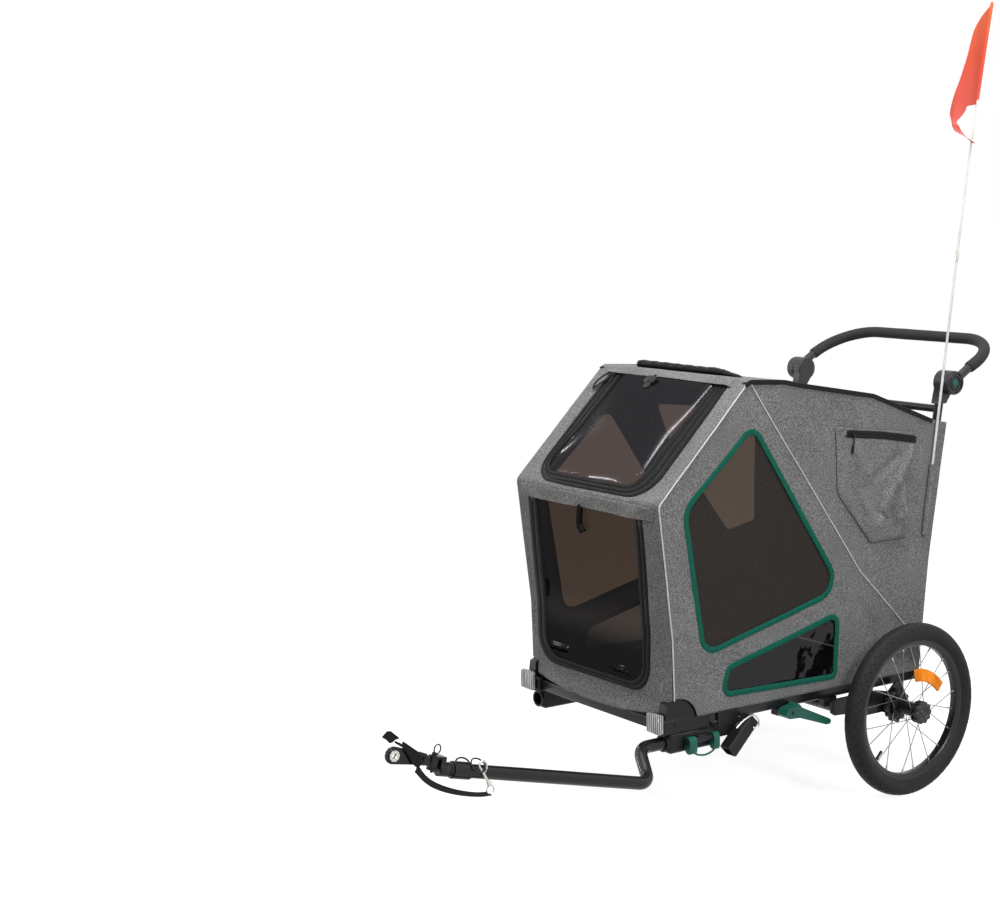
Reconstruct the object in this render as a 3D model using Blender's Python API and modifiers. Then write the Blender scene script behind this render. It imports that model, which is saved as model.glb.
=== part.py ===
# Pet trailer for a bicycle: a low tube base on two spoked wheels, a fabric cabin
# held up by a front hoop and a rear push frame, a drawbar with a universal hitch,
# and a safety pennant. Metres, +Z up, the front faces -Y, the trailer's left is +X.
# All sizes below are laid out from the wheel axle (Y = 0); the whole model is moved
# at the end so that its origin is the middle of its footprint.

import math

import bmesh
import bpy
from mathutils import Matrix, Vector

# Wheels
WHEEL_D = 0.406            # over the tyre
TYRE_W = 0.046             # tyre section, across
TYRE_H = 0.042             # tyre section, from bead to tread
RIM_W = 0.027
RIM_DEPTH = 0.0095         # rim below the tyre bead
TRACK_HALF = 0.3193        # wheel middle plane from the centre plane
RIM_SIDES = 32
SPOKES = 20
SPOKE_R = 0.0011
SPOKE_LACE = math.radians(38.0)      # turn of a spoke's foot round the hub
HUB_SHELL_R = 0.0155
HUB_FLANGE_R = 0.026
HUB_DISC_R = 0.039         # toothed parking disc on the inner side
HUB_DISC_T = 0.005
DISC_TEETH = 12
HUB_INNER = 0.0445         # inner end of the hub, from the wheel plane
HUB_OUTER = 0.0340         # outer flange of the hub, from the wheel plane
HUB_NOSE_R = 0.0135        # sleeve under the press cap
HUB_NOSE_L = 0.0045
AXLE_R = 0.006
AXLE_CLEAR = 0.0003
CAP_R = 0.0265
CAP_T = 0.0125
CAP_CLEAR = 0.0006
CAP_STROKE = 0.003
CAP_SKIRT = 0.0015         # its rim reaches this far inwards of the hub's shoulder
VALVE_TURN = 223.6         # degrees, from the rear, going up
REFLECTOR_TURN = 62.0
REFLECTOR_SPAN = 66.0
REFLECTOR_R0, REFLECTOR_R1 = 0.078, 0.106
REFLECTOR_T = 0.006
REFLECTOR_GAP = 0.0003     # between the reflector and the spokes it clips on

# Base frame
RAIL_W = 0.025
RAIL_H = 0.027
RAIL_TOP = 0.270
RAIL_X = 0.2325            # rail middle from the centre plane
BASE_FRONT = -0.687        # front face of the corner castings
BASE_REAR = 0.112
CROSS_D = 0.025            # cross bars, front to back
CAST_X0 = 0.198            # inner end of a casting's front plate
CAST_Z0 = 0.236
CAST_LEN = 0.132
EAR_Y, EAR_Z, EAR_R = -0.650, 0.256, 0.0545
GAP = 0.0004               # between parts that touch
TRAY_T = 0.012
MAT_T = 0.018
LENS_X0, LENS_X1 = 0.205, 0.252
LENS_Z0, LENS_Z1 = 0.240, 0.285
LENS_T = 0.015

# Cabin profile in the side view, given as (Y, Z) on the outer skin
SKIN_X = 0.250             # outer face of the side skin
SKIN_T = 0.004
FOOT_Y, FOOT_Z = -0.6622, 0.3116     # front corner above the casting
KNEE_Y, KNEE_Z = -0.6700, 0.4465
NOSE_Y, NOSE_Z = -0.7126, 0.7361     # front fold
PEAK_Y, PEAK_Z = -0.4606, 0.9870     # apex
ROOF_Y, ROOF_Z = -0.0744, 0.9350     # bend of the roof line
TAIL_Y, TAIL_Z = 0.1290, 0.8630      # rear end of the roof line
REAR_TOP_Y, REAR_TOP_Z = 0.1775, 0.8540
SKIRT_GAP = 0.0003                   # lower edge of the skin above the rails
SKIRT_Z = RAIL_TOP + SKIRT_GAP
ARCH_R = 0.0572                      # cut-out over the casting
BINDING_W = 0.009                    # green binding round the side windows
SCREEN_T = 0.0035
FLAP_T = 0.003
FLAP_BORDER = 0.028
LOW_W, LOW_TOP, LOW_BOTTOM = 0.2065, 0.705, 0.300    # front flap
SLOPE_W1, SLOPE_W2, SLOPE_TOP = 0.178, 0.205, 0.343  # flap in the slope
DOOR_W, DOOR_TOP, DOOR_BOTTOM = 0.190, 0.800, 0.330  # rear door
ROLL_R = 0.0085
POCKET_T = 0.010

# Front hoop and rear frame
HOOP_R = 0.010
HOOP_X = 0.209
HOOP_INSET = 0.0155        # tube middle behind the outer skin
HOOP_PIVOT_Y, HOOP_PIVOT_Z = -0.640, 0.262
HOOP_PIN_R = 0.005
HOOP_EYE_R = 0.0135
PIN_CLEAR = 0.0003
POST_R = 0.0105
POST_X = 0.2323
POST_FOOT_Y, POST_FOOT_Z = 0.074, 0.288
POST_LEAN = 0.1518         # rearward travel for each metre up
POST_TOP_Z = 0.9150
POST_EYE_R = 0.0135
POST_PIN_R = 0.005
CROSS_Z = 0.885
CROSS_R = 0.009
HINGE_Y, HINGE_Z = 0.1846, 0.9475
HINGE_R = 0.0285
HOUSING_W = 0.0235
HUB_W = 0.0190
BUTTON_R = 0.0095
BUTTON_STROKE = 0.003
BUTTON_PROUD = 0.0028
BAR_R = 0.0098
GRIP_R = 0.0138
NECK_L = 0.062             # bare arm between hub and foam
HANDLE_RISE = 30.7         # degrees above level
HANDLE_LEN = 0.1981
HANDLE_BEND = 0.070

# Drawbar
DRAW_R = 0.0140
DRAW_CLEAR = 0.0006
DRAW_X, DRAW_Z = 0.2235, 0.2135      # bore of the receiver
DRAW_IN = 0.118                      # length held in the receiver
DRAW_OUT_X = 0.300                   # the long run stands further out
DRAW_LOW_Y, DRAW_LOW_Z = -0.770, 0.1620
DRAW_END_Y, DRAW_END_Z = -1.2620, 0.2820
RECV_W = 0.042
RECV_H = 0.0435
RECV_FRONT = -0.665
RECV_LEN = 0.135
LOCK_X, LOCK_Z = 0.2556, 0.2165      # shaft of the green lock handle
LOCK_Y0, LOCK_Y1 = -0.628, -0.541
LOCK_SHAFT_R = 0.0062
SLEEVE_WALL = 0.0035
SLEEVE_L = 0.036
YAW_S = 0.0521                       # upright pin, along the drawbar from its end
PITCH_S, PITCH_U = 0.0821, 0.0185    # level bolt
PIN_R = 0.003
NOSE_PLATE_Y, NOSE_PLATE_Z, NOSE_PLATE_R = -1.4053, 0.3382, 0.0170
AXLE_HOLE_R = 0.0052                 # for the bicycle's rear axle
PLATE_T = 0.006
STRAP_W = 0.019
STRAP_T = 0.0024
STRAP_TWIST = 75.0
STRAP_RING_R = 0.0232
RING_BACK = 0.0528
HOOK_LIFT = 0.0042           # strap ring's wire below the top of the hook's ring

# Accessory socket and brake pedal
SOCKET_TILT = 45.0
SOCKET_Y, SOCKET_Z = -0.485, 0.212
SOCKET_W = 0.032
SOCKET_WALL = 0.003
SOCKET_L = 0.095
SOCKET_END = 0.004
SOCKET_PLATE = 0.005
SOCKET_PIN_AT = -0.012
SOCKET_PIN_R = 0.003
PEDAL_Y, PEDAL_Z = -0.335, 0.238
PEDAL_X0, PEDAL_X1 = 0.2495, 0.2785
PEDAL_L = 0.122
PEDAL_PIN_R = 0.004

# Axle beam
BEAM_Y, BEAM_Z, BEAM_R = -0.180, 0.2255, 0.0150
DROP_X0, DROP_T = 0.262, 0.006

# Pennant and its pole
POLE_R = 0.0030
POLE_X = 0.2572
POLE_FOOT = (0.1030, 0.6000)
POLE_MID = (0.1840, 1.2435)
POLE_TOP = (0.2751, 1.8228)
POLE_SLEEVE_R = 0.0068
POLE_CLEAR = 0.0008
SLEEVE_TOP = 0.760
FLAG_W = 0.135
FLAG_T = 0.0010
FLAG_WAVE = 0.009
FLAG_GAP = 0.0004           # hem beside the pole

AXLE_AT_Y = 0.531          # the axle's place behind the middle of the footprint

COL = bpy.data.collections


def clear_scene():
    for o in list(bpy.data.objects):
        bpy.data.objects.remove(o, do_unlink=True)


clear_scene()
PARTS = COL.new("pet_trailer")
bpy.context.scene.collection.children.link(PARTS)
MATS = {}


def material(name, rgb, rough, metal=0.0, alpha=1.0):
    if name not in MATS:
        m = bpy.data.materials.new(name)
        m.use_nodes = True
        b = m.node_tree.nodes["Principled BSDF"]
        b.inputs["Base Color"].default_value = (*rgb, 1.0)
        b.inputs["Roughness"].default_value = rough
        b.inputs["Metallic"].default_value = metal
        b.inputs["Alpha"].default_value = alpha
        MATS[name] = m
    return MATS[name]


BLACK_STEEL = ("black_steel", (0.016, 0.016, 0.018), 0.38, 0.25)
BLACK_PLASTIC = ("black_plastic", (0.018, 0.018, 0.019), 0.5)
RUBBER = ("tyre_rubber", (0.03, 0.03, 0.031), 0.72)
FOAM = ("grip_foam", (0.045, 0.042, 0.042), 0.85)
GREEN = ("green_plastic", (0.012, 0.13, 0.085), 0.45)
FABRIC = ("grey_fabric", (0.2, 0.2, 0.2), 0.95)
MESH = ("dark_mesh", (0.02, 0.018, 0.017), 0.8)
FILM = ("clear_film", (0.05, 0.045, 0.042), 0.12)
BINDING = ("black_binding", (0.014, 0.013, 0.013), 0.8)
BRIGHT = ("bright_steel", (0.62, 0.62, 0.6), 0.25, 1.0)
AMBER = ("amber_reflector", (0.95, 0.27, 0.01), 0.3)
CLEAR_LENS = ("clear_reflector", (0.62, 0.63, 0.64), 0.2)
FLAG_ORANGE = ("pennant_orange", (0.9, 0.12, 0.05), 0.7)
POLE_WHITE = ("pole_white", (0.75, 0.74, 0.7), 0.4)
MAT_CLOTH = ("floor_mat", (0.03, 0.03, 0.032), 0.9)


# Small modelling helpers. Each returns an object whose mesh is in world space.

def link(name, mesh, mat):
    o = bpy.data.objects.new(name, mesh)
    PARTS.objects.link(o)
    o.data.materials.clear()
    o.data.materials.append(material(*mat))
    return o


def tidy(mesh, dist=1e-6):
    bm = bmesh.new()
    bm.from_mesh(mesh)
    bmesh.ops.remove_doubles(bm, verts=bm.verts, dist=dist)
    bmesh.ops.dissolve_degenerate(bm, edges=bm.edges, dist=1e-7)
    bmesh.ops.recalc_face_normals(bm, faces=bm.faces)
    bm.to_mesh(mesh)
    bm.free()


def realise(obj, name=None, mat=None, dist=1e-6):
    """The evaluated object as one plain mesh in world space."""
    dg = bpy.context.evaluated_depsgraph_get()
    dg.update()
    ev = obj.evaluated_get(dg)
    mesh = bpy.data.meshes.new_from_object(ev, depsgraph=dg)
    mesh.transform(obj.matrix_world)
    tidy(mesh, dist)
    keep = name or obj.name
    bpy.data.objects.remove(obj, do_unlink=True)
    return link(keep, mesh, mat or BLACK_STEEL)


def box(name, x, y, z, mat=BLACK_STEEL, bevel=0.0, segments=1):
    bm = bmesh.new()
    bmesh.ops.create_cube(bm, size=1.0)
    for v in bm.verts:
        v.co = Vector((x[0] + (v.co.x + 0.5) * (x[1] - x[0]),
                       y[0] + (v.co.y + 0.5) * (y[1] - y[0]),
                       z[0] + (v.co.z + 0.5) * (z[1] - z[0])))
    mesh = bpy.data.meshes.new(name)
    bm.to_mesh(mesh)
    bm.free()
    o = link(name, mesh, mat)
    if bevel:
        m = o.modifiers.new("edge", "BEVEL")
        m.width = bevel
        m.segments = segments
        m.limit_method = "ANGLE"
        o = realise(o, name, mat)
    return o


def cylinder(name, start, end, r, mat=BLACK_STEEL, sides=20, r2=None, turn=0.0):
    a, b = Vector(start), Vector(end)
    d = b - a
    bm = bmesh.new()
    bmesh.ops.create_cone(bm, cap_ends=True, segments=sides, radius1=r,
                          radius2=r if r2 is None else r2, depth=d.length)
    rot = d.to_track_quat("Z", "Y").to_matrix().to_4x4()
    spin = Matrix.Rotation(turn, 4, "Z")
    bmesh.ops.transform(bm, matrix=Matrix.Translation((a + b) / 2) @ rot @ spin, verts=bm.verts)
    mesh = bpy.data.meshes.new(name)
    bm.to_mesh(mesh)
    bm.free()
    return link(name, mesh, mat)


def smooth_path(points, radius, steps=5):
    """Corner points joined by straight runs and arcs of the given bend radius."""
    pts = [Vector(p) for p in points]
    radii = radius if isinstance(radius, (list, tuple)) else [radius] * (len(pts) - 2)
    out = [pts[0]]
    for i in range(1, len(pts) - 1):
        a, b, c = pts[i - 1], pts[i], pts[i + 1]
        u, v = (a - b).normalized(), (c - b).normalized()
        half = math.acos(max(-1.0, min(1.0, u.dot(v)))) / 2
        if radii[i - 1] <= 0 or half > math.pi / 2 - 0.02:
            out.append(b)
            continue
        reach = radii[i - 1] / math.tan(half)
        centre = b + (u + v).normalized() * (radii[i - 1] / math.sin(half))
        p, q = b + u * reach, b + v * reach
        e1 = (p - centre).normalized()
        sweep = math.pi - 2 * half
        e2 = ((q - centre) - e1 * (q - centre).dot(e1)).normalized()
        for k in range(steps + 1):
            t = sweep * k / steps
            out.append(centre + radii[i - 1] * (e1 * math.cos(t) + e2 * math.sin(t)))
    out.append(pts[-1])
    return out


def tube(name, points, r, mat=BLACK_STEEL, resolution=2, cyclic=False):
    cu = bpy.data.curves.new(name, "CURVE")
    cu.dimensions = "3D"
    cu.bevel_depth = r
    cu.bevel_resolution = resolution
    cu.use_fill_caps = not cyclic
    s = cu.splines.new("POLY")
    s.points.add(len(points) - 1)
    for p, q in zip(s.points, points):
        p.co = (*q, 1.0)
    s.use_cyclic_u = cyclic
    o = bpy.data.objects.new(name, cu)
    PARTS.objects.link(o)
    return realise(o, name, mat)


def plate(name, loops, thick, frame, mat=BLACK_STEEL, bevel=0.0):
    """A flat outline (first loop) with holes (the others), thickened evenly about
    the plane that frame carries local XY to."""
    cu = bpy.data.curves.new(name, "CURVE")
    cu.dimensions = "2D"
    cu.fill_mode = "BOTH"
    cu.extrude = thick / 2 - bevel
    cu.bevel_depth = bevel
    cu.bevel_resolution = 0
    cu.offset = -bevel
    for loop in loops:
        s = cu.splines.new("POLY")
        s.points.add(len(loop) - 1)
        for p, q in zip(s.points, loop):
            p.co = (q[0], q[1], 0.0, 1.0)
        s.use_cyclic_u = True
    o = bpy.data.objects.new(name, cu)
    PARTS.objects.link(o)
    o.matrix_world = frame
    bpy.context.view_layer.update()
    return realise(o, name, mat)


def side_frame(x):
    """Local X is world Y, local Y is world Z, local Z is world X."""
    return Matrix(((0, 0, 1, x), (1, 0, 0, 0), (0, 1, 0, 0), (0, 0, 0, 1)))


def slope_frame(a, b, inset):
    """For a panel whose local X is world X and whose local Y runs from a to b in
    the side view; inset moves it inwards."""
    d = Vector((0, b[0] - a[0], b[1] - a[1])).normalized()
    n = Vector((1, 0, 0)).cross(d)
    o = Vector((0, a[0], a[1])) - n * inset
    return Matrix(((1, d.x, n.x, o.x), (0, d.y, n.y, o.y), (0, d.z, n.z, o.z), (0, 0, 0, 1)))


def rounded(points, radius, steps=4):
    """A closed outline with its corners rounded."""
    n = len(points)
    radii = radius if isinstance(radius, (list, tuple)) else [radius] * n
    out = []
    for i in range(n):
        a, b, c = (Vector(points[(i + k - 1) % n]) for k in range(3))
        if radii[i] <= 0:
            out.append((b.x, b.y))
            continue
        u, v = (a - b).normalized(), (c - b).normalized()
        half = math.acos(max(-1.0, min(1.0, u.dot(v)))) / 2
        reach = min(radii[i] / math.tan(half), 0.48 * min((a - b).length, (c - b).length))
        rr = reach * math.tan(half)
        centre = b + (u + v).normalized() * (rr / math.sin(half))
        p, q = b + u * reach, b + v * reach
        e1 = (p - centre).normalized()
        sweep = math.pi - 2 * half
        e2 = ((q - centre) - e1 * (q - centre).dot(e1)).normalized()
        for k in range(steps + 1):
            t = sweep * k / steps
            w = centre + rr * (e1 * math.cos(t) + e2 * math.sin(t))
            out.append((w.x, w.y))
    return out


def offset_outline(points, by):
    """A closed outline moved inwards (its own plane) by a distance."""
    n = len(points)
    area = sum(points[i][0] * points[(i + 1) % n][1] - points[(i + 1) % n][0] * points[i][1]
               for i in range(n))
    sign = 1.0 if area > 0 else -1.0
    out = []
    for i in range(n):
        a, b, c = (Vector(points[(i + k - 1) % n]) for k in range(3))
        u, v = (b - a), (c - b)
        if u.length < 1e-9 or v.length < 1e-9:
            continue
        u.normalize()
        v.normalize()
        n1, n2 = Vector((-u.y, u.x)) * sign, Vector((-v.y, v.x)) * sign
        m = n1 + n2
        m = m / max(m.dot(n1), 0.3)
        w = b + m * by
        out.append((w.x, w.y))
    return out


def boolean(a, b, how):
    mat = a.data.materials[0]
    name = a.name
    m = a.modifiers.new("join", "BOOLEAN")
    m.operation = how
    m.object = b
    m.solver = "EXACT"
    o = realise(a, name)
    o.data.materials.clear()
    o.data.materials.append(mat)
    bpy.data.objects.remove(b, do_unlink=True)
    return o


def union(a, *others):
    for b in others:
        a = boolean(a, b, "UNION")
    return a


def cut(a, *others):
    for b in others:
        a = boolean(a, b, "DIFFERENCE")
    return a


def mirrored(obj, name):
    mesh = obj.data.copy()
    mesh.transform(Matrix.Diagonal((-1, 1, 1, 1)))
    mesh.flip_normals()
    o = bpy.data.objects.new(name, mesh)
    PARTS.objects.link(o)
    return o


def pivot(obj, point):
    """Put the object's origin on its joint's axis."""
    p = Vector(point)
    obj.data.transform(Matrix.Translation(-p))
    obj.location = p
    return obj


def turned(name, profile, centre, mat, steps=40, closed=True):
    """A profile of (distance along X, radius) turned about the X axis at centre."""
    mesh = bpy.data.meshes.new(name)
    bm = bmesh.new()
    vs = [bm.verts.new((p[0], 0.0, p[1])) for p in profile]
    for i in range(len(vs) - 1):
        bm.edges.new((vs[i], vs[i + 1]))
    if closed:
        bm.edges.new((vs[-1], vs[0]))
    bm.to_mesh(mesh)
    bm.free()
    o = bpy.data.objects.new(name, mesh)
    PARTS.objects.link(o)
    s = o.modifiers.new("turn", "SCREW")
    s.axis = "X"
    s.steps = steps
    s.render_steps = steps
    s.use_merge_vertices = True
    s.merge_threshold = 1e-6
    s.use_normal_calculate = True
    o.location = centre
    bpy.context.view_layer.update()
    return realise(o, name, mat)

# Wheels and their caps

def ring_teeth(count, r_out, r_in, share=0.5):
    """The outline of a toothed disc, as local YZ points."""
    out = []
    for i in range(count):
        a = 2 * math.pi * i / count
        w = math.pi / count
        for t, r in ((-w * share, r_out), (w * share, r_out), (w, r_in)):
            out.append((r * math.cos(a + t), r * math.sin(a + t)))
    return out


def circle(r, n, cy=0.0, cz=0.0, turn=0.0):
    return [(cy + r * math.cos(2 * math.pi * i / n + turn), cz + r * math.sin(2 * math.pi * i / n + turn))
            for i in range(n)]


AXLE_Z = WHEEL_D / 2
TYRE_R = WHEEL_D / 2
BEAD_R = TYRE_R - TYRE_H
RIM_BED = BEAD_R - GAP
BORE_R = AXLE_R + AXLE_CLEAR


def make_wheel(name, tyre_name, cap_name, reflector_name):
    c = (TRACK_HALF, 0.0, AXLE_Z)
    well = RIM_BED - RIM_DEPTH
    w = RIM_W / 2
    rim = turned("rim", [(-w, BEAD_R + 0.005), (-w + 0.0020, BEAD_R + 0.005), (-w + 0.0022, RIM_BED),
                         (w - 0.0022, RIM_BED), (w - 0.0020, BEAD_R + 0.005), (w, BEAD_R + 0.005),
                         (w * 0.60, well), (-w * 0.60, well)],
                 c, BLACK_PLASTIC, RIM_SIDES)
    a, b = -HUB_INNER, HUB_OUTER
    fl = HUB_FLANGE_R
    hub = turned("hub", [(a, BORE_R), (a, 0.018), (a + 0.0140, HUB_SHELL_R), (a + 0.0150, fl), (a + 0.0190, fl),
                         (a + 0.0200, HUB_SHELL_R), (b - 0.0110, HUB_SHELL_R), (b - 0.0100, fl), (b - 0.0060, fl),
                         (b - 0.0050, HUB_NOSE_R), (b + HUB_NOSE_L, HUB_NOSE_R), (b + HUB_NOSE_L, BORE_R)],
                 c, BLACK_STEEL, 16)
    disc = plate("teeth", [ring_teeth(DISC_TEETH, HUB_DISC_R, HUB_DISC_R - 0.006), circle(0.0145, 8)],
                 HUB_DISC_T, Matrix.Translation((0, 0, AXLE_Z)) @ side_frame(TRACK_HALF + a + HUB_DISC_T / 2),
                 BLACK_PLASTIC)
    hub = union(hub, disc)
    bm = bmesh.new()
    for i in range(SPOKES):
        outer = i % 2 == 0
        k = i // 2
        lead = 1 if k % 2 == 0 else -1
        x_hub = (b - 0.00825) if outer else (a + 0.01675)
        x_hub += 0.0022 * lead * (1 if outer else -1)
        foot = 2 * math.pi * (i + 0.5) / SPOKES
        root = foot - lead * SPOKE_LACE
        p = Vector((TRACK_HALF + x_hub, (fl - 0.004) * math.cos(root), AXLE_Z + (fl - 0.004) * math.sin(root)))
        q = Vector((TRACK_HALF + (0.003 if outer else -0.003), (well + 0.004) * math.cos(foot),
                    AXLE_Z + (well + 0.004) * math.sin(foot)))
        d = q - p
        m = Matrix.Translation((p + q) / 2) @ d.to_track_quat("Z", "Y").to_matrix().to_4x4()
        bmesh.ops.create_cone(bm, cap_ends=True, segments=4, radius1=SPOKE_R, radius2=SPOKE_R,
                              depth=d.length, matrix=m)
    mesh = bpy.data.meshes.new("spokes")
    bm.to_mesh(mesh)
    bm.free()
    spokes = link("spokes", mesh, BRIGHT)
    wheel = union(rim, spokes, hub)
    v = math.radians(VALVE_TURN)
    wheel = union(wheel, cylinder("valve", (TRACK_HALF, (well + 0.003) * math.cos(v), AXLE_Z + (well + 0.003) * math.sin(v)),
                                  (TRACK_HALF, (well - 0.027) * math.cos(v), AXLE_Z + (well - 0.027) * math.sin(v)),
                                  0.0032, RUBBER, 6))
    wheel.name = name
    h, s = BEAD_R, TYRE_W / 2
    top = TYRE_R
    prof = [(w - 0.0026, h), (w - 0.0026, h + 0.0058), (s * 0.93, h + 0.0135), (s * 0.96, h + 0.0270),
            (s * 0.50, top - 0.0012)]
    tyre = turned(tyre_name, prof + [(0.0, top)] + [(-x, r) for x, r in prof[::-1]], c, RUBBER, RIM_SIDES)
    e = b + HUB_NOSE_L
    cap = turned(cap_name, [(e + CAP_STROKE + 0.0003, 0.0), (e + CAP_STROKE + 0.0003, HUB_NOSE_R + CAP_CLEAR),
                            (b - CAP_SKIRT, HUB_NOSE_R + CAP_CLEAR), (b - CAP_SKIRT, CAP_R), (b + CAP_T - 0.0035, CAP_R),
                            (b + CAP_T - 0.0005, CAP_R - 0.004),
                            (b + CAP_T, 0.0130), (b + CAP_T - 0.0015, 0.0115),
                            (b + CAP_T - 0.0010, 0.0)],
                 c, BLACK_PLASTIC, 20, closed=False)
    mid = math.radians(REFLECTOR_TURN)
    span = math.radians(REFLECTOR_SPAN / 2)
    pts = []
    for k in range(6):
        t = mid - span + 2 * span * k / 5
        pts.append((REFLECTOR_R1 * math.cos(t), REFLECTOR_R1 * math.sin(t)))
    for k in range(6):
        t = mid + span - 2 * span * k / 5
        pts.append((REFLECTOR_R0 * math.cos(t), REFLECTOR_R0 * math.sin(t)))
    lean = math.atan2(b - 0.00825 - 0.003, well + 0.004 - fl + 0.004)
    er = Vector((0, math.cos(mid), math.sin(mid)))
    et = Vector((0, -math.sin(mid), math.cos(mid)))
    rad = er * math.cos(lean) - Vector((1, 0, 0)) * math.sin(lean)
    nor = Vector((1, 0, 0)) * math.cos(lean) + er * math.sin(lean)
    r_mid = (REFLECTOR_R0 + REFLECTOR_R1) / 2
    x_mid = b - 0.00825 - (r_mid - fl) * math.tan(lean) + SPOKE_R + REFLECTOR_GAP
    local = [(math.cos(mid) * p[0] + math.sin(mid) * p[1], -math.sin(mid) * p[0] + math.cos(mid) * p[1]) for p in pts]
    local = [(p[0] - r_mid, p[1]) for p in local]
    org = Vector((TRACK_HALF + x_mid, 0, AXLE_Z)) + er * r_mid + nor * REFLECTOR_T / 2
    frame = Matrix(((rad.x, et.x, nor.x, org.x), (rad.y, et.y, nor.y, org.y), (rad.z, et.z, nor.z, org.z), (0, 0, 0, 1)))
    refl = plate(reflector_name, [local], REFLECTOR_T, frame, AMBER, bevel=0.0012)
    for o in (wheel, tyre, cap, refl):
        pivot(o, c)
    return wheel, tyre, cap, refl


def mirror_all(pairs):
    out = []
    for obj, name in pairs:
        base = obj.location.copy()
        m = obj.data.copy()
        m.transform(Matrix.Diagonal((-1, 1, 1, 1)))
        m.flip_normals()
        o = bpy.data.objects.new(name, m)
        PARTS.objects.link(o)
        o.location = (-base.x, base.y, base.z)
        out.append(o)
    return out


left = make_wheel("spoked_wheel_L", "tyre_L", "axle_cap_L", "wheel_reflector_L")
mirror_all(zip(left, ("spoked_wheel_R", "tyre_R", "axle_cap_R", "wheel_reflector_R")))

# Base frame: two rails, a rear cross bar and the brackets the rear posts turn on

RX0, RX1 = RAIL_X - RAIL_W / 2, RAIL_X + RAIL_W / 2
RZ0, RZ1 = RAIL_TOP - RAIL_H, RAIL_TOP
CAST_REAR = BASE_FRONT + CAST_LEN
EAR_X0, EAR_X1 = POST_X - POST_R - 0.0053, POST_X - POST_R - 0.0013


def bracket():
    ear_pts = rounded([(POST_FOOT_Y - 0.022, RZ1 - 0.002), (POST_FOOT_Y - 0.015, POST_FOOT_Z + 0.012),
                       (POST_FOOT_Y, POST_FOOT_Z + 0.017), (POST_FOOT_Y + 0.015, POST_FOOT_Z + 0.012),
                       (POST_FOOT_Y + 0.022, RZ1 - 0.002)], [0, 0.010, 0.012, 0.010, 0], 3)
    ear = plate("ear", [ear_pts], EAR_X1 - EAR_X0, side_frame((EAR_X0 + EAR_X1) / 2))
    base = box("base", (EAR_X0 - 0.0008, RX1 - 0.003), (POST_FOOT_Y - 0.024, POST_FOOT_Y + 0.024), (RZ1 - 0.003, RZ1 + 0.0033))
    pin = cylinder("pin", (EAR_X0 + 0.001, POST_FOOT_Y, POST_FOOT_Z), (POST_X + POST_R + 0.0005, POST_FOOT_Y, POST_FOOT_Z),
                   POST_PIN_R, sides=12)
    o = union(base, ear, pin)
    return o


rail = box("rail_l", (RX0, RX1), (CAST_REAR + GAP, BASE_REAR), (RZ0, RZ1), bevel=0.003)
rail = union(rail, bracket())
rail_r = mirrored(rail, "rail_r")
cross = box("rear_cross", (-RX0 - 0.005, RX0 + 0.005), (BASE_REAR - CROSS_D, BASE_REAR - 0.0006), (RZ0 + 0.0006, RZ1 - 0.0006), bevel=0.002)
base_frame = union(rail, rail_r, cross)
base_frame.name = "base_frame"

# Front cross bar and the corner castings that carry the hoop's pivots

box("front_crossbar", (-CAST_X0 + GAP, CAST_X0 - GAP), (BASE_FRONT + 0.007, BASE_FRONT + 0.007 + CROSS_D),
    (RZ1 - 0.0045 - CROSS_D, RZ1 - 0.0045), bevel=0.003, segments=2)

plate_x1 = RX1 + 0.002
front = box("corner_casting_L", (CAST_X0, plate_x1), (BASE_FRONT, BASE_FRONT + 0.019), (CAST_Z0, RZ1 - 0.0005), bevel=0.003)
outer = box("outer", (RX0 + 0.0022, plate_x1 - 0.0002), (BASE_FRONT + 0.004, CAST_REAR), (CAST_Z0 + 0.0005, RZ1 - 0.001), bevel=0.002)
ear_pts = [(p[0], p[1]) for p in circle(EAR_R, 24, EAR_Y, EAR_Z) if p[1] > RZ0 and p[0] > BASE_FRONT + 0.002]
ear_pts = sorted(ear_pts, key=lambda p: math.atan2(p[1] - EAR_Z, p[0] - EAR_Y))
ear_pts = [(EAR_Y + EAR_R - 0.001, RZ0 + 0.002)] + ear_pts + [(BASE_FRONT + 0.003, RZ0 + 0.002)]
ear = plate("ear", [ear_pts], plate_x1 - 0.0012 - (RX0 + 0.0027), side_frame((plate_x1 - 0.0012 + RX0 + 0.0027) / 2))
pin = cylinder("pin", (RX0 + 0.005, HOOP_PIVOT_Y, HOOP_PIVOT_Z), (HOOP_X - 0.0085, HOOP_PIVOT_Y, HOOP_PIVOT_Z), HOOP_PIN_R, sides=12)
screw = turned("screw", [(0.0, 0.0), (0.0, 0.0042), (0.0016, 0.0042), (0.0022, 0.003), (0.0022, 0.0)],
               (plate_x1 - 0.0006, EAR_Y - 0.002, RZ0 + 0.0125), BRIGHT, 10, closed=False)
casting = union(front, outer, ear, pin, screw)
lens_y = BASE_FRONT - GAP
casting.name = "corner_casting_L"
mirrored(casting, "corner_casting_R")

lens = box("front_reflector_L", (LENS_X0, LENS_X1), (lens_y - LENS_T, lens_y), (LENS_Z0, LENS_Z1), CLEAR_LENS, bevel=0.004)
mirrored(lens, "front_reflector_R")

# Receivers for the drawbar, under the castings

RECV_X0, RECV_X1 = DRAW_X - RECV_W / 2, DRAW_X + RECV_W / 2
RECV_Z1 = CAST_Z0 - GAP
RECV_Z0 = RECV_Z1 - RECV_H
BORE_DRAW = DRAW_R + DRAW_CLEAR


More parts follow.
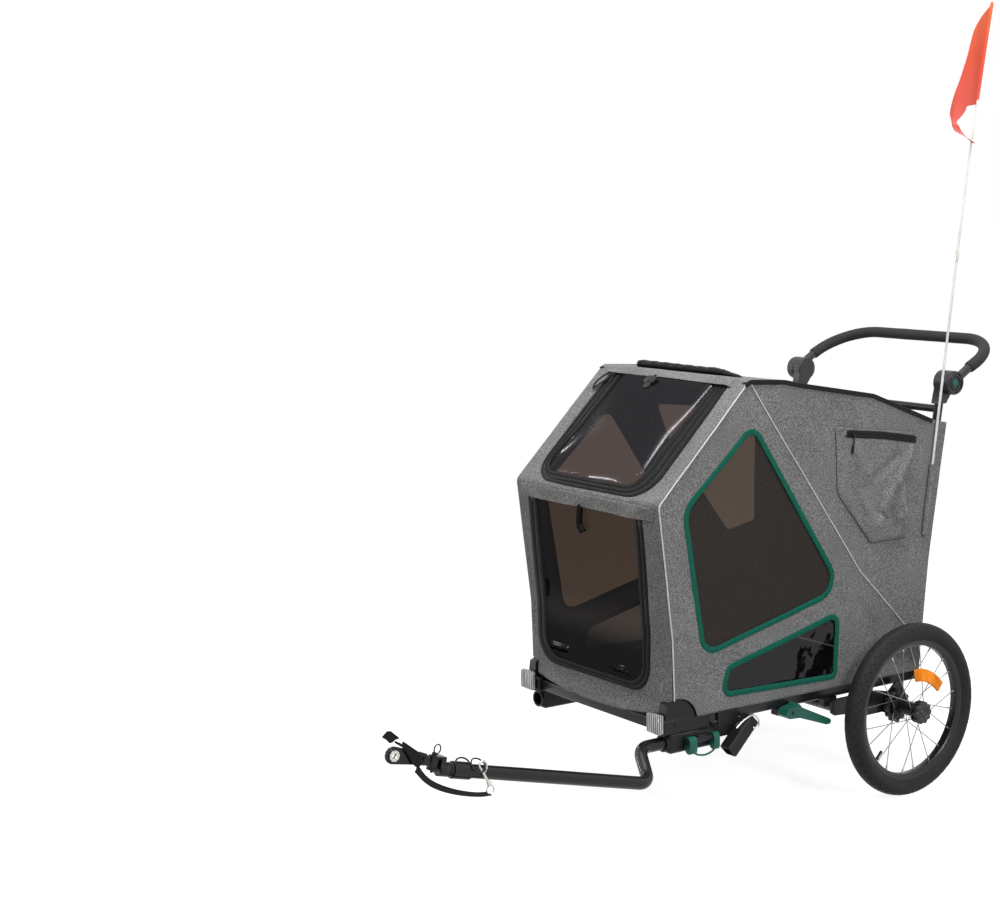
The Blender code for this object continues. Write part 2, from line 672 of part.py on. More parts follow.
def receiver(name, with_shaft):
    o = box(name, (RECV_X0, RECV_X1), (RECV_FRONT, RECV_FRONT + RECV_LEN), (RECV_Z0, RECV_Z1), BLACK_PLASTIC, bevel=0.004)
    mouth = cylinder("collar", (DRAW_X, RECV_FRONT - 0.006, DRAW_Z), (DRAW_X, RECV_FRONT + 0.01, DRAW_Z), BORE_DRAW + 0.0045, sides=20)
    o = union(o, mouth)
    if with_shaft:
        lug = box("lug", (RECV_X1 - 0.003, LOCK_X), (LOCK_Y0 + 0.0335, LOCK_Y1 - 0.0225), (LOCK_Z - 0.006, LOCK_Z + 0.008), bevel=0.0015)
        shaft = cylinder("shaft", (LOCK_X, LOCK_Y0 - 0.002, LOCK_Z), (LOCK_X, LOCK_Y1 + 0.002, LOCK_Z), LOCK_SHAFT_R, sides=10)
        o = union(o, lug, shaft)
    bore = cylinder("bore", (DRAW_X, RECV_FRONT - 0.02, DRAW_Z), (DRAW_X, RECV_FRONT + RECV_LEN + 0.01, DRAW_Z), BORE_DRAW, sides=24)
    slot = box("slot", (DRAW_X - 0.004, DRAW_X + 0.004), (RECV_FRONT + 0.045, RECV_FRONT + 0.085), (RECV_Z0 - 0.01, DRAW_Z))
    o = cut(o, bore, slot)
    o.name = name
    return o


receiver("drawbar_receiver_L", True)
rr = receiver("receiver_r", False)
mirrored(rr, "drawbar_receiver_R")
bpy.data.objects.remove(rr, do_unlink=True)

# Green lock handle: two hooked eyes on the shaft, joined by a wire below


def hook(name, y0, y1):
    r = LOCK_SHAFT_R + 0.0004
    pts = []
    for k in range(8):
        t = math.radians(-65 + 250 * k / 7)
        pts.append((LOCK_X + (r + 0.0036) * math.cos(t), LOCK_Z + (r + 0.0036) * math.sin(t)))
    low = [(LOCK_X - r - 0.0036, LOCK_Z - 0.012), (LOCK_X - 0.004, LOCK_Z - 0.0335), (LOCK_X + 0.004, LOCK_Z - 0.0375),
           (LOCK_X + 0.0105, LOCK_Z - 0.0345), (LOCK_X + 0.012, LOCK_Z - 0.022)]
    frame = Matrix(((1, 0, 0, 0), (0, 0, -1, (y0 + y1) / 2), (0, 1, 0, 0), (0, 0, 0, 1)))
    o = plate(name, [pts + low, circle(r, 10, LOCK_X, LOCK_Z)], y1 - y0, frame, GREEN)
    return o


lock = hook("drawbar_lock_handle", LOCK_Y0, LOCK_Y0 + 0.0305)
lock2 = hook("hook2", LOCK_Y1 - 0.020, LOCK_Y1)
wire = tube("wire", [(LOCK_X + 0.0035, LOCK_Y0 + 0.012, LOCK_Z - 0.031), (LOCK_X + 0.0035, LOCK_Y1 - 0.008, LOCK_Z - 0.031)],
            0.0032, GREEN, 2)
lock = union(lock, lock2, wire)
lock.name = "drawbar_lock_handle"
pivot(lock, (LOCK_X, (LOCK_Y0 + LOCK_Y1) / 2, LOCK_Z))

# Tilted square socket for an accessory arm, left side only, with its lock pin

d45 = math.radians(SOCKET_TILT)
sd = Vector((0, -math.cos(d45), -math.sin(d45)))
sn = Vector((0, -math.sin(d45), math.cos(d45)))
sc = Vector((RX1 + SOCKET_PLATE + SOCKET_W / 2 + 0.0002, SOCKET_Y, SOCKET_Z))
sframe = Matrix(((0, 1, 0, sc.x), (sd.y, 0, sn.y, sc.y), (sd.z, 0, sn.z, sc.z), (0, 0, 0, 1)))


def in_frame(obj, frame):
    obj.data.transform(frame)
    tidy(obj.data)
    return obj


h = SOCKET_W / 2
hi = h - SOCKET_WALL
sock = in_frame(box("accessory_socket", (-SOCKET_L / 2, SOCKET_L / 2), (-h, h), (-h, h), bevel=0.003), sframe)
back = box("back", (RX1 + GAP, RX1 + SOCKET_PLATE + 0.001), (SOCKET_Y - 0.049, SOCKET_Y + 0.011), (RZ0 - 0.033, RZ1 - 0.0015), bevel=0.0015)
foot = box("foot", (RX1 + GAP, sc.x), (SOCKET_Y - 0.008, SOCKET_Y + 0.010), (SOCKET_Z - 0.010, SOCKET_Z + 0.006))
sock = union(sock, back, foot)
inner = in_frame(box("inner", (-SOCKET_L / 2 + SOCKET_END, SOCKET_L / 2 + 0.01), (-hi, hi), (-hi, hi)), sframe)
px = SOCKET_PIN_AT
pinbore = cylinder("pinbore", sc + sd * px + sn * (-h - 0.02), sc + sd * px + sn * (h + 0.02), SOCKET_PIN_R + 0.0004, sides=12)
sock = cut(sock, inner, pinbore)
sock.name = "accessory_socket"

p0 = sc + sd * px
lp = cylinder("socket_lock_pin", p0 - sn * (h + 0.004), p0 + sn * (h + 0.004), SOCKET_PIN_R, BRIGHT, 12)
head = cylinder("head", p0 + sn * (h + 0.0006), p0 + sn * (h + 0.0042), SOCKET_PIN_R + 0.0022, BRIGHT, 12)
loop_pts = []
for k in range(9):
    t = math.pi * k / 8
    loop_pts.append(p0 + sn * (h + 0.0025) + Vector((0.0145 * (1 - math.cos(t)) , 0.0, 0)) + sn * 0.0155 * math.sin(t) - sd * 0.012 * math.sin(t))
loop_pts.append(loop_pts[-1] - sn * 0.012)
loop = tube("loop", loop_pts, 0.0013, BRIGHT, 1)
lp = union(lp, head, loop)
lp.name = "socket_lock_pin"
pivot(lp, p0)

# Brake bracket and pedal

br = box("brake_bracket", (RX0 + 0.002, RX1 + 0.002), (PEDAL_Y - 0.015, PEDAL_Y + 0.015), (PEDAL_Z - 0.012, RZ0 - GAP), bevel=0.002)
br = union(br, cylinder("pin", (RX1 - 0.004, PEDAL_Y, PEDAL_Z), (PEDAL_X1 - 0.001, PEDAL_Y, PEDAL_Z), PEDAL_PIN_R, sides=12))
br.name = "brake_bracket"
ped_pts = rounded([(PEDAL_Y - 0.022, PEDAL_Z - 0.004), (PEDAL_Y - 0.013, PEDAL_Z + 0.010), (PEDAL_Y + 0.010, PEDAL_Z + 0.0125),
                   (PEDAL_Y + 0.020, PEDAL_Z + 0.0185), (PEDAL_Y + 0.029, PEDAL_Z + 0.0085),
                   (PEDAL_Y + PEDAL_L - 0.006, PEDAL_Z - 0.0305), (PEDAL_Y + PEDAL_L, PEDAL_Z - 0.036),
                   (PEDAL_Y + PEDAL_L - 0.003, PEDAL_Z - 0.0435), (PEDAL_Y + PEDAL_L - 0.016, PEDAL_Z - 0.0435),
                   (PEDAL_Y + 0.022, PEDAL_Z - 0.0145), (PEDAL_Y - 0.010, PEDAL_Z - 0.0125)],
                  [0.004, 0.005, 0.004, 0.003, 0.006, 0.003, 0.003, 0.003, 0.004, 0.01, 0.008], 2)
pedal = plate("brake_pedal", [ped_pts, circle(PEDAL_PIN_R + 0.0004, 12, PEDAL_Y, PEDAL_Z)], PEDAL_X1 - PEDAL_X0,
              side_frame((PEDAL_X0 + PEDAL_X1) / 2), GREEN)
slots = []
for k in range(2):
    yy = PEDAL_Y + 0.052 + 0.016 * k
    zz = PEDAL_Z + 0.0085 - (yy - PEDAL_Y - 0.029) * 0.459
    slots.append(box("groove", (PEDAL_X0 + 0.004, PEDAL_X1 - 0.004), (yy, yy + 0.007), (zz - 0.0045, zz + 0.02)))
pedal = cut(pedal, *slots)
pedal.name = "brake_pedal"
pivot(pedal, ((PEDAL_X0 + PEDAL_X1) / 2, PEDAL_Y, PEDAL_Z))

# Axle beam: a tube under the rails, saddles, drop-out plates and stub axles

beam_end = DROP_X0 - 0.0003
beam = cylinder("axle_beam", (-beam_end - 0.002, BEAM_Y, BEAM_Z), (beam_end + 0.002, BEAM_Y, BEAM_Z), BEAM_R, sides=16)
drop_pts = [(BEAM_Y - 0.022, BEAM_Z + 0.012), (BEAM_Y - 0.012, BEAM_Z + 0.019), (-0.060, BEAM_Z + 0.0200), (-0.013, BEAM_Z + 0.0100),
            (0.011, AXLE_Z + 0.053), (0.034, AXLE_Z + 0.053), (0.036, AXLE_Z + 0.030), (0.024, AXLE_Z - 0.008),
            (0.008, AXLE_Z - 0.021), (-0.012, AXLE_Z - 0.021), (-0.035, AXLE_Z - 0.013), (-0.085, AXLE_Z - 0.013),
            (-0.150, AXLE_Z + 0.001), (BEAM_Y - 0.012, BEAM_Z - 0.019), (BEAM_Y - 0.022, BEAM_Z - 0.012)]
drop = plate("drop", [drop_pts, circle(0.012, 8, -0.105, AXLE_Z + 0.016)], DROP_T, side_frame(DROP_X0 + DROP_T / 2))
saddle = box("saddle", (RX0 + 0.002, RX1 - 0.002), (BEAM_Y - 0.021, BEAM_Y + 0.021), (BEAM_Z - 0.004, RZ0 - GAP), bevel=0.002)
hub_in = TRACK_HALF - HUB_INNER
boss = cylinder("boss", (DROP_X0 + 0.001, 0, AXLE_Z), (hub_in - 0.0012, 0, AXLE_Z), 0.0155, sides=12)
stub = cylinder("stub", (DROP_X0 + 0.001, 0, AXLE_Z), (TRACK_HALF + HUB_OUTER + 0.002, 0, AXLE_Z), AXLE_R, BRIGHT, sides=12)
side_set = union(drop, saddle, boss, stub)
other = mirrored(side_set, "other")
beam = union(beam, side_set, other)
beam.name = "axle_beam"

# Floor: a tray between the rails and a soft mat

tray = box("floor_tray", (-RX0 + GAP, RX0 - GAP), (BASE_FRONT + 0.007 + CROSS_D + GAP, BASE_REAR - CROSS_D - GAP), (RZ0 + 0.007, RZ0 + 0.007 + TRAY_T), BLACK_PLASTIC)
notch = [box("notch", (s * (HOOP_X - 0.0115), s * 0.3) if s > 0 else (-0.3, -(HOOP_X - 0.0115)), (-0.7, HOOP_PIVOT_Y + 0.036), (0.2, 0.3)) for s in (1, -1)]
tray = cut(tray, *notch)
tray.name = "floor_tray"
mat_z = RZ0 + 0.007 + TRAY_T + GAP
box("floor_mat", (-HOOP_X + 0.0115, HOOP_X - 0.0115), (BASE_FRONT + 0.045, BASE_REAR - CROSS_D - 0.012), (mat_z, mat_z + MAT_T), MAT_CLOTH, bevel=0.006, segments=2)

# Side view profile of the fabric cabin

FRONT_PATH = [(FOOT_Y, FOOT_Z), (KNEE_Y, KNEE_Z), (NOSE_Y, NOSE_Z)]
ROOF_PATH = [(PEAK_Y, PEAK_Z), (-0.3533, ROOF_Z + 0.0465), (-0.3075, ROOF_Z + 0.0370), (ROOF_Y, ROOF_Z), (TAIL_Y, TAIL_Z)]
REAR_PATH = [(REAR_TOP_Y, REAR_TOP_Z), (0.1585, 0.734), (0.128, 0.531), (0.107, SKIRT_Z)]


def shift_path(pts, d):
    """An open path moved inwards (to the right of its direction)."""
    out = []
    for i, p in enumerate(pts):
        ns = []
        if i > 0:
            e = Vector(pts[i]) - Vector(pts[i - 1])
            ns.append(Vector((e.y, -e.x)).normalized())
        if i < len(pts) - 1:
            e = Vector(pts[i + 1]) - Vector(pts[i])
            ns.append(Vector((e.y, -e.x)).normalized())
        m = sum(ns, Vector((0, 0)))
        m = m / m.dot(ns[0]) if len(ns) > 1 else ns[0]
        out.append((p[0] + m.x * d, p[1] + m.y * d))
    return out


def trim(pts, start, end):
    a, b = Vector(pts[0]), Vector(pts[1])
    c, d = Vector(pts[-1]), Vector(pts[-2])
    p = a + (b - a).normalized() * start
    q = c + (d - c).normalized() * end
    return [(p.x, p.y)] + list(pts[1:-1]) + [(q.x, q.y)]


def strip(name, path, x0, x1, outer, inner, mat=FABRIC):
    """A sheet that follows the profile between two depths under the skin line."""
    loop = shift_path(path, outer) + shift_path(path, inner)[::-1]
    return plate(name, [loop], x1 - x0, side_frame((x0 + x1) / 2), mat)


def common(a, b):
    return boolean(a, b, "INTERSECT")


arch = []
a0 = math.asin((SKIRT_Z - EAR_Z) / ARCH_R)
a1 = math.atan2(FOOT_Z - EAR_Z, FOOT_Y - EAR_Y)
for k in range(9):
    t = a0 + (a1 - a0) * k / 8
    rr = ARCH_R + (math.hypot(FOOT_Z - EAR_Z, FOOT_Y - EAR_Y) - ARCH_R) * k / 8
    arch.append((EAR_Y + rr * math.cos(t), EAR_Z + rr * math.sin(t)))
side_outline = arch + FRONT_PATH[1:] + ROOF_PATH + REAR_PATH
BIG = [(-0.4432, 0.8992), (-0.6454, 0.7216), (-0.5824, 0.3904), (-0.1498, 0.4914)]
SMALL = [(-0.5312, 0.2959), (-0.5094, 0.3664), (-0.1643, 0.4466), (-0.1681, 0.2857)]
big_hole = offset_outline(rounded(BIG, [0.024, 0.034, 0.030, 0.030], 3), BINDING_W)
small_hole = offset_outline(rounded(SMALL, [0.016, 0.012, 0.014, 0.012], 3), BINDING_W)
side = plate("cover_side_L", [side_outline, big_hole, small_hole], SKIN_T, side_frame(SKIN_X - SKIN_T / 2), FABRIC)
far_side = mirrored(side, "cover_side_R")
rear_window = rounded([(-0.315, 0.900), (-0.262, 0.782), (-0.060, 0.534), (0.050, 0.556), (0.046, 0.862)],
                      [0.020, 0.080, 0.030, 0.020, 0.020], 3)
far_side = cut(far_side, plate("hole", [offset_outline(rear_window, BINDING_W)], 0.02, side_frame(-SKIN_X)))
far_side.name = "cover_side_R"
screen_pts = [(-0.555, 0.283), (-0.662, 0.705), (-0.655, 0.735), (-0.447, 0.918), (-0.428, 0.905), (-0.138, 0.495), (-0.155, 0.280)]
screen_x = SKIN_X - SKIN_T - GAP
screen = plate("side_mesh_L", [rounded(screen_pts, 0.012, 2)], SCREEN_T, side_frame(screen_x - SCREEN_T / 2), MESH)
mirrored(screen, "side_mesh_R")
plate("rear_mesh_R", [rear_window], SCREEN_T, side_frame(SCREEN_T / 2 - screen_x), MESH)

in_x = SKIN_X - SKIN_T - GAP
path = [(FOOT_Y + 0.0012, SKIRT_Z)] + FRONT_PATH
path = trim(path, 0, 0.0024)
cover = strip("cover_front", path, -in_x, in_x, 0.0, SKIN_T)
x_frame = Matrix(((1, 0, 0, 0), (0, 0, -1, -0.690), (0, 1, 0, 0), (0, 0, 0, 1)))
LOW = [(-LOW_W, LOW_TOP), (-LOW_W, LOW_BOTTOM), (LOW_W, LOW_BOTTOM), (LOW_W, LOW_TOP)]
low_out = rounded(LOW, [0.055, 0.065, 0.065, 0.055], 5)
hole = plate("hole", [offset_outline(low_out, FLAP_BORDER)], 0.09, x_frame)
cover = cut(cover, hole)
for s in (1, -1):
    cover = cut(cover, box("corner", (s * 0.219, s * 0.30) if s > 0 else (-0.30, -0.219), (-0.75, -0.6), (0.2, EAR_Z + EAR_R + 0.0025)))
cover.name = "cover_front"
flap = strip("window_lower", [(FOOT_Y + 0.0012, SKIRT_Z)] + FRONT_PATH, -0.22, 0.22, -GAP - FLAP_T, -GAP, FILM)
flap = common(flap, plate("shape", [low_out], 0.09, x_frame))
flap.name = "window_lower"

slope_path = trim([(NOSE_Y, NOSE_Z), (PEAK_Y, PEAK_Z)], 0.0024, 0.0024)
sl = strip("cover_slope", slope_path, -in_x, in_x, 0.0, SKIN_T)
sf = slope_frame((NOSE_Y, NOSE_Z), (PEAK_Y, PEAK_Z), 0.0)
UP = [(-SLOPE_W1, SLOPE_TOP), (-SLOPE_W2, 0.19), (-SLOPE_W2, 0.012), (SLOPE_W2, 0.012), (SLOPE_W2, 0.19), (SLOPE_W1, SLOPE_TOP)]
up_out = rounded(UP, [0.045, 0.12, 0.058, 0.058, 0.12, 0.045], 4)
sl = cut(sl, plate("hole", [offset_outline(up_out, FLAP_BORDER * 0.6)], 0.05, sf))
sl.name = "cover_slope"
uf = strip("window_slope", slope_path, -0.22, 0.22, -GAP - FLAP_T, -GAP, FILM)
uf = common(uf, plate("shape", [up_out], 0.05, sf))
uf.name = "window_slope"

def on_front(z):
    (ya, za), (yb, zb) = FRONT_PATH[1], FRONT_PATH[2]
    return ya + (yb - ya) * (z - za) / (zb - za)


pivot(flap, (0, on_front(LOW_TOP) - GAP - FLAP_T, LOW_TOP))
sdir = Vector((PEAK_Y - NOSE_Y, PEAK_Z - NOSE_Z)).normalized()
snor = Vector((-sdir.y, sdir.x))
q = Vector((NOSE_Y, NOSE_Z)) + sdir * SLOPE_TOP + snor * (GAP + FLAP_T)
pivot(uf, (0, q.x, q.y))

roof = strip("cover_roof", trim(ROOF_PATH + [(REAR_TOP_Y - 0.0048, REAR_TOP_Z + 0.001)], 0.0024, 0.0), -in_x, in_x, 0.0, SKIN_T)
post_at = POST_FOOT_Y + POST_LEAN * (REAR_TOP_Z - POST_FOOT_Z)
for s in (1, -1):
    x0, x1 = POST_X - POST_R - 0.004, 0.30
    roof = cut(roof, box("notch", (x0, x1) if s > 0 else (-x1, -x0), (post_at - POST_R - 0.005, 0.25), (0.8, 0.95)))
roof.name = "cover_roof"

rear = strip("cover_rear", REAR_PATH, -in_x, in_x, 0.0, SKIN_T)
y_frame = Matrix(((1, 0, 0, 0), (0, 0, -1, 0.14), (0, 1, 0, 0), (0, 0, 0, 1)))
DOOR = [(-DOOR_W, DOOR_TOP), (-DOOR_W, DOOR_BOTTOM), (DOOR_W, DOOR_BOTTOM), (DOOR_W, DOOR_TOP)]
door_out = rounded(DOOR, 0.05, 4)
rear = cut(rear, plate("hole", [offset_outline(door_out, 0.018)], 0.12, y_frame))
rear.name = "cover_rear"
door = strip("rear_door", REAR_PATH, -0.22, 0.22, -GAP - FLAP_T, -GAP)
door = common(door, plate("shape", [door_out], 0.12, y_frame))
door.name = "rear_door"
f = (DOOR_TOP - REAR_PATH[1][1]) / (REAR_PATH[0][1] - REAR_PATH[1][1])
door_y = REAR_PATH[1][0] + f * (REAR_PATH[0][0] - REAR_PATH[1][0])
pivot(door, (0, door_y + GAP + FLAP_T, DOOR_TOP))

# Rolled sun cover along the front of the roof

roll_y = PEAK_Y + 0.0405
roll_z = PEAK_Z + (ROOF_PATH[1][1] - PEAK_Z) * (roll_y - PEAK_Y) / (ROOF_PATH[1][0] - PEAK_Y) + ROLL_R + 0.0004
turned("roof_roll", [(-0.1680, 0.0), (-0.1665, 0.0062), (-0.1580, ROLL_R * 0.96), (-0.05, ROLL_R), (0.090, ROLL_R), (0.125, ROLL_R * 0.8),
                     (0.160, ROLL_R * 0.55), (0.182, ROLL_R * 0.35), (0.184, 0.0)], (0, roll_y, roll_z), BINDING, 12, closed=False)

# Pocket on the left side

pk = [(-0.190, 0.872), (-0.196, 0.862), (-0.163, 0.850), (-0.184, 0.717), (-0.072, 0.592), (0.040, 0.594), (0.046, 0.603),
      (0.041, 0.708), (0.071, 0.813), (0.066, 0.834)]
plate("pocket", [rounded(pk, [0.003, 0.003, 0.01, 0.03, 0.02, 0.004, 0.004, 0.02, 0.01, 0.006], 2)], POCKET_T,
      side_frame(SKIN_X + GAP + POCKET_T / 2), FABRIC, bevel=0.003)

# Front hoop

front_in = shift_path([(FOOT_Y, FOOT_Z), (KNEE_Y, KNEE_Z), (NOSE_Y, NOSE_Z), (PEAK_Y, PEAK_Z), (-0.3533, ROOF_Z + 0.0465)], HOOP_INSET)
k1, n1, p1 = front_in[1], front_in[2], front_in[3]
hoop_pts = [(HOOP_X, HOOP_PIVOT_Y, HOOP_PIVOT_Z), (HOOP_X, *k1), (HOOP_X, *n1), (HOOP_X, *p1), (-HOOP_X, *p1), (-HOOP_X, *n1),
            (-HOOP_X, *k1), (-HOOP_X, HOOP_PIVOT_Y, HOOP_PIVOT_Z)]
hoop = tube("front_hoop", smooth_path(hoop_pts, [0.0, 0.035, 0.030, 0.030, 0.035, 0.0], 2), HOOP_R, BLACK_STEEL, 2)
bar = tube("bar", [(-HOOP_X, n1[0] + 0.006, n1[1] + 0.0025), (HOOP_X, n1[0] + 0.006, n1[1] + 0.0025)], HOOP_R * 0.85, BLACK_STEEL, 1)
eyes = [cylinder("eye", (s * (HOOP_X - 0.010), HOOP_PIVOT_Y, HOOP_PIVOT_Z), (s * (HOOP_X + 0.0105), HOOP_PIVOT_Y, HOOP_PIVOT_Z), HOOP_EYE_R, sides=16) for s in (1, -1)]
holes = [cylinder("hole", (s * 0.19, HOOP_PIVOT_Y, HOOP_PIVOT_Z), (s * 0.23, HOOP_PIVOT_Y, HOOP_PIVOT_Z), HOOP_PIN_R + PIN_CLEAR, sides=12) for s in (1, -1)]
hoop = union(hoop, bar, *eyes)
hoop = cut(hoop, *holes)
hoop.name = "front_hoop"
pivot(hoop, (0, HOOP_PIVOT_Y, HOOP_PIVOT_Z))

# Rear push frame


def on_post(z):
    return POST_FOOT_Y + POST_LEAN * (z - POST_FOOT_Z)


post = tube("post", [(POST_X, POST_FOOT_Y, POST_FOOT_Z), (POST_X, on_post(POST_TOP_Z), POST_TOP_Z)], POST_R, BLACK_STEEL, 3)
eye = cylinder("eye", (POST_X - POST_R - 0.0008, POST_FOOT_Y, POST_FOOT_Z), (POST_X + POST_R - 0.0002, POST_FOOT_Y, POST_FOOT_Z), POST_EYE_R, sides=14)
post = union(post, eye)
post2 = mirrored(post, "post2")
bar = tube("bar", [(-POST_X, on_post(CROSS_Z), CROSS_Z), (POST_X, on_post(CROSS_Z), CROSS_Z)], CROSS_R, BLACK_STEEL, 2)
rear_frame = union(post, post2, bar)
for s in (1, -1):
    rear_frame = cut(rear_frame, cylinder("hole", (s * 0.2, POST_FOOT_Y, POST_FOOT_Z), (s * 0.26, POST_FOOT_Y, POST_FOOT_Z), POST_PIN_R + PIN_CLEAR, sides=12))
rear_frame.name = "rear_frame"
pivot(rear_frame, (0, POST_FOOT_Y, POST_FOOT_Z))

# Hinge housings on the posts, and the handle that turns on them

hx0, hx1 = POST_X - HOUSING_W / 2, POST_X + HOUSING_W / 2
stem_z = CROSS_Z + CROSS_R + 0.004
foot_y = on_post(stem_z)
hinge_pts = []
for k in range(15):
    t = math.radians(-62 + 270 * k / 14)
    hinge_pts.append((HINGE_Y + HINGE_R * math.cos(t), HINGE_Z + HINGE_R * math.sin(t)))
hinge_pts += [(foot_y - 0.0150, stem_z), (foot_y + 0.0140, stem_z)]
house = plate("hinge_housing_L", [hinge_pts], HOUSING_W, side_frame(POST_X), BLACK_PLASTIC, bevel=0.0015)
house = union(house, cylinder("spigot", (hx1 - 0.002, HINGE_Y, HINGE_Z), (hx1 + 0.0080, HINGE_Y, HINGE_Z), AXLE_R, sides=16))
seat = cylinder("seat", (POST_X, on_post(stem_z - 0.02), stem_z - 0.02), (POST_X, on_post(POST_TOP_Z + 0.0006), POST_TOP_Z + 0.0006), POST_R + 0.0003, sides=24)
house = cut(house, seat)
house.name = "hinge_housing_L"
mirrored(house, "hinge_housing_R")

rise = math.radians(HANDLE_RISE)
arm = Vector((0, math.cos(rise), math.sin(rise)))
hc = Vector((0, HINGE_Y, HINGE_Z))
ax = hx1 + 0.0009 + HUB_W / 2 + 0.0014
end = hc + arm * HANDLE_LEN
pts = [Vector((ax, 0, 0)) + hc + arm * 0.012, Vector((ax, 0, 0)) + end, Vector((-ax, 0, 0)) + end, Vector((-ax, 0, 0)) + hc + arm * 0.012]
bend = smooth_path(pts, HANDLE_BEND, 5)
bar = tube("handle_bar", bend, BAR_R, BLACK_STEEL, 2)
hubs = []
for s in (1, -1):
    x0 = hx1 + 0.0009
    x1 = x0 + HUB_W
    hub = cylinder("hub", (s * x0, HINGE_Y, HINGE_Z), (s * x1, HINGE_Y, HINGE_Z), HINGE_R, BLACK_PLASTIC, 20)
    bev = hub.modifiers.new("edge", "BEVEL")
    bev.width = 0.0015
    bev.segments = 1
    bev.limit_method = "ANGLE"
    hub = realise(hub, "hub", BLACK_PLASTIC)
    neck = cylinder("neck", Vector((s * ax, 0, 0)) + hc + arm * 0.015, Vector((s * ax, 0, 0)) + hc + arm * NECK_L, BAR_R + 0.0006, BLACK_PLASTIC, 12)
    hub = union(hub, neck)
    hubs.append(hub)
bar = union(bar, *hubs)
for s in (1, -1):
    x0 = hx1 + 0.0009
    x1 = x0 + HUB_W
    bar = cut(bar, cylinder("spigot hole", (s * (x0 - 0.02), HINGE_Y, HINGE_Z), (s * (hx1 + 0.0085), HINGE_Y, HINGE_Z), AXLE_R + AXLE_CLEAR, sides=16),
              cylinder("button hole", (s * (hx1 + 0.0100), HINGE_Y, HINGE_Z), (s * (x1 + 0.01), HINGE_Y, HINGE_Z), BUTTON_R + 0.0005, sides=16))
bar.name = "handle_bar"
pivot(bar, (0, HINGE_Y, HINGE_Z))

pts = [Vector((ax, 0, 0)) + hc + arm * NECK_L * 1.03, Vector((ax, 0, 0)) + end, Vector((-ax, 0, 0)) + end, Vector((-ax, 0, 0)) + hc + arm * NECK_L * 1.03]
grip = tube("handle_grip", smooth_path(pts, HANDLE_BEND, 5), GRIP_R, FOAM, 3)
pts = [Vector((ax, 0, 0)) + hc + arm * 0.02, Vector((ax, 0, 0)) + end, Vector((-ax, 0, 0)) + end, Vector((-ax, 0, 0)) + hc + arm * 0.02]
core = tube("core", smooth_path(pts, HANDLE_BEND, 5), BAR_R + 0.0004, FOAM, 2)
grip = cut(grip, core)
grip.name = "handle_grip"
pivot(grip, (0, HINGE_Y, HINGE_Z))

bx0 = hx1 + 0.0100 + BUTTON_STROKE + 0.0003
bx1 = hx1 + 0.0009 + HUB_W + BUTTON_PROUD
button = turned("hinge_button_L", [(bx0, 0.0), (bx0, BUTTON_R), (bx1 - 0.0015, BUTTON_R), (bx1, BUTTON_R - 0.0015), (bx1 - 0.0006, 0.0)],
                (0, HINGE_Y, HINGE_Z), GREEN, 16, closed=False)
pivot(button, (POST_X, HINGE_Y, HINGE_Z))
mirror_all([(button, "hinge_button_R")])

# Drawbar, its end sleeve and the universal hitch

corners = [Vector((DRAW_X, RECV_FRONT + DRAW_IN, DRAW_Z)), Vector((DRAW_X, -0.735, DRAW_Z)), Vector((DRAW_OUT_X, DRAW_LOW_Y, DRAW_LOW_Z)),
           Vector((DRAW_OUT_X, DRAW_END_Y, DRAW_END_Z))]
bar = tube("drawbar_tube", smooth_path(corners, [0.036, 0.036], 5), DRAW_R, BLACK_STEEL, 4)
pivot(bar, (DRAW_X, RECV_FRONT, DRAW_Z))

T = (corners[3] - corners[2]).normalized()
N = Vector((1, 0, 0)).cross(T)
N = -N if N.z < 0 else N
D0 = corners[3]
hframe = Matrix(((T.x, 1, N.x, D0.x), (T.y, 0, N.y, D0.y), (T.z, 0, N.z, D0.z), (0, 0, 0, 1)))


def hp(s, x=0.0, u=0.0):
    """A point near the hitch: along the drawbar from its end, across, and up."""
    return D0 + T * s + Vector((x, 0, 0)) + N * u


sl_r = DRAW_R + SLEEVE_WALL
sleeve = turned("drawbar_sleeve", [(-SLEEVE_L, DRAW_R + 0.0004), (-SLEEVE_L, sl_r - 0.001), (-SLEEVE_L + 0.001, sl_r), (0.0062, sl_r),
                                   (0.0072, sl_r - 0.001), (0.0072, 0.0064), (0.0006, 0.0064), (0.0006, DRAW_R + 0.0004)],
                (0, 0, 0), BLACK_STEEL, 20)
in_frame(sleeve, hframe)
pivot(sleeve, D0)

stem = turned("swivel_stem", [(0.0012, 0.0), (0.0012, 0.0060), (0.0078, 0.0060), (0.0078, 0.0135), (0.0088, DRAW_R + 0.0008), (0.0130, DRAW_R + 0.0008),
                              (0.0140, 0.0125), (0.0165, 0.0125), (0.0175, DRAW_R + 0.0008), (0.0385, DRAW_R + 0.0008), (0.0400, 0.0125), (0.0400, 0.0)],
              (0, 0, 0), BLACK_STEEL, 16, closed=False)
in_frame(stem, hframe)
web = in_frame(box("web", (0.030, 0.0404), (-0.012, 0.012), (-0.010, 0.0257)), hframe)
lug_pts = [(0.034, -0.0115), (YAW_S, -0.0115)] + [(YAW_S + 0.0115 * math.cos(t), 0.0115 * math.sin(t)) for t in [math.radians(-60 + 30 * k) for k in range(5)]] + [(YAW_S, 0.0115), (0.034, 0.0115)]
lugs = [in_frame(plate("lug", [lug_pts, circle(PIN_R + 0.0004, 12, YAW_S, 0)], 0.0045, Matrix.Translation((0, 0, u))), hframe) for u in (-0.0010, 0.02325)]
stem = union(stem, web, *lugs)
stem.name = "swivel_stem"
pivot(stem, hp(0.0075))

